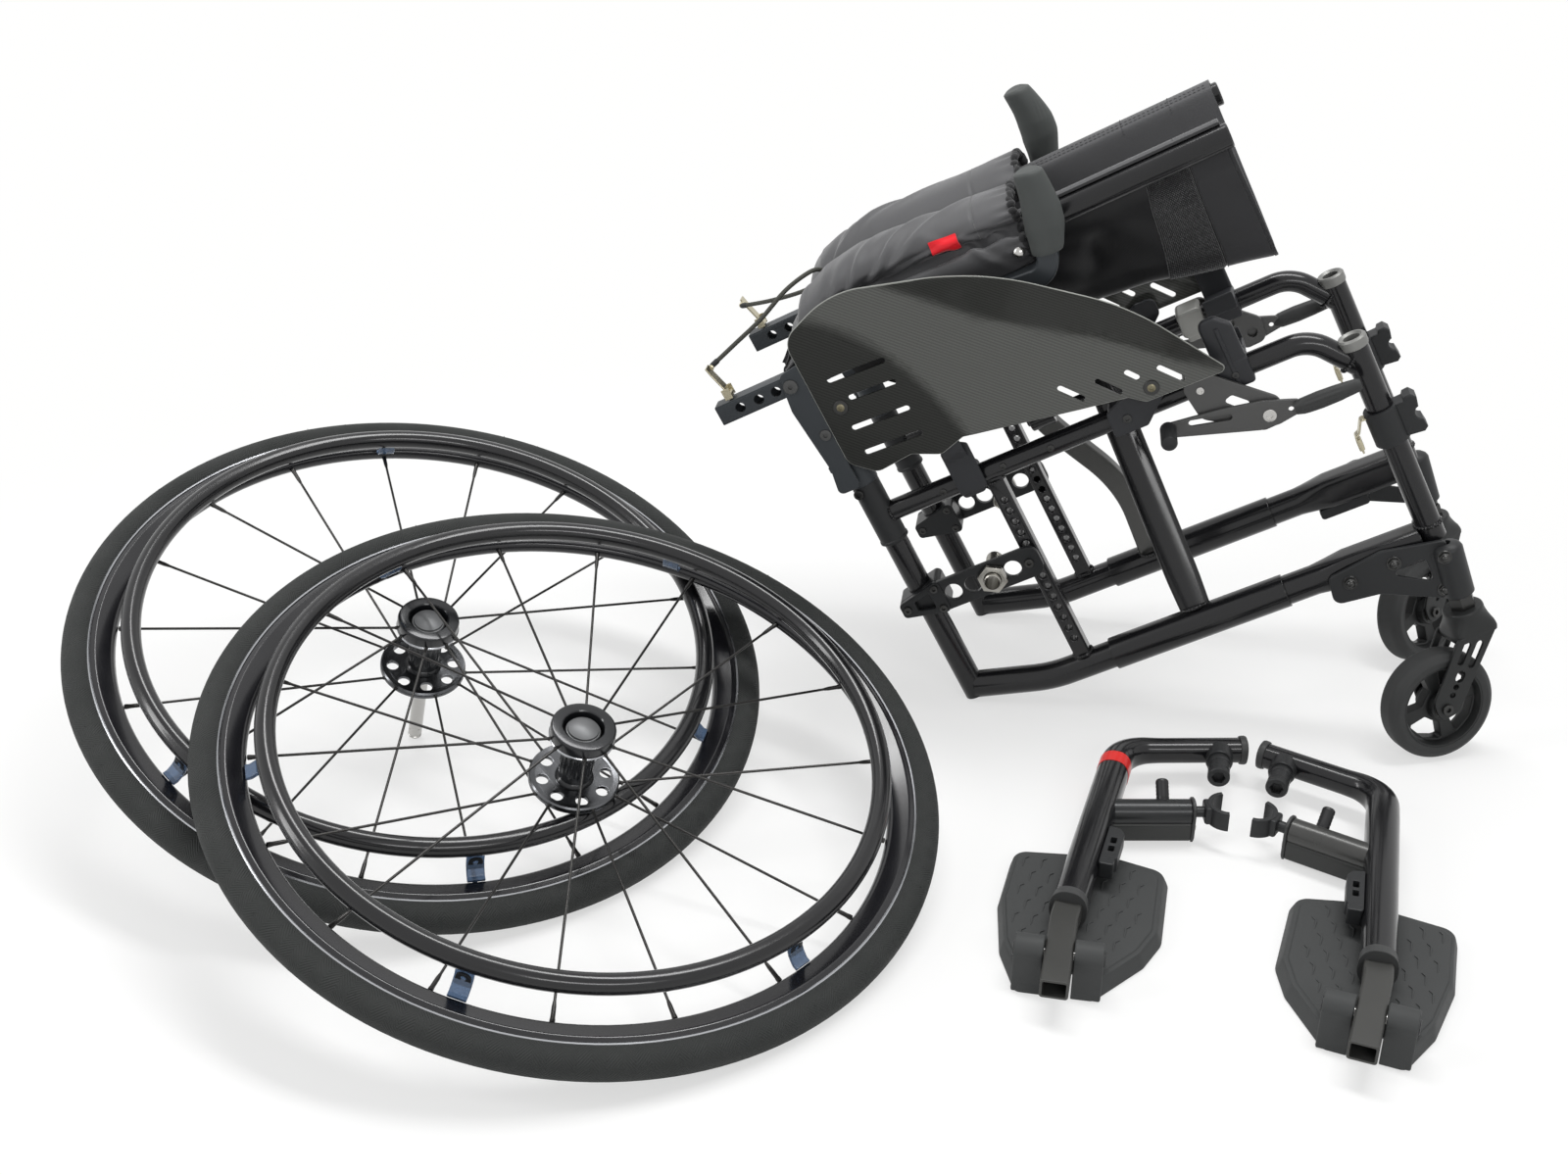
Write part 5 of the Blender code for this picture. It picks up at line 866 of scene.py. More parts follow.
def front_catch():
    """Saddle and lug: a ring round the tube, a nose with a rounded bite, and a small upstanding tooth."""
    ring_form = turned([(FRONT_R + 0.0002, 0.0895), (FRONT_R + 0.0034, 0.0895), (FRONT_R + 0.004, 0.0903),
                        (FRONT_R + 0.004, 0.1217), (FRONT_R + 0.0034, 0.1225), (FRONT_R + 0.0002, 0.1225)],
                       44, True)
    ring_form.points[:, 0] += FRONT_U
    bite = [(0.03 - 0.0058 * sin(a), 0.108 + 0.0058 * cos(a)) for a in np.linspace(0.25, pi - 0.25, 9)]
    outline = [(0.0115, 0.092), (0.0265, 0.0905), (0.03, 0.0935), *[(u, w) for u, w in reversed(bite)],
               (0.03, 0.1222), (0.0262, 0.1268), (0.0205, 0.1262), (0.0188, 0.1232), (0.0115, 0.1228)]
    nose = plate([(FRONT_U + u, w) for u, w in outline], -0.0092, 0.0092, (), 0.0016, 3)
    return [ring_form, nose]


def strike_clip():
    """A bent strip: its section is carried down a stepped path behind the front tube."""
    u = FRONT_U - FRONT_R
    path = bent([(u - 0.0005, 0, 0.118), (u - 0.0075, 0, 0.1185), (u - 0.0125, 0, 0.108),
                 (u - 0.0165, 0, 0.106), (u - 0.015, 0, 0.0895)], [0.002, 0.003, 0.0018], 5, 1)
    return [carry(path, oblong(0.0008, 0.005, 0.0006), Y),
            block((u - 0.0175, -0.0048, 0.092), (u - 0.0128, 0.0048, 0.103), 0.0008)]


def castor_housing():
    """Inclined housing tube with its drilled cheek plate and the saddle under the lower tube."""
    place = standing(STEM_FOOT, STEM_UP, Y)
    stem = turned([(0.0047, 0.0), (HOUSING_R - 0.001, 0.0), (HOUSING_R, 0.001),
                   (HOUSING_R, HOUSING_H - 0.006), (HOUSING_R - 0.0012, HOUSING_H - 0.0035),
                   (HOUSING_R - 0.004, HOUSING_H - 0.001), (0.004, HOUSING_H), (0.004, HOUSING_H - 0.012),
                   (0.0047, HOUSING_H - 0.013)], 48, True).moved(place)
    outline = rounded([(0.338, -0.031, 0.008), (0.342, -0.004, 0.006), (0.391, 0.003, 0.012),
                       (0.444, -0.008, 0.004), (0.44, -0.058, 0.004), (0.424, -0.06, 0.006),
                       (0.378, -0.036, 0.014)])
    window = rounded([(0.39, -0.0205, 0.003), (0.423, -0.018, 0.003), (0.423, -0.0425, 0.003),
                      (0.41, -0.0335, 0.004)])
    cheek = plate(outline, LOWER_R + 0.0005, LOWER_R + 0.005, [window], 0.0012, 3)
    saddle = block((0.345, -0.009, -0.034), (0.392, LOWER_R + 0.001, LOWER_W - LOWER_R - 0.0012), 0.002)
    web = carry([STEM_FOOT + STEM_UP * rise + (-0.01, 0, 0) for rise in (0.004, 0.046)],
                oblong(0.006, 0.004, 0.002), Y)
    return [stem, cheek, saddle, web]


def domed_bolt(at, along, radius):
    """Washer, low six-sided head and dome: rings of radius r, the middle ones six-sided."""
    flat = 0.86 / cos(pi / 6)
    rows = ((1.25, 0, 0), (1.28, 0.0005, 0), (1.22, 0.001, 0), (flat, 0.001, 1), (flat, 0.0028, 1),
            (0.74, 0.0032, 0), (0.66, 0.0045, 0), (0.45, 0.0054, 0), (0.18, 0.0058, 0))
    rings = collars([(radius * r, h, six) for r, h, six in rows], 48)
    return shell(rings).moved(standing(at, along, Z))


for side in SIDES:
    side_piece(side, "catch", front_catch(), TRIM_BLACK, "front_tube")
    side_piece(side, "strike_clip", strike_clip(), ZINC, "")
    side_piece(side, "housing", castor_housing(), TRIM_BLACK, "castor_housing")
    face = LOWER_R + 0.0048
    spots = ((0.358, -0.015), (0.3978, -0.0118), (0.4285, -0.0522))
    bolts = [domed_bolt((u, face, w), Y, 0.0052) for u, w in spots]
    bolts.append(domed_bolt((0.4385, face + 0.0085, -0.0185), Y, 0.005))
    side_piece(side, "housing_bolts", bolts, DARK_STEEL, "")

# Castors: a forged black fork on a stem through the housing, a moulded four-spoke rim on bearings,
# and a soft dark grey tyre. Each fork has swung back as the folded frame was set down.
FORK_TRAIL, FORK_DROP, FORK_GAP, FORK_LEG_T, FORK_SHOULDER = 0.048, 0.0895, 0.03, 0.003, -0.0335
CASTOR_R, CASTOR_WIDTH, CASTOR_RIM_R = 0.05, 0.028, 0.0378
CASTOR_TURNS = {"right": (radians(23.5), 0.0), "left": (radians(45.0), 0.0048)}
FORK_BLACK = finish("fork_black", (0.018, 0.019, 0.019), 0.46, 0.1, 0.05, grain=1700, relief=0.00004)
CASTOR_PLASTIC = finish("castor_plastic", (0.018, 0.019, 0.019), 0.5, grain=1300, relief=0.00005)
CASTOR_TYRE = finish("castor_tyre", (0.037, 0.038, 0.038), 0.66, 0.0, 0, 0.12, 30, 1000, 0.00005, 0.1)


def fork_leg(sign):
    """Tapering leg with two slots, a window and two holes, as a flat plate."""
    t, d = FORK_TRAIL, FORK_DROP
    outline = rounded([(-0.019, FORK_SHOULDER + 0.001, 0.004), (0.021, FORK_SHOULDER + 0.001, 0.004),
                       (0.0312, -0.0465, 0.03), (t + 0.0098, -d + 0.01, 0.012),
                       (t + 0.0085, -d - 0.0098, 0.009), (t - 0.01, -d - 0.0085, 0.009)], 8)
    start = np.array([0.001, FORK_SHOULDER])
    along = unit(np.array([t, -d]) - start)
    across = np.array([-along[1], along[0]])
    holes = []
    for hand, reach in ((-1, 0.0095), (1, 0.014)):
        first = start + along * reach + across * 0.0056 * hand
        holes.append(slot(first, start + along * 0.0295 + across * 0.0056 * hand, 0.006))
    holes.append(slot(start + along * 0.0405, start + along * 0.0435, 0.0078))
    holes += [circle(*(start + along * reach), 0.0026, 20) for reach in (0.052, 0.0598)]
    half = FORK_GAP / 2
    low, high = sorted((sign * half, sign * (half + FORK_LEG_T)))
    return plate(outline, low, high, holes, 0.0008)


def fork_crown(spacer):
    """Cup and bowed bridge: squared rings shrink and round off as they climb to the stem."""
    heights = np.array([-0.0385, -0.036, -0.0335, -0.0305, -0.0275, -0.0245, -0.0215, -0.018, -0.0155,
                        -0.014, -0.0132, -0.013])
    half_x = np.array([0.0198, 0.0202, 0.0202, 0.0198, 0.019, 0.0184, 0.018, 0.0176, 0.0176, 0.0172, 0.0164,
                       0.011])
    half_y = np.array([0.0178, 0.0182, 0.0182, 0.018, 0.0178, 0.0177, 0.0176, 0.0175, 0.0176, 0.0172,
                       0.0164, 0.011])
    power = np.array([7, 7, 6, 5, 3.6, 2.8, 2.3, 2, 2, 2, 2, 2.0])
    angle = full_turn(64)
    cosine, sine = np.cos(angle), np.sin(angle)
    reach = (np.abs(cosine) ** power[:, None] + np.abs(sine) ** power[:, None]) ** (-1 / power[:, None])
    tall = np.broadcast_to(heights[:, None], reach.shape)
    rings = np.stack([half_x[:, None] * reach * cosine + 0.001, half_y[:, None] * reach * sine, tall], -1)
    stem = turned([(0.0002, -0.016), (0.004, -0.016), (0.004, spacer + 0.0295), (0.0034, spacer + 0.03),
                   (0.0002, spacer + 0.03)], 28)
    forms = [shell(rings), stem]
    if spacer:
        forms.append(turned([(0.0042, 0.0001), (0.0094, 0.0001), (0.0098, 0.0006), (0.0098, spacer - 0.001),
                             (0.0094, spacer - 0.0005), (0.0042, spacer - 0.0005)], 36, True))
    return forms


def castor_rim():
    """Moulded disc with four openings, a deep lip on both sides and a bearing boss."""
    holes = [circle(0, 0, 0.0118, 32)]
    for k in range(4):
        middle = pi / 4 + k * pi / 2
        reach = ((0.0165, -0.38), (0.0175, -0.47), (0.031, -0.56), (0.0325, -0.5), (0.033, 0.0),
                 (0.0325, 0.5), (0.031, 0.56), (0.0175, 0.47), (0.0165, 0.38), (0.0158, 0.0))
        holes.append([(r * cos(middle + a), r * sin(middle + a)) for r, a in reach])
    web = plate(circle(0, 0, CASTOR_RIM_R - 0.002, 72), -0.006, 0.006, holes, 0.0014, 3)
    lip = turned([(CASTOR_RIM_R, -0.0128), (CASTOR_RIM_R, 0.0128), (CASTOR_RIM_R - 0.0016, 0.0128),
                  (CASTOR_RIM_R - 0.003, 0.01), (CASTOR_RIM_R - 0.0042, 0.005),
                  (CASTOR_RIM_R - 0.0042, -0.005), (CASTOR_RIM_R - 0.003, -0.01),
                  (CASTOR_RIM_R - 0.0016, -0.0128)], 72, True)
    hub = turned([(0.0092, -0.0138), (0.0118, -0.0138), (0.0124, -0.013), (0.0124, 0.013), (0.0118, 0.0138),
                  (0.0092, 0.0138), (0.0092, 0.011), (0.0092, -0.011)], 48, True)
    turn = standing(ORIGIN, Y, X)
    return [web, lip.moved(turn), hub.moved(turn)]


def castor_tyre():
    half = CASTOR_WIDTH / 2
    profile = rounded([(CASTOR_RIM_R + 0.0002, -half + 0.001, 0), (0.0435, -half, 0.003),
                       (CASTOR_R, -half + 0.005, 0.008), (CASTOR_R, half - 0.005, 0.008),
                       (0.0435, half, 0.003), (CASTOR_RIM_R + 0.0002, half - 0.001, 0)], 8)
    return turned(profile, 96, True).moved(standing(ORIGIN, Y, X))


BEARING = finish("bearing", (0.35, 0.343, 0.322), 0.34, 1.0, grain=1500, relief=0.00002)

for side, (swivel, spacer) in CASTOR_TURNS.items():
    sign, base = SIDES[side]
    foot = STEM_FOOT - STEM_UP * spacer
    back = np.array([-STEM_UP[2], 0, STEM_UP[0]])
    trail = back * cos(swivel) - Y * sin(swivel)
    place = FRAME @ basis(trail, np.cross(STEM_UP, trail), STEM_UP, (foot[0], base + sign * foot[1], foot[2]))
    hub = place @ basis(X, Y, Z, (FORK_TRAIL, 0, -FORK_DROP))
    side_piece(side, "fork", [fork_leg(1), fork_leg(-1), *fork_crown(spacer)], FORK_BLACK, "castor_fork",
               "castor_fork", place)
    outer = FORK_GAP / 2 + FORK_LEG_T
    nut = [(0.0098 * k / cos(pi / 6), h, True) for k, h in
           ((0.4, -0.0134), (0.98, -0.0134), (1.0, -0.0126), (1.0, -0.002), (0.94, -0.001), (0.4, -0.0008))]
    axle = [screw((FORK_TRAIL, outer - 0.0002, -FORK_DROP), Y, 0.005, 0.0028),
            screw((FORK_TRAIL, -outer + 0.0002, -FORK_DROP), -Y, 0.005, 0.0028),
            shell(collars(nut, 48), True)]
    side_piece(side, "fork_bolts", axle, DARK_STEEL, "", "castor_fork", place)
    side_piece(side, "rim", castor_rim(), CASTOR_PLASTIC, "castor_rim", "castor_wheel", hub)
    side_piece(side, "tyre", castor_tyre(), CASTOR_TYRE, "castor_tyre", "castor_wheel", hub)
    races = [turned([(0.0044, s * 0.0142), (0.0058, s * 0.0142), (0.006, s * 0.0136), (0.0076, s * 0.0134),
                     (0.0078, s * 0.014), (0.0092, s * 0.014), (0.0092, s * 0.0118), (0.0044, s * 0.0118)],
                    40, True, standing(ORIGIN, Y, X)) for s in (-1, 1)]
    side_piece(side, "bearings", races, BEARING, "", "castor_wheel", hub)

# Cross arms: two black arms scissor on a middle bolt. Each is welded to a sleeve that turns on a
# lower tube and to a seat rail. The near arm is a wide teardrop tube, the far one a bent flat bar.
ARM_LENGTH, ARM_CROSSING, RAIL_R, RAIL_U0, RAIL_U1 = 0.4249, 0.532, 0.0105, 0.02, 0.41
ARM_U, ARM_BAR, ARM_THICK, SLEEVE_R, SLEEVE_U0, SLEEVE_U1 = 0.224, 0.03, 0.012, 0.015, 0.14, 0.304
FOLD = asin(FOLDED_WIDTH / (2 * ARM_CROSSING * ARM_LENGTH))
ARM_GREY = finish("satin_arm", (0.069, 0.069, 0.066), 0.36, 0.55, grain=1600)


def arm_place(y, lean):
    across, along = (0, cos(lean), -sin(lean)), (0, sin(lean), cos(lean))
    return FRAME @ basis(X, across, along, (0, y, LOWER_W))


def arm_sleeve():
    wall = LOWER_R + 0.0006
    sleeve = turned([(wall, 0), (SLEEVE_R - 0.0004, 0), (SLEEVE_R, 0.0006),
                     (SLEEVE_R, SLEEVE_U1 - SLEEVE_U0 - 0.0006), (SLEEVE_R - 0.0004, SLEEVE_U1 - SLEEVE_U0),
                     (wall, SLEEVE_U1 - SLEEVE_U0)], 44, True)
    return sleeve.moved(standing((SLEEVE_U0, 0, 0), X, Y))


def seat_rail(u0=RAIL_U0, u1=RAIL_U1):
    """Round seat rail, open at its ends: outer wall, rolled lip, bore 30 mm deep."""
    length, bore = u1 - u0, RAIL_R - 0.0016
    rail = turned([(0.0004, 0.03), (bore, 0.03), (bore, 0.0008), (RAIL_R - 0.0008, 0), (RAIL_R, 0.0008),
                   (RAIL_R, length - 0.0008), (RAIL_R - 0.0008, length), (bore, length - 0.0008),
                   (bore, length - 0.03), (0.0004, length - 0.03)], 44)
    return rail.moved(standing((u0, 0, ARM_LENGTH), X, Y))


def teardrop(half_lift, half_side):
    """Section of the near arm: a rounded tube, |x/a|^1.75 + |y/b|^1.75 = 1, without the drawn-out front edge.
    """
    angle = full_turn(48)
    reach = (np.abs(np.cos(angle)) ** 1.75 + np.abs(np.sin(angle)) ** 1.75) ** (-1 / 1.75)
    return np.stack([half_side * reach * np.cos(angle), half_lift * reach * np.sin(angle)], 1)


stations = np.linspace(LOWER_R * 0.6, ARM_LENGTH - RAIL_R * 0.4, 40)
swell = np.clip((stations - stations[0]) / 0.035, 0, 1) * np.clip((stations[-1] - stations) / 0.035, 0, 1)
section = teardrop(1, 1)[None] * np.stack([ARM_THICK / 2 * (1 + 0.05 * swell),
                                           ARM_BAR / 2 * (0.9 + 0.1 * swell)], 1)[:, None]
near_arm = carry(np.stack([0 * stations + ARM_U, 0 * stations, stations], 1), section, X)
cross = ARM_CROSSING * ARM_LENGTH
bolt = tube((ARM_U - 0.01, 0, cross), (0.1462, 0, cross), 0.005, 24)
near_bits = [near_arm, arm_sleeve(), seat_rail(), bolt,
             weld((ARM_U, 0, SLEEVE_R - 0.001), Z, 0.0112, 0.0016),
             weld((ARM_U, 0, ARM_LENGTH - RAIL_R), Z, 0.0104, 0.0014)]
place = arm_place(0.0, FOLD)
piece("near_arm", put(near_bits, place), FRAME_BLACK, "arm_straight", ["cross_arm_straight"])
far_path = bent([(0.183, 0, LOWER_R * 0.6), (0.195, 0, 0.11), (0.158, 0, cross),
                 (0.15, 0, ARM_LENGTH - RAIL_R * 0.4)], [0.2, 0.25], 16)
place = arm_place(FOLDED_WIDTH, -FOLD)
far_bar = carry(far_path, oblong(ARM_THICK / 2, 0.0102, 0.0022), X)
boss = turned([(0.0056, 0), (0.0098, 0), (0.0105, 0.0007), (0.0105, 0.0223), (0.0098, 0.023),
               (0.0056, 0.023)], 40, True)
piece("far_arm_bar", far_bar.moved(place), ARM_GREY, "arm_curved", ())
boss = boss.moved(standing((0.149, 0, cross), X, Y))
far_bits = (arm_sleeve(), seat_rail(), boss, weld((0.184, 0, SLEEVE_R - 0.001), Z, 0.0106, 0.0015))
piece("far_arm", put(far_bits, place), FRAME_BLACK, "arm_curved", ["cross_arm_curved"])

# Rail cradles and guard mounts: moulded black clamps on the upper tube. The cradle's shelf and horn
# carry the seat rail when the chair is open, the mount's ear holds the guard's front screw.
CLIP_PLASTIC = finish("clip_plastic", (0.024, 0.025, 0.028), 0.44, 0.0, 0.05, grain=1100, relief=0.00004)


def rail_cradle():
    block_low = block((0.326, -0.013, UPPER_W - 0.0125), (0.354, 0.013, UPPER_W + 0.0125), 0.0022)
    shelf = block((0.326, -0.0365, UPPER_W + 0.0055), (0.354, -0.011, UPPER_W + 0.0122), 0.0014)
    lip = block((0.326, -0.0365, UPPER_W + 0.01), (0.354, -0.034, UPPER_W + 0.022), 0.001)
    horn = plate(rounded([(0.3265, UPPER_W + 0.008, 0.001), (0.3535, UPPER_W + 0.008, 0.001),
                          (0.3535, 0.246, 0.006), (0.342, 0.257, 0.006), (0.3265, 0.257, 0.008)]), 0.004,
                 0.0125, (), 0.0022, 3)
    rib = carry(np.array([(0.34, 0.0128, UPPER_W - 0.008), (0.34, 0.0128, 0.247)]),
                oblong(0.0016, 0.0012, 0.0006), Y)
    return [block_low, shelf, lip, horn, rib]


def guard_mount():
    ring_form = block((0.229, -0.012, UPPER_W - 0.012), (0.259, 0.0135, UPPER_W + 0.012), 0.0024)
    ear = plate(rounded([(0.228, 0.192, 0.004), (0.258, 0.192, 0.004), (0.284, 0.216, 0.006),
                         (0.284, 0.232, 0.006), (0.266, 0.233, 0.004), (0.229, 0.215, 0.004)]), 0.0125,
                0.0165, (), 0.0008)
    boss = turned([(0.0022, 0.016), (0.0042, 0.016), (0.0046, 0.0166), (0.0046, 0.023), (0.0022, 0.0237)],
                  28, True)
    return [ring_form, ear, boss.moved(standing((0.2746, 0, 0.2265), Y, Z))]


for side in SIDES:
    side_piece(side, "cradle", rail_cradle(), CLIP_PLASTIC, "rail_cradle")
    side_piece(side, "mount", guard_mount(), CLIP_PLASTIC, "guard_mount")
    bits = [screw((0.244, 0.0162, 0.205), Y, 0.004, 0.0014), screw((0.34, 0.0134, 0.203), Y, 0.003, 0.001)]
    side_piece(side, "mount_screws", bits, DARK_STEEL, "")

# Wheel locks: a pale clamp on the upper tube, a pivot plate, a push lever with a ribbed dark grip and
# a bright round bar that presses on the tyre.
BRAKE_U, BRAKE_W, BRAKE_OUT = 0.353, 0.162, 0.0155
CLAMP_GREY = finish("clamp_grey", (0.306, 0.306, 0.289), 0.42, 0.5, grain=1500)
LINK_GREY = finish("link_grey", (0.078, 0.078, 0.077), 0.4, 0.5, grain=1500)
LEVER_GRIP = finish("lever_grip", (0.036, 0.037, 0.037), 0.55, grain=1400, relief=0.00005)


def brake_plate():
    outline = rounded([(0.295, 0.214, 0.006), (0.322, 0.214, 0.008), (0.366, 0.172, 0.01),
                       (0.363, 0.15, 0.009), (0.344, 0.149, 0.008), (0.3, 0.18, 0.012)])
    window = rounded([(0.322, 0.187, 0.003), (0.331, 0.19, 0.003), (0.343, 0.178, 0.003),
                      (0.336, 0.172, 0.003)])
    return plate(outline, BRAKE_OUT, BRAKE_OUT + 0.004, [circle(BRAKE_U, BRAKE_W, 0.0045, 28), window],
                 0.0009)


def brake_arm(low):
    outline = rounded([(0.266, 0.178, 0.006), (0.268, 0.19, 0.006), (0.318, 0.1835, 0.02),
                       (0.352, 0.1765, 0.02), (0.374, 0.168, 0.012), (0.38, 0.1655, 0.004),
                       (0.38, 0.1545, 0.004), (0.358, 0.151, 0.012), (0.342, 0.152, 0.012)])
    slot_hole = slot((0.292, 0.1815), (0.322, 0.174), 0.0052)
    return plate(outline, low, low + 0.0035, [slot_hole, circle(0.371, 0.16, 0.0022, 20)], 0.0008)


def brake_grip(low):
    """Grip: an oval lofted along the lever, ribbed by a ripple on its outer half, with a plain nose."""
    u = np.linspace(0.374, 0.43, 57)
    swell = np.interp(u, [0.374, 0.38, 0.395, 0.41, 0.421, 0.428, 0.43],
                      [0.7, 0.92, 1.0, 0.94, 0.84, 0.74, 0.55])
    angle = full_turn(44)
    ripple = 1 + 0.035 * np.sign(np.sin(angle * 11)) * (np.sin(angle) > 0.1)
    fade = np.clip((u - 0.38) / 0.004, 0, 1) * np.clip((0.416 - u) / 0.004, 0, 1)
    wave = 1 + (ripple[None] - 1) * fade[:, None]
    section = np.stack([0.0076 * np.cos(angle) * wave, 0.0066 * np.sin(angle) * wave], -1)
    section = section * swell[:, None, None]
    path = np.stack([u, 0 * u + low + 0.0045, 0.1595 - 0.02 * (u - 0.374)], 1)
    return carry(path, section, Y)


for side in SIDES:
    low = BRAKE_OUT + 0.0045
    clamp = block((0.297, -0.013, UPPER_W - 0.013), (0.321, BRAKE_OUT + 0.0004, UPPER_W + 0.013), 0.003)
    ear = block((0.2995, -0.005, UPPER_W - 0.02), (0.3185, 0.006, UPPER_W - 0.0115), 0.0018)
    side_piece(side, "lock_clamp", [clamp, ear], CLAMP_GREY, "")
    side_piece(side, "lock_plate", brake_plate(), LINK_GREY, "brake_clamp")
    side_piece(side, "lock_arm", brake_arm(low), LINK_GREY, "brake_lever", "brake")
    side_piece(side, "lock_grip", brake_grip(low), LEVER_GRIP, "", "brake")
    shoe = turned([(0.0004, 0), (0.006, 0), (0.007, 0.001), (0.007, 0.0305), (0.006, 0.0325),
                   (0.003, 0.0332), (0.0004, 0.0334)], 32)
    bar = [shoe.moved(standing((0.272, low + 0.0012, 0.184), Y, X))]
    side_piece(side, "lock_bar", bar, TRIM_BLACK, "", "brake")
    bits = [screw((BRAKE_U, low + 0.0033, BRAKE_W), Y, 0.0058, 0.0016),
            screw((0.272, low + 0.0335, 0.184), Y, 0.003, 0.0006)]
    side_piece(side, "lock_pins", bits, STEEL, "", "brake")
    side_piece(side, "lock_screw", [screw((0.309, 0.0058, UPPER_W - 0.0158), Y, 0.004, 0.0022),
                                    screw((0.309, BRAKE_OUT + 0.0038, 0.2045), Y, 0.0034, 0.0014)], STEEL,
               "")

# Back: square satin blue-grey canes in clevis brackets on the rear tubes, each with a moulded grip on
# its end. A gold-zinc lever on each tail frees the back, and one thin braided cord pulls both.
PIVOT_U, PIVOT_W, CANE_SIDE, CANE_WALL = -0.004, 0.3526, 0.018, 0.0022
CANE_OUT, CANE_TAIL, CANE_REACH = 0.0105, 0.072, 0.2433
GRIP_OUT, GRIP_R, GRIP_LEAN = 0.0215, 0.0155, radians(14.7)
CLEVIS_OUT, CLEVIS_IN, CLEVIS_T = CANE_OUT + CANE_SIDE / 2 + 0.0005, CANE_OUT - CANE_SIDE / 2 - 0.0005, 0.003
CANE_BLUE = finish("satin_blue_grey", (0.04, 0.045, 0.05), 0.42, 0.15, grain=1800)
GRIP_RUBBER = finish("grip_rubber", (0.062, 0.067, 0.065), 0.64, 0.0, 0.0, 0.07, 20, 1500, 0.00005, 0.08)
RISE = np.array([sin(GRIP_LEAN), 0, cos(GRIP_LEAN)])


def cane():
    """Square tube with three cross holes near its open tail, its knee turned up into the grip's neck."""
    half = CANE_SIDE / 2
    tail = np.array([PIVOT_U - CANE_TAIL, CANE_OUT, PIVOT_W])
    holes = [circle(u, PIVOT_W, 0.0045, 28) for u in (-0.0545, -0.036, -0.019)]
    holes.append(circle(PIVOT_U, PIVOT_W, 0.0038, 20))
    joint = 0.03
    forms = []
    for low, high in ((CANE_OUT - half, CANE_OUT - half + CANE_WALL),
                      (CANE_OUT + half - CANE_WALL, CANE_OUT + half)):
        outline = [(tail[0], PIVOT_W - half + 0.0012), (tail[0], PIVOT_W + half - 0.0012),
                   (joint, PIVOT_W + half - 0.0012), (joint, PIVOT_W - half + 0.0012)]
        forms.append(plate(outline, low, high, holes, 0.0006))
    for w in (PIVOT_W - half, PIVOT_W + half - CANE_WALL):
        outline = [(tail[0], CANE_OUT - half + 0.0008), (tail[0], CANE_OUT + half - 0.0008),
                   (joint, CANE_OUT + half - 0.0008), (joint, CANE_OUT - half + 0.0008)]
        flat = plate(outline, w, w + CANE_WALL, (), 0.0006)
        forms.append(flat.moved(basis(X, Z, Y)))
    knee = np.array([PIVOT_U + CANE_REACH, GRIP_OUT, PIVOT_W])
    before = np.array([PIVOT_U + CANE_REACH - 0.045, CANE_OUT, PIVOT_W])
    start = np.array([joint - 0.002, CANE_OUT, PIVOT_W])
    path = bent([start, before, knee, knee + RISE * 0.026], [0.06, 0.018], 12)
    forms.append(carry(path, oblong(half, half, 0.0026), Y))
    neck = knee + RISE * 0.026
    forms.append(tube(neck - RISE * 0.003, neck + RISE * 0.046, GRIP_R - 0.006, 32))
    return forms


def grip(slide, tilt, bow):
    """Moulded grip: an oval section whose half-widths swell and narrow with height h, and whose outer
    face has three grooves near the top; its axis bows forward half way up, by bow sin(pi h / L). It leans by
    tilt, and its lower end stands slide above the neck's end."""
    h = np.concatenate([np.linspace(0.0008, 0.01, 6), np.linspace(0.013, 0.072, 34),
                        [0.075, 0.0772, 0.0788, 0.0797, 0.08]])
    axis = np.array([sin(tilt), 0, cos(tilt)])
    wide = np.interp(h, [0, 0.004, 0.012, 0.026, 0.042, 0.058, 0.07, 0.0765, 0.0788, 0.08],
                     [0.0138, 0.015, 0.0158, 0.0178, 0.0176, 0.0158, 0.0148, 0.0142, 0.013, 0.0108])
    deep = wide * np.interp(h, [0, 0.02, 0.05, 0.08], [0.96, 0.98, 0.94, 0.9])
    angle = full_turn(72)
    near_top = np.exp(-((h[:, None] - 0.052) / 0.012) ** 2)
    groove = sum(np.exp(-((angle[None] - radians(a) - 0.35 * (h[:, None] - 0.052) / 0.02) / 0.04) ** 2)
                 for a in (296, 312, 328))
    seam = np.exp(-(((angle[None] - radians(205))) / 0.035) ** 2)
    edge_line = seam * (0.5 + 0.5 * np.sin(h[:, None] * 1500)) * (h[:, None] < 0.072)
    reach = 1 - 0.05 * groove * near_top + 0.035 * edge_line
    lean = bow * np.sin(pi * h / 0.08)
    x = deep[:, None] * reach * np.cos(angle) + lean[:, None]
    y = wide[:, None] * reach * np.sin(angle)
    z = h[:, None] - 0.0012 * (h[:, None] > 0.0785) * np.cos(angle) ** 2
    rings = np.stack([x, y, np.broadcast_to(z, x.shape)], -1) * (0.96, 0.96, 0.88)
    neck = np.array([PIVOT_U + CANE_REACH, GRIP_OUT, PIVOT_W]) + RISE * 0.026
    return shell(rings).moved(standing(neck + axis * slide, axis, X))


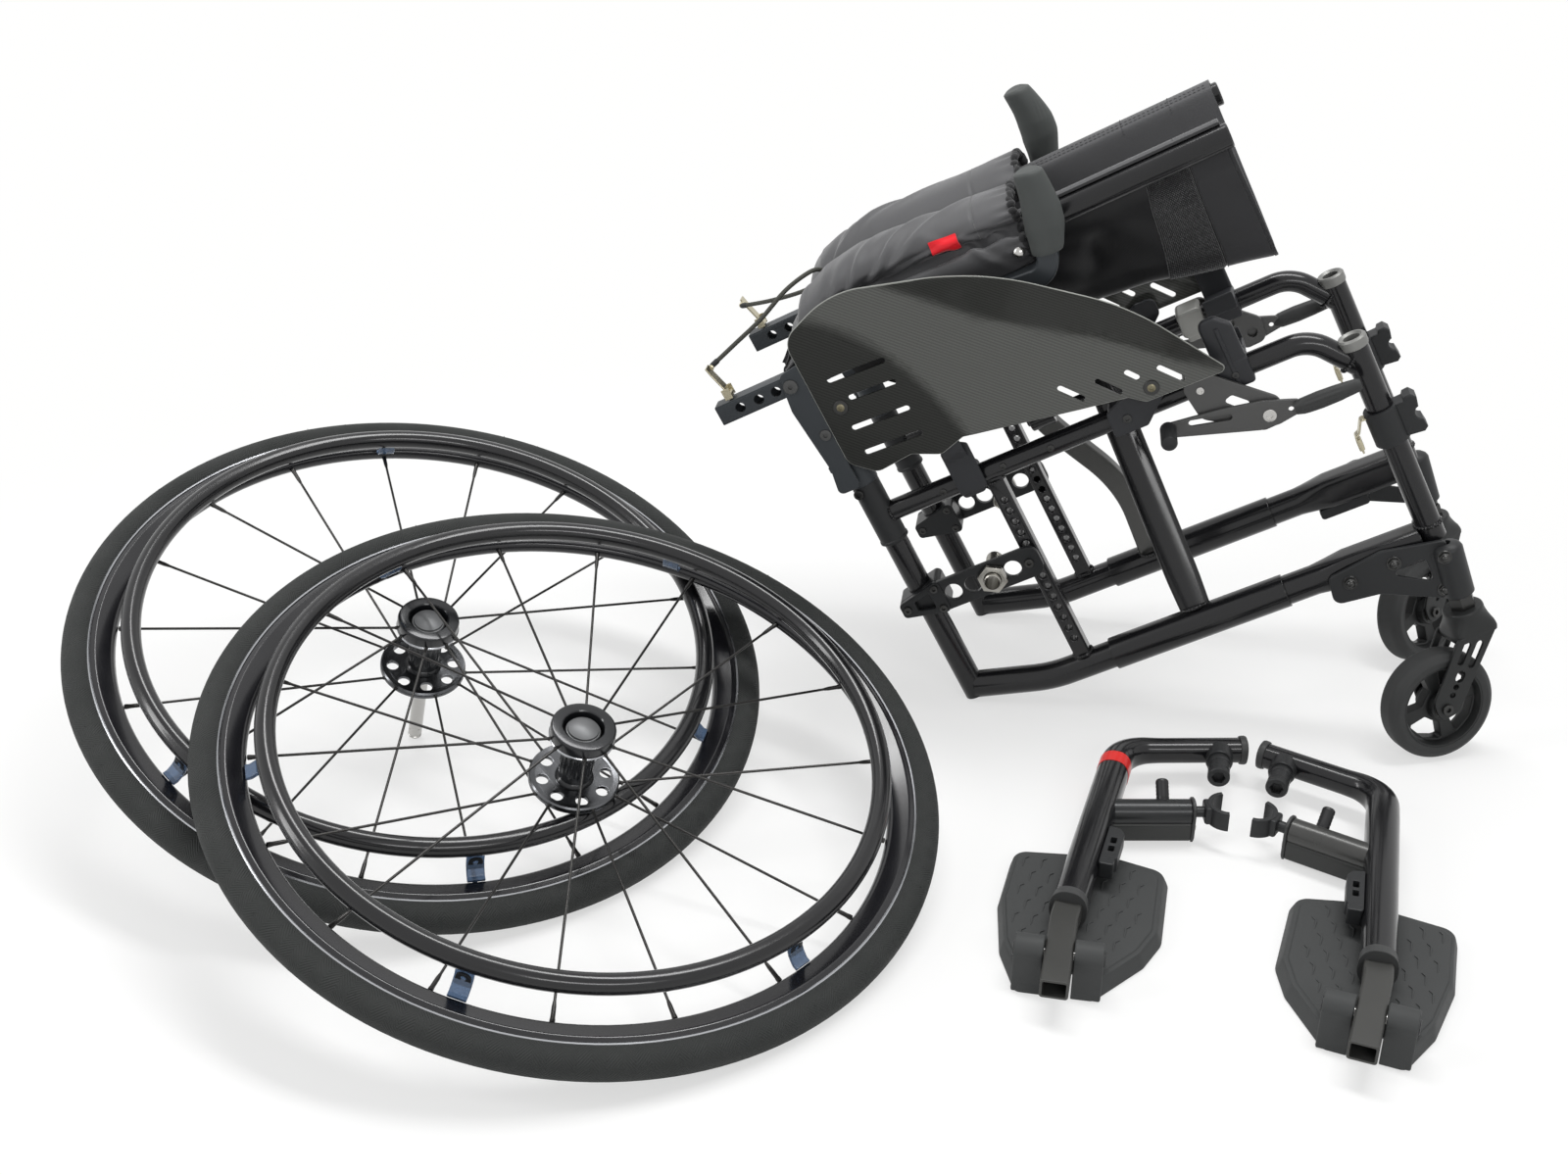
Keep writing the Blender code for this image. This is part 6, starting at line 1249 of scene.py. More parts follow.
def clevis():
    outline = rounded([(-0.012, 0.243, 0.005), (-0.008, 0.268, 0.012), (-0.014, 0.331, 0.02),
                       (-0.0095, 0.365, 0.006), (0.0185, 0.3695, 0.006), (0.009, 0.266, 0.012),
                       (0.0095, 0.243, 0.005)])
    face = CLEVIS_OUT + CLEVIS_T
    socket = turned([(REAR_R + 0.0003, 0.2385), (REAR_R + 0.0018, 0.2385), (REAR_R + 0.0024, 0.2392),
                     (REAR_R + 0.0024, 0.269), (REAR_R + 0.0018, 0.27), (REAR_R + 0.0003, 0.27)], 44, True)
    socket.points[:, 0] += REAR_U
    bridge = block((-0.01, CLEVIS_IN - 0.001, 0.264), (0.0088, CLEVIS_OUT + 0.001, 0.2705), 0.0008)
    pin = tube((PIVOT_U, CLEVIS_IN - 0.001, PIVOT_W), (PIVOT_U, CLEVIS_OUT + 0.001, PIVOT_W), 0.0037, 28)
    return [plate(outline, CLEVIS_OUT, face, (), 0.0007),
            plate(outline, CLEVIS_IN - CLEVIS_T, CLEVIS_IN, (), 0.0007), socket, bridge, pin]


def back_lever():
    """Folded zinc strip on a small barrel, its top curled round the cord's stud."""
    lever_w = PIVOT_W + CANE_SIDE / 2 + 0.0038
    path = bent([(-0.06, 0, lever_w - 0.0005), (-0.0603, 0, lever_w + 0.006), (-0.0652, 0, 0.3885),
                 (-0.0668, 0, 0.396)], [0.004, 0.006], 5, 3)
    strip = carry(path, oblong(0.0008, 0.0058, 0.0007), Y)
    strip.points[:, 1] += CANE_OUT
    barrel = tube((-0.06, CANE_OUT - 0.006, lever_w), (-0.06, CANE_OUT + 0.006, lever_w), 0.0034, 24)
    cheeks = [block((-0.064, CANE_OUT + o, lever_w - 0.0025),
                    (-0.0565, CANE_OUT + o + 0.001, lever_w + 0.0075), 0.0004) for o in (-0.007, 0.006)]
    stud = turned([(0.0003, 0), (0.0022, 0), (0.0028, 0.0006), (0.0028, 0.0016), (0.0017, 0.0022),
                   (0.0017, 0.004), (0.0026, 0.0044), (0.0026, 0.0054), (0.0003, 0.0056)], 24)
    return [strip, barrel, *cheeks, stud.moved(standing((-0.0667, CANE_OUT - 0.0102, 0.3915), Y, X))]


GRIPS = {"right": (-0.009, radians(10), 0.0036), "left": (0.0135, radians(1.5), 0.006)}
for side in SIDES:
    side_piece(side, "cane", cane(), CANE_BLUE, "back_cane", "back")
    side_piece(side, "grip", grip(*GRIPS[side]), GRIP_RUBBER, "push_grip", "back", sharp=55)
    side_piece(side, "clevis", clevis(), CANE_BLUE, "back_bracket")
    face = CLEVIS_OUT + CLEVIS_T
    bits = [screw((PIVOT_U, face - 0.0003, PIVOT_W), Y, 0.0066, 0.002, 0.34),
            screw((0.0033, face - 0.0003, 0.3), Y, 0.0052, 0.0018, 0.42)]
    side_piece(side, "clevis_screws", bits, LINK_GREY, "")
    side_piece(side, "back_lever", back_lever(), ZINC, "release_lever", "release")


def through(points, t):
    """A Catmull-Rom curve's value at t between the second and the third of four points."""
    p0, p1, p2, p3 = points
    return 0.5 * (2 * p1 + (p2 - p0) * t + (2 * p0 - 5 * p1 + 4 * p2 - p3) * t * t
                  + (3 * p1 - p0 - 3 * p2 + p3) * t ** 3)


def spline(points, count):
    """Evenly numbered points of a Catmull-Rom curve through the given ones."""
    points = np.asarray(points, float)
    ends = np.concatenate([points[:1], points, points[-1:]])
    place = np.linspace(0, len(points) - 1, count)
    i = np.minimum(place.astype(int), len(points) - 2)
    return through([ends[i + j] for j in range(4)], (place - i)[:, None])


def braid(name, colour):
    """Braided cord: crossing strands by two sine waves over its UV, in height."""
    paint = finish(name, colour, 0.78, 0.0, 0.0, 0.1, 40, 1600, 0.00003)
    tree = paint.node_tree
    uv, waves = uv_of(tree), []
    for turn in (0.72, -0.72):
        spin = added(tree, "Mapping", {"Vector": uv, "Rotation": (0, 0, turn)}).outputs["Vector"]
        waves.append(added(tree, "TexWave", {"Vector": spin, "Scale": 330}).outputs["Fac"])
    return emboss(paint, maths(tree, "MAXIMUM", *waves), 0.0003, 0.8)


CORD_R = 0.002
cord_route = [(-0.0667, -CANE_OUT + 0.0118, 0.3918), (-0.0397, 0.008, 0.3997), (-0.0107, 0.015, 0.4083),
              (0.0177, 0.03, 0.419), (0.0392, 0.05, 0.42), (0.044, 0.07, 0.412), (0.036, 0.088, 0.401),
              (0.0093, 0.112, 0.392), (-0.03, 0.137, 0.3905),
              (-0.0667, FOLDED_WIDTH + CANE_OUT - 0.0118, 0.3918)]
cord_line = spline(cord_route, 120)
CORD = braid("olive_cord", (0.069, 0.069, 0.059))
cord = carry(cord_line, ring(CORD_R, 16), (0, 1, 0.3))
piece("pull_cord", cord.moved(FRAME), CORD, "right_back", ["release_cord"], 70)
tip = turned([(0.0012, 0), (0.0023, 0.0004), (0.0026, 0.002), (0.0026, 0.007), (0.0021, 0.0085),
              (0.0012, 0.0088)], 20)
tips = [tip.moved(standing(cord_line[a], cord_line[b] - cord_line[a])) for a, b in ((0, 3), (-1, -4))]
piece("cord_tips", [tip.moved(FRAME) for tip in tips], TRIM_BLACK, "right_back", ())

# Side guards: moulded carbon panels with a clear coat. The top flares out along a crease, the lower
# rear is pressed in, slots let the screws slide, and a folded clip on the upper tube holds the hem.
# The flared top and the pressed-in rear are also darkened by painted shade in the carbon's colour.
GUARD_OUT, GUARD_T, GUARD_FLARE = 0.024, 0.0028, 0.45
GUARD_SCREWS = ((0.0274, 0.318), (0.2746, 0.2265))
GUARD_SLOTS_W = (0.3428, 0.3211, 0.2948, 0.2698)
CREASE_U = (0.0, 0.1108, 0.1675, 0.206, 0.251, 0.2786, 0.3087, 0.3324)
CREASE_W = (0.52, 0.3992, 0.3457, 0.3172, 0.287, 0.2645, 0.2363, 0.2183)


def carbon(name, pitch):
    """Carbon twill under clear coat: two thread waves in u and v take turns to lie on top, and the
    thread on top sets the tone and the small height of the weave. Painted shade: where the panel's
    attribute marks the pressed zone and the flared top, the colour is multiplied darker, and the coat
    and specular are lowered there."""
    paint = finish(name, (0.1, 0.103, 0.096), 0.34, 0.25, 0.55, 0.1, 7, 1200, 0.00001)
    tree = paint.node_tree

    def step(kind, *values):
        return maths(tree, kind, *values)

    u, v = (step("DIVIDE", way, pitch) for way in added(tree, "SeparateXYZ", {0: uv_of(tree)}).outputs[:2])
    stair = step("FRACT", step("DIVIDE", step("ADD", step("FLOOR", u), step("FLOOR", v)), 4.0))
    over = step("LESS_THAN", stair, 0.49)
    warp, weft = (step("ABSOLUTE", step("SINE", step("MULTIPLY", way, pi))) for way in (u, v))
    height = step("ADD", step("MULTIPLY", warp, over), step("MULTIPLY", weft, step("SUBTRACT", 1.0, over)))
    share = step("ADD", step("MULTIPLY", over, 0.5), step("MULTIPLY", height, 0.45))
    tone = added(tree, "Mix", {"Factor": share, "A": (0.04, 0.041, 0.037, 1), "B": (0.098, 0.101, 0.092, 1)},
                 data_type="RGBA")
    # Painted shade: the panel's point attribute, 1 over the pressed zone and 0.85 over the flared top,
    # darkens the colour.
    zone = added(tree, "Attribute", {}, attribute_name="pressed_and_painted_shade").outputs["Fac"]
    deep = added(tree, "Mix", {"Factor": zone, "A": tone.outputs["Result"], "B": (0.34, 0.34, 0.34, 1)},
                 data_type="RGBA", blend_type="MULTIPLY")
    changes = {"Base Color": deep.outputs["Result"]}
    for socket, clear, bare in (("Coat Weight", 0.5, 0.12), ("Specular IOR Level", 0.35, 0.16)):
        share = added(tree, "MapRange", {"Value": zone, "To Min": clear, "To Max": bare})
        changes[socket] = share.outputs["Result"]
    feed(tree, tree.nodes["Principled BSDF"], changes)
    return emboss(paint, height, 0.00006, 0.7)


GUARD_SCREW = finish("guard_screws", (0.2, 0.18, 0.12), 0.36, 0.9, grain=1500, relief=0.00002)
CARBON = carbon("carbon_twill", 0.0009)
GUARD_EDGE = finish("guard_edge", (0.294, 0.301, 0.28), 0.35, 0.2, grain=1500, relief=0.00002)


def guard_outline():
    return rounded([(0.01, 0.392, 0.02), (0.062, 0.414, 0.1), (0.19, 0.384, 0.2), (0.288, 0.303, 0.2),
                    (0.338, 0.2155, 0.004), (0.266, 0.2165, 0.005), (0.254, 0.2262, 0.006),
                    (0.212, 0.233, 0.2), (0.112, 0.2505, 0.008), (0.088, 0.243, 0.01),
                    (0.064, 0.254, 0.006), (0.03, 0.2505, 0.012), (0.01, 0.268, 0.014)], 14)


def guard_holes():
    holes = []
    for w in GUARD_SLOTS_W:
        start = 0.04 if abs(w - GUARD_SCREWS[0][1]) < 0.006 else 0.03
        holes.append(slot((start, w + 0.0012), (0.079, w - 0.0012), 0.0052))
    for u, w in ((0.212, 0.2489), (0.2427, 0.2417), (0.268, 0.2388), (0.294, 0.2316)):
        end = (u + 0.0065, w - 0.0078) if abs(u - 0.268) > 0.001 else (u - 0.001, w + 0.001)
        holes.append(slot((u - 0.0065, w + 0.0078), end, 0.0052))
    holes.append(circle(*GUARD_SCREWS[1], 0.0027, 24))
    return holes


def pressed_and_painted_shade(points):
    """1 inside the pressed-in zone at the lower rear and 0 outside, by an ellipse with a sharp border. The
    zone is pressed in by the bulge and is also darkened by painted shade.
    """
    border = np.hypot((points[:, 0] + 0.02) / 0.1383, (points[:, 2] - 0.2) / 0.2176)
    return 1 / (1 + np.exp(np.clip((border - 1) / 0.012, -30, 30)))


def guard_bulge(points):
    """How far the panel leaves its plane: the flare above the crease, softened over 3 mm, minus the
    pressed-in zone, whose curved border runs from the rear edge down to the hem."""
    above = 0.77 * (points[:, 2] - np.interp(points[:, 0], CREASE_U, CREASE_W))
    flare = GUARD_FLARE * 0.5 * (above + np.sqrt(above ** 2 + 0.003 ** 2))
    return np.where(above < -0.02, 0, flare) - 0.0024 * pressed_and_painted_shade(points)


def side_guard():
    """The panel: the outline and its holes are triangulated, split fine, and every point is moved out
    by the bulge. Its UV is the flat panel's own, so the weave follows the cloth."""
    flat = plate(guard_outline(), 0, GUARD_T, guard_holes(), 0.0005)
    made = bpy.data.meshes.new("guard_flat")
    made.from_pydata(flat.points, [], flat.faces)
    grown = bmesh.new()
    grown.from_mesh(made)
    bmesh.ops.remove_doubles(grown, verts=grown.verts[:], dist=0.00002)
    for _ in range(7):
        wide = [edge for edge in grown.edges if edge.calc_length() > 0.009]
        if not wide:
            break
        bmesh.ops.subdivide_edges(grown, edges=wide, cuts=1)
        bmesh.ops.triangulate(grown, faces=[face for face in grown.faces if len(face.verts) > 4])
    bmesh.ops.triangulate(grown, faces=grown.faces[:])
    bmesh.ops.beautify_fill(grown, faces=[face for face in grown.faces if abs(face.normal.y) > 0.99],
                            edges=[edge for edge in grown.edges if not edge.seam
                                   and all(abs(face.normal.y) > 0.99 for face in edge.link_faces)])
    grown.verts.index_update()
    points = np.array([vert.co[:] for vert in grown.verts])
    faces = [[vert.index for vert in face.verts] for face in grown.faces]
    grown.free()
    bpy.data.meshes.remove(made)
    uv = points[np.concatenate(faces)][:, [0, 2]]
    above = points[:, 2] - np.interp(points[:, 0], CREASE_U, CREASE_W)
    # Painted shade mask: the pressed zone, and the flared top above the crease at 0.85, to be painted darker.
    inner = pressed_and_painted_shade(points) + 0.85 / (1 + np.exp(np.clip(-above / 0.002, -30, 30)))
    points[:, 1] += GUARD_OUT + guard_bulge(points)
    return Form(points, faces, uv), inner


def guard_edge():
    """The pale edge where the layers are trimmed, a thin bead carried round the outline."""
    outline = guard_outline()
    line = np.stack([outline[:, 0], np.zeros(len(outline)), outline[:, 1]], 1)
    line[:, 1] = GUARD_OUT + GUARD_T / 2 + guard_bulge(line)
    return carry(line, ring(0.00075, 8), Y, 1.0, True)


def guard_clip():
    """Folded clip: a strap round the upper tube and a tongue that climbs behind the hem."""
    strap = block((0.0845, -0.012, UPPER_W - 0.0122),
                  (POST_U - POST_SIDE / 2 - 0.0008, 0.0135, UPPER_W + 0.0122), 0.0026)
    tongue = plate(rounded([(0.084, 0.196, 0.003), (0.11, 0.196, 0.003), (0.11, 0.24, 0.003),
                            (0.098, 0.247, 0.004), (0.084, 0.24, 0.004)]), 0.0125, 0.0158, (), 0.0009)
    hook = carry(bent([(0.097, 0.015, 0.23), (0.097, 0.0215, 0.2385), (0.097, 0.022, 0.25)], [0.004], 6, 2),
                 oblong(0.0095, 0.0012, 0.0008), (0, 1, 0.2))
    return [strap, tongue, hook]


for side in SIDES:
    # The guard's second value is its painted shade mask, stored below as a point attribute for the carbon
    # paint.
    panel, inner = side_guard()
    made = side_piece(side, "guard", panel, CARBON, "side_guard", sharp=30)
    made.data.attributes.new("pressed_and_painted_shade", "FLOAT", "POINT").data.foreach_set("value", inner.astype(np.float32))
    side_piece(side, "guard_edge", guard_edge(), GUARD_EDGE, "", sharp=70)
    side_piece(side, "guard_clip", guard_clip(), CLIP_PLASTIC, "")
    bits, washers = [], []
    for u, w in GUARD_SCREWS:
        seat = np.array([[u, 0, w]])
        out = GUARD_OUT + GUARD_T + guard_bulge(seat)[0]
        washers.append(turned([(0.003, 0), (0.0066, 0), (0.0068, 0.0004), (0.0064, 0.001), (0.003, 0.0012)],
                              40, True).moved(standing((u, out, w), Y, Z)))
        bits.append(screw((u, out + 0.0002, w), Y, 0.004, 0.0016, 0.5, True))
    side_piece(side, "guard_washers", washers, DARK_STEEL, "")
    side_piece(side, "guard_screws", bits, GUARD_SCREW, "")

# Back upholstery: grey coated nylon over thin padding, sewn round both canes. Folded with the frame it
# hangs in two long rolls, pleated on the near side, with elastic hems at its upper end and a bare red tab.
BACK_U = np.array([-0.004, 0.002, 0.012, 0.022, 0.035, 0.058, 0.092, 0.123, 0.16, 0.2, 0.229])
NEAR_TOP = np.array([0.369, 0.377, 0.3925, 0.402, 0.4115, 0.4235, 0.43, 0.431, 0.4275, 0.424, 0.4215])
FAR_TOP = np.array([0.369, 0.376, 0.39, 0.4, 0.4125, 0.4185, 0.4225, 0.4205, 0.4197, 0.4196, 0.4215])
BACK_WALL, BACK_ROWS, BACK_COLUMNS = 0.0042, 170, 161
BACK_START = PIVOT_W + CANE_SIDE / 2 + 0.0006
# The half section as (y, share of the height from hem to top): hem, belly, pleat, roll, valley.
BACK_SHAPE = np.array([(-0.0105, 0.0), (-0.015, 0.14), (-0.0185, 0.3), (-0.016, 0.46), (-0.0055, 0.57),
                       (-0.0095, 0.645), (-0.0105, 0.74), (-0.003, 0.875), (0.012, 0.975), (0.03, 1.0),
                       (0.048, 0.955), (0.064, 0.82), (0.0745, 0.66)])


def back_fabric(u, t):
    """Middle surface of the back: at each station u a curve over the half-section points, its height
    hem + share x (top(u) - hem), top(u) going from the near roll's to the far roll's; t runs 0 to 1 round it.
    Folds and pulls are a push along the normal, narrow bells across them: exp(-(distance / width)^2)."""
    near, far = np.interp(u, BACK_U, NEAR_TOP), np.interp(u, BACK_U, FAR_TOP)
    half = BACK_SHAPE
    middle = FOLDED_WIDTH / 2
    full = np.clip((u - BACK_U[0]) / 0.05, 0, 1)
    fade = 0.35 + 0.65 * np.sin(full * pi / 2)
    ys = np.concatenate([half[:, 0], [middle], FOLDED_WIDTH - half[::-1, 0]])
    shares = np.concatenate([half[:, 1], [0.6], half[::-1, 1]])
    steps = 400
    curve = spline(np.stack([ys, shares], 1), steps + 1)
    y, share = (np.interp(t * steps, np.arange(steps + 1), curve[:, k]) for k in (0, 1))
    mix = 0.5 - 0.5 * np.cos(pi * np.clip(t, 0, 1))
    top = near * (1 - mix) + far * mix
    w = BACK_START + share * (top - BACK_START)
    y = middle + (y - middle) * (0.93 + 0.07 * fade)
    # Each fold: its middle's u and t, half its length, its width, its lean and its depth.
    folds = ((0.15, 0.285, 0.062, 0.02, 0.62, 0.003), (0.118, 0.262, 0.05, 0.016, 0.85, 0.0034),
             (0.085, 0.235, 0.04, 0.016, 1.05, 0.003), (0.205, 0.155, 0.036, 0.017, -0.6, 0.0032),
             (0.19, 0.12, 0.032, 0.015, -0.95, 0.0028), (0.165, 0.15, 0.04, 0.014, -0.2, 0.0026),
             (0.13, 0.18, 0.045, 0.014, 0.3, 0.0026), (0.06, 0.19, 0.03, 0.018, 1.2, 0.0026),
             (0.075, 0.64, 0.045, 0.016, 0.75, 0.0036), (0.055, 0.6, 0.04, 0.016, 1.0, 0.0034),
             (0.098, 0.675, 0.04, 0.014, 0.55, 0.003), (0.15, 0.7, 0.05, 0.018, 0.3, 0.0018),
             (0.03, 0.33, 0.035, 0.02, 1.4, 0.0026), (0.026, 0.7, 0.03, 0.02, 1.3, 0.0024),
             (0.105, 0.4, 0.08, 0.022, 0.15, 0.0014))
    push = np.zeros(np.broadcast(u, t).shape)
    for at_u, at_t, long, short, lean, depth in folds:
        du, dt = u - at_u, (t - at_t) * 0.3
        along = du * cos(lean) + dt * sin(lean)
        across = -du * sin(lean) + dt * cos(lean) + 1.1 * along ** 2
        ridge = np.exp(-(across / (short * 0.28)) ** 2)
        valley = 0.8 * np.exp(-((across - short * 0.42) / (short * 0.34)) ** 2)
        push += depth * np.exp(-(along / long) ** 2) * (ridge - valley)
    end = np.exp(-((BACK_U[-1] - u) / 0.012) ** 2)
    push += end * 0.0009 * np.sin(t * 190) - end * 0.0016
    seam = np.exp(-((u - 0.1965 + 0.012 * (t > 0.5) * 0.7) / 0.0011) ** 2) * ((t > 0.17) & (t < 0.88))
    push -= 0.0007 * seam
    pleat = np.exp(-((t - 0.137) / 0.0085) ** 2) * np.clip((u - 0.085) / 0.03, 0, 1)
    push -= 0.0055 * pleat
    return np.stack(np.broadcast_arrays(u, y, w), -1), push


def back_skin(u, t, lift=0.0):
    """Points and outward normals of the back's outer face: middle surface + normal x (push + lift)."""
    step = 1e-4
    base, push = back_fabric(u, t)
    du = back_fabric(u + step, t)[0] - back_fabric(u - step, t)[0]
    dt = back_fabric(u, np.clip(t + step, 0, 1))[0] - back_fabric(u, np.clip(t - step, 0, 1))[0]
    normal = unit(np.cross(du, dt))
    return base + normal * (push + lift)[..., None], normal


def threads(centres, ways, normals, length=0.0019, radius=0.00024):
    """Sewn stitches: each a short four-sided bar with a raised middle, all built as one array."""
    across = unit(np.cross(normals, ways))
    ends = np.array([-0.5, 0.0, 0.5])[None, :, None, None] * length
    turn = np.arange(4) * pi / 2
    lift = np.array([-0.0002, 0.00022, -0.0002])[None, :, None, None]
    aside, up = np.cos(turn)[None, None, :, None], np.sin(turn)[None, None, :, None]
    body = (centres[:, None, None] + ends * ways[:, None, None] + lift * normals[:, None, None]
            + radius * (aside * across[:, None, None] + up * normals[:, None, None]))
    count = len(centres)
    first = np.arange(count)[:, None, None] * 12
    r, c = np.meshgrid(np.arange(2), np.arange(4), indexing="ij")
    quads = np.stack([r * 4 + c, r * 4 + (c + 1) % 4, (r + 1) * 4 + (c + 1) % 4, (r + 1) * 4 + c],
                     -1).reshape(1, -1, 4) + first
    lids = np.concatenate([np.array([[[3, 2, 1, 0]]]) + first, np.array([[[8, 9, 10, 11]]]) + first], 1)
    faces = np.concatenate([quads, lids], 1).reshape(-1, 4).tolist()
    return Form(body.reshape(-1, 3), faces, np.zeros((len(faces) * 4, 2)))


def walked(points):
    """The distance walked from the first of a line's points to each."""
    return np.concatenate([[0], np.cumsum(np.linalg.norm(np.diff(points, axis=0), axis=1))])


def sewn(skin, us, ts, pitch=0.003, lift=0.0003, length=0.0019):
    """Stitches at an even pitch along a line of (u, t) places on a skin."""
    points, normals = skin(us, ts, lift)
    walk = walked(points)
    at = np.arange(pitch / 2, walk[-1], pitch)
    centres = np.stack([np.interp(at, walk, points[:, k]) for k in range(3)], 1)
    facing = unit(np.stack([np.interp(at, walk, normals[:, k]) for k in range(3)], 1))
    ways = unit(np.stack([np.interp(at, walk, np.gradient(points[:, k])) for k in range(3)], 1))
    return threads(centres, ways, facing, length)


def cloth(name, colour, roughness, pitch, relief, sheen=0.25, mottle=0.1, coat=0.0, drift=30.0):
    """Woven cloth: a finish whose bump is two thread waves crossed over the piece's own UV in metres."""
    paint = finish(name, colour, roughness, 0.0, coat, mottle, drift, 900, 0.00003, 0.05)
    tree = paint.node_tree
    feed(tree, tree.nodes["Principled BSDF"], {"Sheen Weight": sheen, "Sheen Roughness": 0.4})
    weave = {"Vector": uv_of(tree), "Scale": 0.314 / pitch, "Distortion": 0.6, "Detail Scale": 2.0}
    heights = [added(tree, "TexWave", weave, bands_direction=way).outputs["Fac"] for way in ("X", "Y")]
    return emboss(paint, maths(tree, "MULTIPLY", *heights), relief, 1.0)


NYLON = cloth("grey_nylon", (0.076, 0.076, 0.079), 0.46, 0.0007, 0.00005, 0.18)
HEM_DARK = cloth("elastic_hem", (0.016, 0.016, 0.017), 0.75, 0.001, 0.00018, 0.3)
THREAD = finish("grey_thread", (0.18, 0.18, 0.18), 0.7, grain=1500, relief=0.00002)
RED_TAB = cloth("red_tab", (0.78, 0.012, 0.022), 0.42, 0.0005, 0.00004, 0.25, 0.04)

rows, columns = np.linspace(BACK_U[0], BACK_U[-1], BACK_ROWS), np.linspace(0, 1, BACK_COLUMNS)
outer, facing = back_skin(rows[:, None], columns[None])
hem = np.clip(np.minimum(columns, 1 - columns) / 0.04, 0, 1)[None, :, None]
edge = np.sin(np.clip((BACK_U[-1] - rows) / 0.004, 0, 1) * pi / 2)[:, None, None]
inner = outer - facing * BACK_WALL * (0.25 + 0.75 * hem) * (0.35 + 0.65 * edge)
back_piece = piece("back_cloth", shell(np.concatenate([outer, inner[:, ::-1]], 1)).moved(FRAME), NYLON,
                   "right_back", ["back_upholstery"], 60)
stitch_lines = [sewn(back_skin, np.full(200, 0.1968), np.linspace(0.155, 0.4, 200)),
                sewn(back_skin, np.full(200, 0.1886), np.linspace(0.62, 0.86, 200))]
piece("back_stitches", put(stitch_lines, FRAME), THREAD, "right_back", ())
for name, first, last in (("near", 0.02, 0.47), ("far", 0.53, 0.98)):
    t = np.linspace(first, last, 420)
    line, out = back_skin(np.full(420, BACK_U[-1]), t, -0.0022)
    line[:, 0] += 0.0013 + 0.0011 * np.sin(t * 230) * np.sin(t * 71)
    line += out * (0.0008 * np.sin(t * 310))[:, None]
    swell = 0.003 * (1 + 0.22 * np.sin(t * 260))
    band = carry(line, ring(1.0, 14), X, swell)
    piece(f"back_hem_{name}", band.moved(FRAME), HEM_DARK, "right_back", (), 70)
tab_u, tab_t = np.linspace(0.156, 0.18, 22), np.linspace(0.178, 0.244, 18)
over, tab_out = back_skin(tab_u[:, None], tab_t[None], 0.0026)
under = over - tab_out * 0.0012
piece("red_tab", shell(np.concatenate([over, under[:, ::-1]], 1)).moved(FRAME), RED_TAB, "right_back", (),
      50)
snap = turned([(0, 0), (0.0044, 0), (0.0046, 0.0006), (0.0036, 0.0016), (0.002, 0.0022), (0, 0.0024)], 30)
piece("strap_snap", snap.moved(FRAME @ standing((0.2225, -0.0192, 0.3772), (0.1, -1, 0.15))), STEEL,
      "right_back", ())

# Seat sling: heavy black cloth sewn round both seat rails, its near rail left bare in front. Folded, it
# hangs between the arms in one deep fold; its outer face has a fuzzy fastening band and a matte front hem.
SLING_T, NEAR_RAIL, RAIL_W, SLING_ROWS, SLING_COLUMNS = 0.0026, 0.0099, 0.3868, 130, 200
SLING_U = np.array([0.035, 0.12, 0.21, 0.3, 0.36, 0.405])
SLING_FLOOR = np.array([0.3, 0.298, 0.294, 0.282, 0.268, 0.2585])
SLING_BESIDE = ARM_THICK / 2 / cos(FOLD) + SLING_T + 0.0003


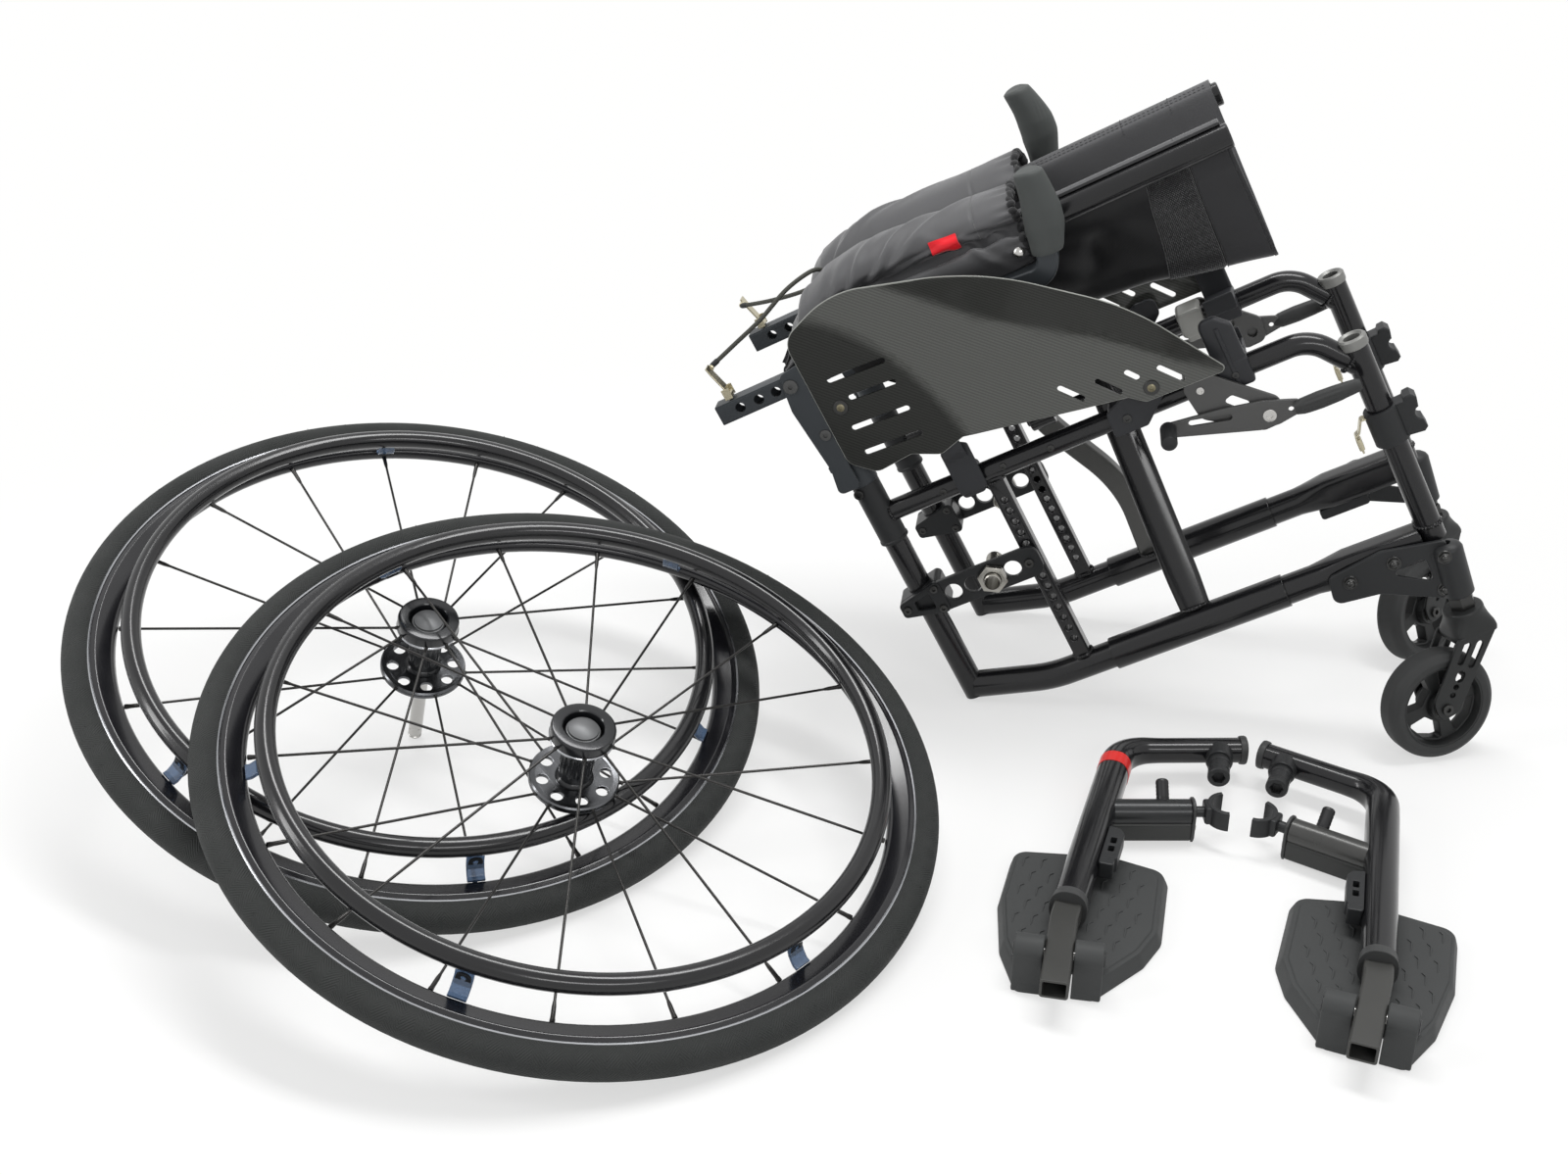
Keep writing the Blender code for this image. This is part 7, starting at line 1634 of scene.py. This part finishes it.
def sling_fabric(u, t):
    """Middle surface of the sling: over the near rail, down its arm to the fold, and up round the far rail.
    The near half is a curve through points of (y, w); the far half is its mirror image, wrapped further."""
    floor = np.interp(u, SLING_U, SLING_FLOOR)
    depth = RAIL_W - floor
    wrap = RAIL_R + 0.0022
    middle = FOLDED_WIDTH / 2
    slope = tan(FOLD)

    def beside_rail(angle, reach):
        across, up = reach * cos(radians(angle)), reach * sin(radians(angle))
        return NEAR_RAIL - across + 0 * floor, RAIL_W + up + 0 * floor

    near = [beside_rail(a, wrap + 0.003 * sin(radians((a - 86) * 1.9))) for a in (86, 104, 122, 140, 160)]
    far = [beside_rail(a, wrap + 0.0006) for a in (-58, -36, -12, 14, 42, 70, 100, 130, 160)]
    inner = []
    for s in (0.022, 0.04, None, -0.02):
        drop = depth * 0.62 if s is None else (depth + s if s < 0 else s + 0 * depth)
        inner.append((NEAR_RAIL + SLING_BESIDE + drop * slope, RAIL_W - drop))
    inner.append((np.minimum(middle - 0.006, inner[-1][0] + 0.006), floor + 0.004))
    mirrored = [(FOLDED_WIDTH - y, w) for y, w in reversed(far + inner)]
    halves = near + inner + [(middle + 0 * floor, floor)] + mirrored
    ys = np.stack(np.broadcast_arrays(*[y for y, _ in halves]), -1)
    ws = np.stack(np.broadcast_arrays(*[w for _, w in halves]), -1)
    count = ys.shape[-1]
    place = np.clip(t, 0, 1) * (count - 1)
    i = np.clip(place.astype(int), 0, count - 2)

    def blended(values):
        rows = values.reshape(-1, count)
        index = np.broadcast_to(i, np.broadcast(u, t).shape)
        line = np.broadcast_to(np.arange(np.size(floor)).reshape(np.shape(floor)), index.shape)
        return through([rows[line, np.clip(index + k, 0, count - 1)] for k in (-1, 0, 1, 2)], place - i)

    y, w = blended(ys), blended(ws)
    near_side = y < middle
    swell = 0.0075 * np.exp(-((u - 0.232) / 0.036) ** 2 - ((w - 0.32) / 0.02) ** 2)
    crease = 0.005 * np.exp(-((u - 0.262 - (w - 0.32) * 0.5) / 0.011) ** 2 - ((w - 0.335) / 0.02) ** 2)
    belly = (swell - crease) * np.clip((RAIL_W - 0.02 - w) / 0.02, 0, 1)
    ripple = 0.0012 * np.sin(u * 95 + w * 60) * np.clip((RAIL_W - 0.015 - w) / 0.03, 0, 1)
    y = y - np.where(near_side, belly, 0) + ripple * np.where(near_side, 1, -1)
    return np.stack(np.broadcast_arrays(u, y, w), -1)


def sling_skin(u, t, lift=0.0):
    step = 1e-4
    base = sling_fabric(u, t)
    du = sling_fabric(u + step, t) - sling_fabric(u - step, t)
    dt = sling_fabric(u, np.clip(t + step, 0, 1)) - sling_fabric(u, np.clip(t - step, 0, 1))
    normal = unit(np.cross(dt, du))
    return base + normal * lift, normal


COATED = cloth("coated_black", (0.012, 0.012, 0.013), 0.36, 0.0011, 0.00006, 0.1, 0.2)
ROLL_CLOTH = cloth("roll_cloth", (0.074, 0.074, 0.077), 0.62, 0.0009, 0.0001, 0.3, 0.12)
FUZZ = cloth("fuzzy_band", (0.018, 0.018, 0.019), 0.95, 0.0016, 0.0006, 0.55, 0.35, 0.0, 420.0)
MATTE_HEM = cloth("matte_front", (0.028, 0.028, 0.03), 0.66, 0.0009, 0.00008, 0.35, 0.16)
rows, columns = np.linspace(SLING_U[0], SLING_U[-1], SLING_ROWS), np.linspace(0, 1, SLING_COLUMNS)
above, _ = sling_skin(rows[:, None], columns[None], SLING_T / 2)
below, _ = sling_skin(rows[:, None], columns[None], -SLING_T / 2)
sling = piece("seat_cloth", shell(np.concatenate([above, below[:, ::-1]], 1)).moved(FRAME), COATED,
              "arm_straight", ["seat_sling"], 60)
sling.data.materials.append(ROLL_CLOTH)
inside = np.zeros(len(sling.data.polygons), np.int32)
around = np.arange(2 * SLING_COLUMNS) >= SLING_COLUMNS - 1
inside[:(SLING_ROWS - 1) * len(around)] = np.tile(around, SLING_ROWS - 1)
sling.data.polygons.foreach_set("material_index", inside)


def sling_patch(name, left, right, top, bottom, paint, thick, tufts=0.0):
    """A patch on the sling's near face: u = left(s) + r (right(s) - left(s)), s running from top to
    bottom; its outer face stands thick off the sheet, roughened by tufts x a product of sines."""
    r, s = np.meshgrid(np.linspace(0, 1, 90), np.linspace(0, 1, 110), indexing="ij")
    u = (1 - r) * (left[0] + s * (left[1] - left[0])) + r * (right[0] + s * (right[1] - right[0]))
    rim = np.clip(np.minimum(np.minimum(r, 1 - r) * 30, np.minimum(s, 1 - s) * 36), 0, 1)
    rough = tufts * (np.sin(u * 2900 + 5 * np.sin(s * 90)) * np.sin(s * 310 + 4 * np.sin(u * 700)) + 0.6
                     * np.sin(u * 5100 + s * 77) * np.sin(s * 530 - u * 900))
    sheet, out = sling_skin(u, top + s * (bottom - top), 0.0)
    raised = SLING_T / 2 + 0.0002 + thick * np.sin(rim * pi / 2) + rough * rim
    outer_face = sheet + out * raised[..., None]
    inner_face = sheet + out * (SLING_T / 2 + 0.00005)
    return piece(name, shell(np.concatenate([outer_face, inner_face[:, ::-1]], 1)).moved(FRAME), paint,
                 "arm_straight", (), 60)


fuzz = sling_patch("fuzzy_band", (0.333, 0.3141), (0.37, 0.3622), 0.185, 0.402, FUZZ, 0.001, 0.00028)
front = sling_patch("front_panel", (0.3712, 0.3636), (0.403, 0.403), 0.185, 0.405, MATTE_HEM, 0.0006)
hem_t = np.linspace(0.185, 0.4, 160)
hem_line, _ = sling_skin(np.full(160, 0.4046), hem_t, SLING_T / 2 - 0.0002)
hem_cord = carry(hem_line, oblong(0.0016, 0.0012, 0.0008), Y)
front_hem = piece("front_hem", hem_cord.moved(FRAME), MATTE_HEM, "arm_straight", (), 60)


def roll_skin(u, t, lift=0.0):
    points, normals = sling_skin(u, t, -SLING_T / 2 - lift)
    return points, -normals


seams = [sewn(roll_skin, np.linspace(0.04, 0.4, 400), np.full(400, t), 0.0042, 0.0002, 0.0026)
         for t in (0.712, 0.73)]
seams += [sewn(roll_skin, np.full(90, u), np.linspace(0.665, 0.8, 90), 0.0026, 0.0002, 0.0015)
          for u in (0.367, 0.323)]
seams += [sewn(roll_skin, np.full(40, 0.367), np.linspace(0.02, 0.12, 40), 0.0026, 0.0002, 0.0015)]
seams += [sewn(sling_skin, np.linspace(0.3718, 0.3642, 200), np.linspace(0.19, 0.4, 200), 0.0034,
               SLING_T / 2 + 0.0012, 0.0022)]
DARK_THREAD = finish("dark_thread", (0.051, 0.051, 0.053), 0.7, grain=1500, relief=0.00002)
sling_seams = piece("sling_stitches", put(seams, FRAME), DARK_THREAD, "arm_straight", ())
walk = np.diff(sling_fabric(rows[:, None], columns[None]), axis=1)
# Each sling piece gets a mesh of its own.
for part in (sling, fuzz, front, front_hem, sling_seams):
    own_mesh(part)

# Leg rests: two swing-away hangers laid on the floor. Each is one bent oval tube, black coated, with a swing
# pin near its capped end, a welded latch housing and a calf bracket. A grey square tube slides in its leg.
LEG_Z, LEG_DOWN, LEG_FOOT_BEND = 0.028, radians(-108.5), radians(6.0)
LEG_WIDE, LEG_TALL, LEG_LONG, LEG_REACH = 0.0135, 0.0155, 0.235, 0.104
LEG_BEND, LATCH_S, HOUSING_END, PIN_X = 0.034, 0.098, 0.076, 0.086
INNER_W, INNER_T, INNER_END, HINGE_S = 0.0212, 0.016, 0.098, 0.291


def heading(angle):
    return np.array([cos(angle), sin(angle), 0.0])


DOWN, FOOT = heading(LEG_DOWN), heading(LEG_DOWN + LEG_FOOT_BEND)
AXIS = LEG_Z * Z
COLLAR, BESIDE_LEG = DOWN * LEG_LONG + AXIS, np.array([-DOWN[1], DOWN[0], 0])
KNEE = COLLAR + DOWN * 0.018
HINGE = KNEE + FOOT * (HINGE_S - LEG_LONG - 0.018)
ACROSS = np.array([-FOOT[1], FOOT[0], 0])


def resting(x, y, turn, flip):
    """Where a leg rest lies: turned about z, and mirrored in x when it is flipped over."""
    c, s = cos(turn), sin(turn)
    ahead = np.array([c, s, 0])
    return basis(-ahead if flip else ahead, (-s, c, 0), Z, (x, y, 0))


LEG_RESTS = {"left": resting(0.262, 0.028, 0.0, False), "right": resting(0.4709, -0.04, radians(-35.0), True)}
CAP_GREY = finish("cap_grey", (0.048, 0.049, 0.049), 0.5, grain=1300, relief=0.00004)
PIN_GREY = finish("pin_graphite", (0.03, 0.031, 0.032), 0.42, 0.35, grain=1500)
HOUSING_LEFT = finish("housing_graphite", (0.022, 0.023, 0.024), 0.3, 0.3, 0.1, grain=1900, relief=0.00002)
# The right housing is the same part as the left: its paler colour is a painted highlight.
HOUSING_PAINTED_HIGHLIGHT = finish("housing_painted_highlight", (0.06, 0.06, 0.058), 0.3, 0.35, 0.1, grain=1900, relief=0.00002)
FIN_GREY = finish("housing_fin", (0.04, 0.041, 0.04), 0.38, 0.3, grain=1700)
KNOB_BLACK = finish("knob_black", (0.013, 0.013, 0.014), 0.4, 0.1, 0.1, grain=1500)
WHITE_BIT = finish("white_bush", (0.558, 0.558, 0.522), 0.45, grain=1200, relief=0.00002)
INNER_GREY = finish("inner_tube_grey", (0.06, 0.06, 0.057), 0.42, 0.35, grain=1700)
TREAD_GREY = finish("tread_grey", (0.048, 0.05, 0.05), 0.62, 0.0, 0, 0.06, 22, 1100, 0.0001, 0.06)
RED_BAND = finish("red_band", (0.72, 0.02, 0.016), 0.34, 0.0, 0.2, 0.04, grain=900, relief=0.00001)


def oval(wide, tall, count=48):
    angle = full_turn(count)
    return np.stack([wide * np.sign(np.cos(angle)) * np.abs(np.cos(angle)) ** 0.85,
                     tall * np.sign(np.sin(angle)) * np.abs(np.sin(angle)) ** 0.85], 1)


def hanger():
    """The oval tube along its bent path; past the elbow its width and height shrink towards the pin as a
    smooth step."""
    path = bent([COLLAR + DOWN * 0.0015, AXIS, AXIS + (LEG_REACH, 0.001, 0)], [LEG_BEND], 16, 10)
    walk = walked(path)
    t = walk / walk[-1]
    ease = np.clip((t - 0.6) / 0.2, 0, 1)
    ease = ease * ease * (3 - 2 * ease)
    wide, tall = LEG_WIDE * (1 - 0.24 * ease), LEG_TALL * (1 - 0.32 * ease)
    section = oval(1, 1)[None] * np.stack([wide, tall], 1)[:, None]
    return carry(path, section, Z)


def end_cap():
    """Plastic cap: the tube's end section, drawn out 5 mm and flared downwards."""
    at = AXIS + (LEG_REACH, 0.001, 0)
    path = at + np.array([-0.001, 0.0006, 0.003, 0.0046, 0.0052])[:, None] * X
    flare = np.array([1.01, 1.04, 1.05, 1.0, 0.86])
    section = oval(LEG_WIDE * 0.8, LEG_TALL * 0.76)
    return carry(path, section[None] * flare[:, None, None], Z)


def swing_pin():
    """Stepped pin: rings of radii 11.5, 9.4 and 9.2 mm with two grooves, hollowed by a hexagon socket, whose
    rings are six-sided: r cos 30 / cos(a - 30)."""
    profile = [(0.0004, 0.004), (0.0115, 0.004), (0.0115, 0.018), (0.0108, 0.019), (0.0092, 0.0192),
               (0.0092, 0.0222), (0.0098, 0.0226), (0.0098, 0.0254), (0.0092, 0.0258), (0.0092, 0.036),
               (0.0086, 0.0364), (0.0086, 0.0378), (0.0094, 0.0382), (0.0094, 0.0428), (0.0086, 0.0438),
               (0.0062, 0.0438), (0.0058, 0.0434), (0.0058, 0.038), (0.0004, 0.0376)]
    body = turned(profile, 48)
    rings = body.points.reshape(len(profile), 48, 3)
    angle = full_turn(48)
    rings[15:18, :, :2] *= (cos(pi / 6) / np.cos(np.mod(angle, pi / 3) - pi / 6))[:, None]
    return [body.moved(standing(AXIS + (PIN_X, 0, 0), FOOT, X))]


def latch_housing():
    at = DOWN * LATCH_S + AXIS
    barrel = turned([(0.0045, 0.006), (0.01, 0.006), (0.0105, 0.0066), (0.0105, HOUSING_END - 0.0025),
                     (0.01, HOUSING_END - 0.002), (0.0045, HOUSING_END - 0.002)], 56, True)
    barrel = barrel.moved(standing(at, X, Y))
    path = at + [(x, 0, -0.0145) for x in (0.006, 0.0064, HOUSING_END - 0.0026, HOUSING_END - 0.002)]
    fin = carry(path, oblong(0.01, 0.009, 0.003), Z, [0.96, 1, 1, 0.97])
    cap = [(HOUSING_END - 0.0018, 0.0112), (HOUSING_END - 0.001, 0.0122), (HOUSING_END + 0.0006, 0.0122),
           (HOUSING_END + 0.0014, 0.0112)]
    face = np.concatenate([circle(0, 0, 1.0, 32)[3:14],
                           [(-0.86, -1.75), (-0.66, -2.02), (0.66, -2.02), (0.86, -1.75)]])
    stations = at + np.array(cap)[:, :1] * X
    plug = carry(stations, face[None, :, :] * np.array(cap)[:, 1][:, None, None], Z)
    return [barrel], [fin], plug, at


def leg_bracket():
    """Calf bracket: a flat plate stood on the leg's side, with two windows and a small block at its foot."""
    at = DOWN * 0.155 + AXIS
    place = basis(BESIDE_LEG, Z, -DOWN, at + BESIDE_LEG * (LEG_WIDE - 0.001))
    outline = rounded([(0, -0.026, 0.001), (0.0095, -0.0215, 0.002), (0.0135, -0.016, 0.002),
                       (0.0135, 0.018, 0.002), (0.0095, 0.0245, 0.003), (0, 0.026, 0.001)], 4)
    holes = [rounded([(0.0042, -0.0085, 0.001), (0.0088, -0.0085, 0.001), (0.0088, -0.001, 0.001),
                      (0.0042, -0.001, 0.001)], 3),
             rounded([(0.0042, 0.003, 0.001), (0.0088, 0.003, 0.001), (0.0088, 0.011, 0.001),
                      (0.0042, 0.011, 0.001)], 3)]
    flat = plate(outline, -0.0035, 0.0095, holes, 0.0007)
    foot = block((0.0005, -0.0045, -0.0275), (0.012, 0.01, -0.019), 0.001)
    return put((flat, foot), place)


def latch(at):
    """Sprung bolt: a C-shaped saddle that grips the front tube, on a rod, with a ribbed knob on the barrel.
    The C is the ground between two arcs of 12.8 and 16.8 mm about the front tube."""
    inside, outside = (np.radians(np.linspace(a, b, 20)) for a, b in ((262, 98), (98, 262)))
    outline = np.concatenate([np.stack([0.0218 + 0.0168 * np.cos(outside), 0.0168 * np.sin(outside)], 1),
                              np.stack([0.0218 + 0.0128 * np.cos(inside), 0.0128 * np.sin(inside)], 1)])
    turn = basis(X, Z, Y, (0.083, 0, 0))
    saddle = plate(outline, -0.0085, 0.0085, (), 0.0006).moved(turn)
    rod = tube((0.03, 0, 0), (0.086, 0, 0), 0.0046, 28)
    neck = block((0.085, -0.008, -0.008), (0.0915, 0.008, 0.008), 0.0016)
    ribs = np.array([(0.0042, 0), (0.005, 0.0008)] + [(0.0051 + 0.0003 * (k % 2), 0.002 + 0.0016 * k)
            for k in range(10)] + [(0.0052, 0.0184), (0.0044, 0.0194)])
    knob = turned(ribs, 36).moved(standing((0.0525, 0.0075, 0.0045), (0.05, 0.8, 0.55)))
    place = standing(at, Z, X)
    return put((saddle, neck, rod), place), [knob.moved(place)]


def inner_tube():
    """Square tube from inside the leg, bent 6 degrees at its knee, open at its end: rings of a rounded
    oblong along the path, then smaller ones back inside."""
    end = KNEE + FOOT * (INNER_END - 0.018)
    path = bent([COLLAR - DOWN * 0.085, KNEE, end], [0.06], 10, 8)
    outer = carry(path, oblong(INNER_W / 2, INNER_T / 2, 0.0022), Z)
    count = len(oblong(1, 1, 0.1))
    rings = outer.points.reshape(len(path), count, 3)
    lip = rings[-1] + FOOT * 0.0004
    stations = end + FOOT * np.array([-0.034, -0.001, 0.0004])[:, None]
    back = carry(stations, oblong(INNER_W / 2 - 0.0019, INNER_T / 2 - 0.0019, 0.0012), Z)
    back = back.points.reshape(3, count, 3)[::-1]
    return shell(np.concatenate([rings[:-1], rings[-1:] - FOOT * 0.0004,
                                 (lip * 0.985 + (end + FOOT * 0.0004) * 0.015)[None], back]))


PLATE_T, PLATE_MIDDLE, PLATE_NOTCH = 0.014, 0.07, 0.0112
PLATE_CORNERS = [(-0.05, 0.148, 0.012), (0.03, 0.157, 0.03), (0.076, 0.144, 0.012), (0.074, 0.06, 0.02),
                 (0.062, 0.03, 0.02), (0.028, -0.016, 0.006), (PLATE_NOTCH, -0.0165, 0.001),
                 (PLATE_NOTCH, 0.012, 0.001), (-PLATE_NOTCH, 0.012, 0.001), (-PLATE_NOTCH, -0.0167, 0.001),
                 (-0.03, -0.017, 0.006), (-0.046, 0.024, 0.02), (-0.054, 0.08, 0.02)]
PLATE_RINGS = [(0.985, 0.0), (0.997, 0.0006), (1.0, 0.0016), (0.99, 0.004), (0.96, 0.01), (0.948, 0.012),
               (0.936, 0.0131), (0.92, 0.0134), (0.896, 0.0132), (0.89, 0.0135), (0.884, 0.0141),
               (0.876, 0.0144)]


def foot_board():
    """The plate's outline scaled about its middle, ring by ring, up a sloped skirt to the raised tread; the
    walls of the notch keep their width: x = sign(x) max(scale |x|, min(|x|, notch))."""
    outline = rounded(PLATE_CORNERS, 7)
    rings = []
    for scale, z in PLATE_RINGS:
        x = np.sign(outline[:, 0]) * np.maximum(scale * np.abs(outline[:, 0]),
                                                np.minimum(np.abs(outline[:, 0]), PLATE_NOTCH))
        y = PLATE_MIDDLE + (outline[:, 1] - PLATE_MIDDLE) * scale
        rings.append(np.stack([x, y, np.full(len(outline), z - LEG_Z)], 1))
    swap = basis(Y, X, Z)
    arc = np.linspace(radians(-8), radians(188), 22)
    cheek = np.concatenate([np.stack([0.012 * np.cos(arc), 0.012 * np.sin(arc)], 1),
                            [(-0.015, -0.024), (-0.0158, -0.027), (0.015, -0.027), (0.015, -0.0155)]])
    forms = [shell(rings)]
    for low, high in ((-0.033, -PLATE_NOTCH), (PLATE_NOTCH, 0.033)):
        forms.append(plate(cheek, low, high, (), 0.0012, 3).moved(swap))
    return forms


def tread_ticks():
    """Raised grip marks: one bent stroke, repeated on a staggered grid that leaves the leg's strip free."""
    marks = []
    stroke = 1.15 * np.array([[0.003, 0.0058], [0.0004, 0.0036], [-0.0002, 0.0016], [-0.0004, -0.0062]])
    for row in range(6):
        for column in range(9):
            x = -0.046 + column * 0.0142 + (row % 2) * 0.0071
            y = 0.036 + row * 0.0186
            wide = np.interp(y, [0.02, 0.05, 0.14], [0.03, 0.058, 0.06])
            if abs(x) < 0.015 or x > wide or x < -np.interp(y, [0.02, 0.05, 0.14], [0.026, 0.041, 0.041]):
                continue
            line = np.concatenate([stroke + (x, y), np.full((4, 1), PLATE_T + 0.0004 - LEG_Z)], 1)
            line = spline(line, 9)
            marks.append(carry(line, oblong(0.00074, 0.0008, 0.0004, 2), Z,
                               np.array([0.5, 0.9, 1, 1, 1, 1, 1, 0.8, 0.35])))
    return marks


for side, rest in LEG_RESTS.items():
    barrel, fin, plug, latch_at = latch_housing()
    beads = [weld(latch_at + (0.008, 0, 0.0), X, 0.0112, 0.0017),
             weld(latch_at + (0.0078, 0, -0.0145), X, 0.0108, 0.0015)]
    board = rest @ basis(ACROSS, -FOOT, Z, HINGE)
    collar_at = COLLAR + DOWN * np.array([-0.007, -0.0066, -0.001, 0.0004, 0.0022, 0.0026])[:, None]
    collar_size = np.array([1.01, 1.04, 1.05, 1.08, 1.08, 1.04])
    collar = carry(collar_at, oval(LEG_WIDE, LEG_TALL)[None] * collar_size[:, None, None], Z)
    side_piece(side, "leg_hanger", (hanger(), *beads), FRAME_BLACK, "hanger_tube", "hanger",
               rest, 45)
    side_piece(side, "hanger_cap", (end_cap(), collar, plug), CAP_GREY, "", "hanger", rest, 45)
    side_piece(side, "swing_pin", swing_pin(), PIN_GREY, "", "hanger", rest)
    # The right leg rest's latch barrel takes the paler copy, a painted highlight.
    side_piece(side, "latch_barrel", barrel, HOUSING_LEFT if side == "left" else HOUSING_PAINTED_HIGHLIGHT, "",
               "hanger", rest)
    side_piece(side, "latch_fin", fin, FIN_GREY, "", "hanger", rest)
    side_piece(side, "calf_bracket", leg_bracket(), TRIM_BLACK, "", "hanger", rest)
    white = block((HOUSING_END + 0.0008, -0.006, -0.015), (HOUSING_END + 0.003, 0.002, -0.01),
                  0.0008).moved(standing(latch_at, Z, X))
    side_piece(side, "white_bush", white, WHITE_BIT, "", "hanger", rest)
    blocks, grips = latch(latch_at)
    side_piece(side, "saddle", blocks, PIN_GREY, "hanger_latch", "latch", rest)
    side_piece(side, "latch_knob", grips, KNOB_BLACK, "", "latch", rest)
    side_piece(side, "inner_leg", inner_tube(), INNER_GREY, "leg_tube", "leg", rest, 40)
    hinge_pin = tube(HINGE - ACROSS * 0.03, HINGE + ACROSS * 0.03, 0.0034, 24)
    side_piece(side, "plate_pin", hinge_pin, STEEL, "", "leg", rest)
    side_piece(side, "foot_board", foot_board(), TREAD_GREY, "footplate", "footplate", board, 34)
    side_piece(side, "tread_marks", tread_ticks(), TREAD_GREY, "", "footplate", board)
    bolts = [screw((sign * 0.0326, 0, 0), (sign, 0, 0), 0.0058, 0.0016, 0.55) for sign in (-1, 1)]
    side_piece(side, "plate_bolts", bolts, PIN_GREY, "", "footplate", board)

# A plain red band of film is wrapped once round the left hanger just below its elbow.
band_at = AXIS + DOWN * np.array([0.0262, 0.0264, 0.041, 0.0412])[:, None]
band_size = np.array([1.0, 1.022, 1.022, 1.0])
band = carry(band_at, oval(LEG_WIDE, LEG_TALL)[None] * band_size[:, None, None], Z)
piece("red_band", band.moved(LEG_RESTS["left"]), RED_BAND, "left_hanger", (), 50)
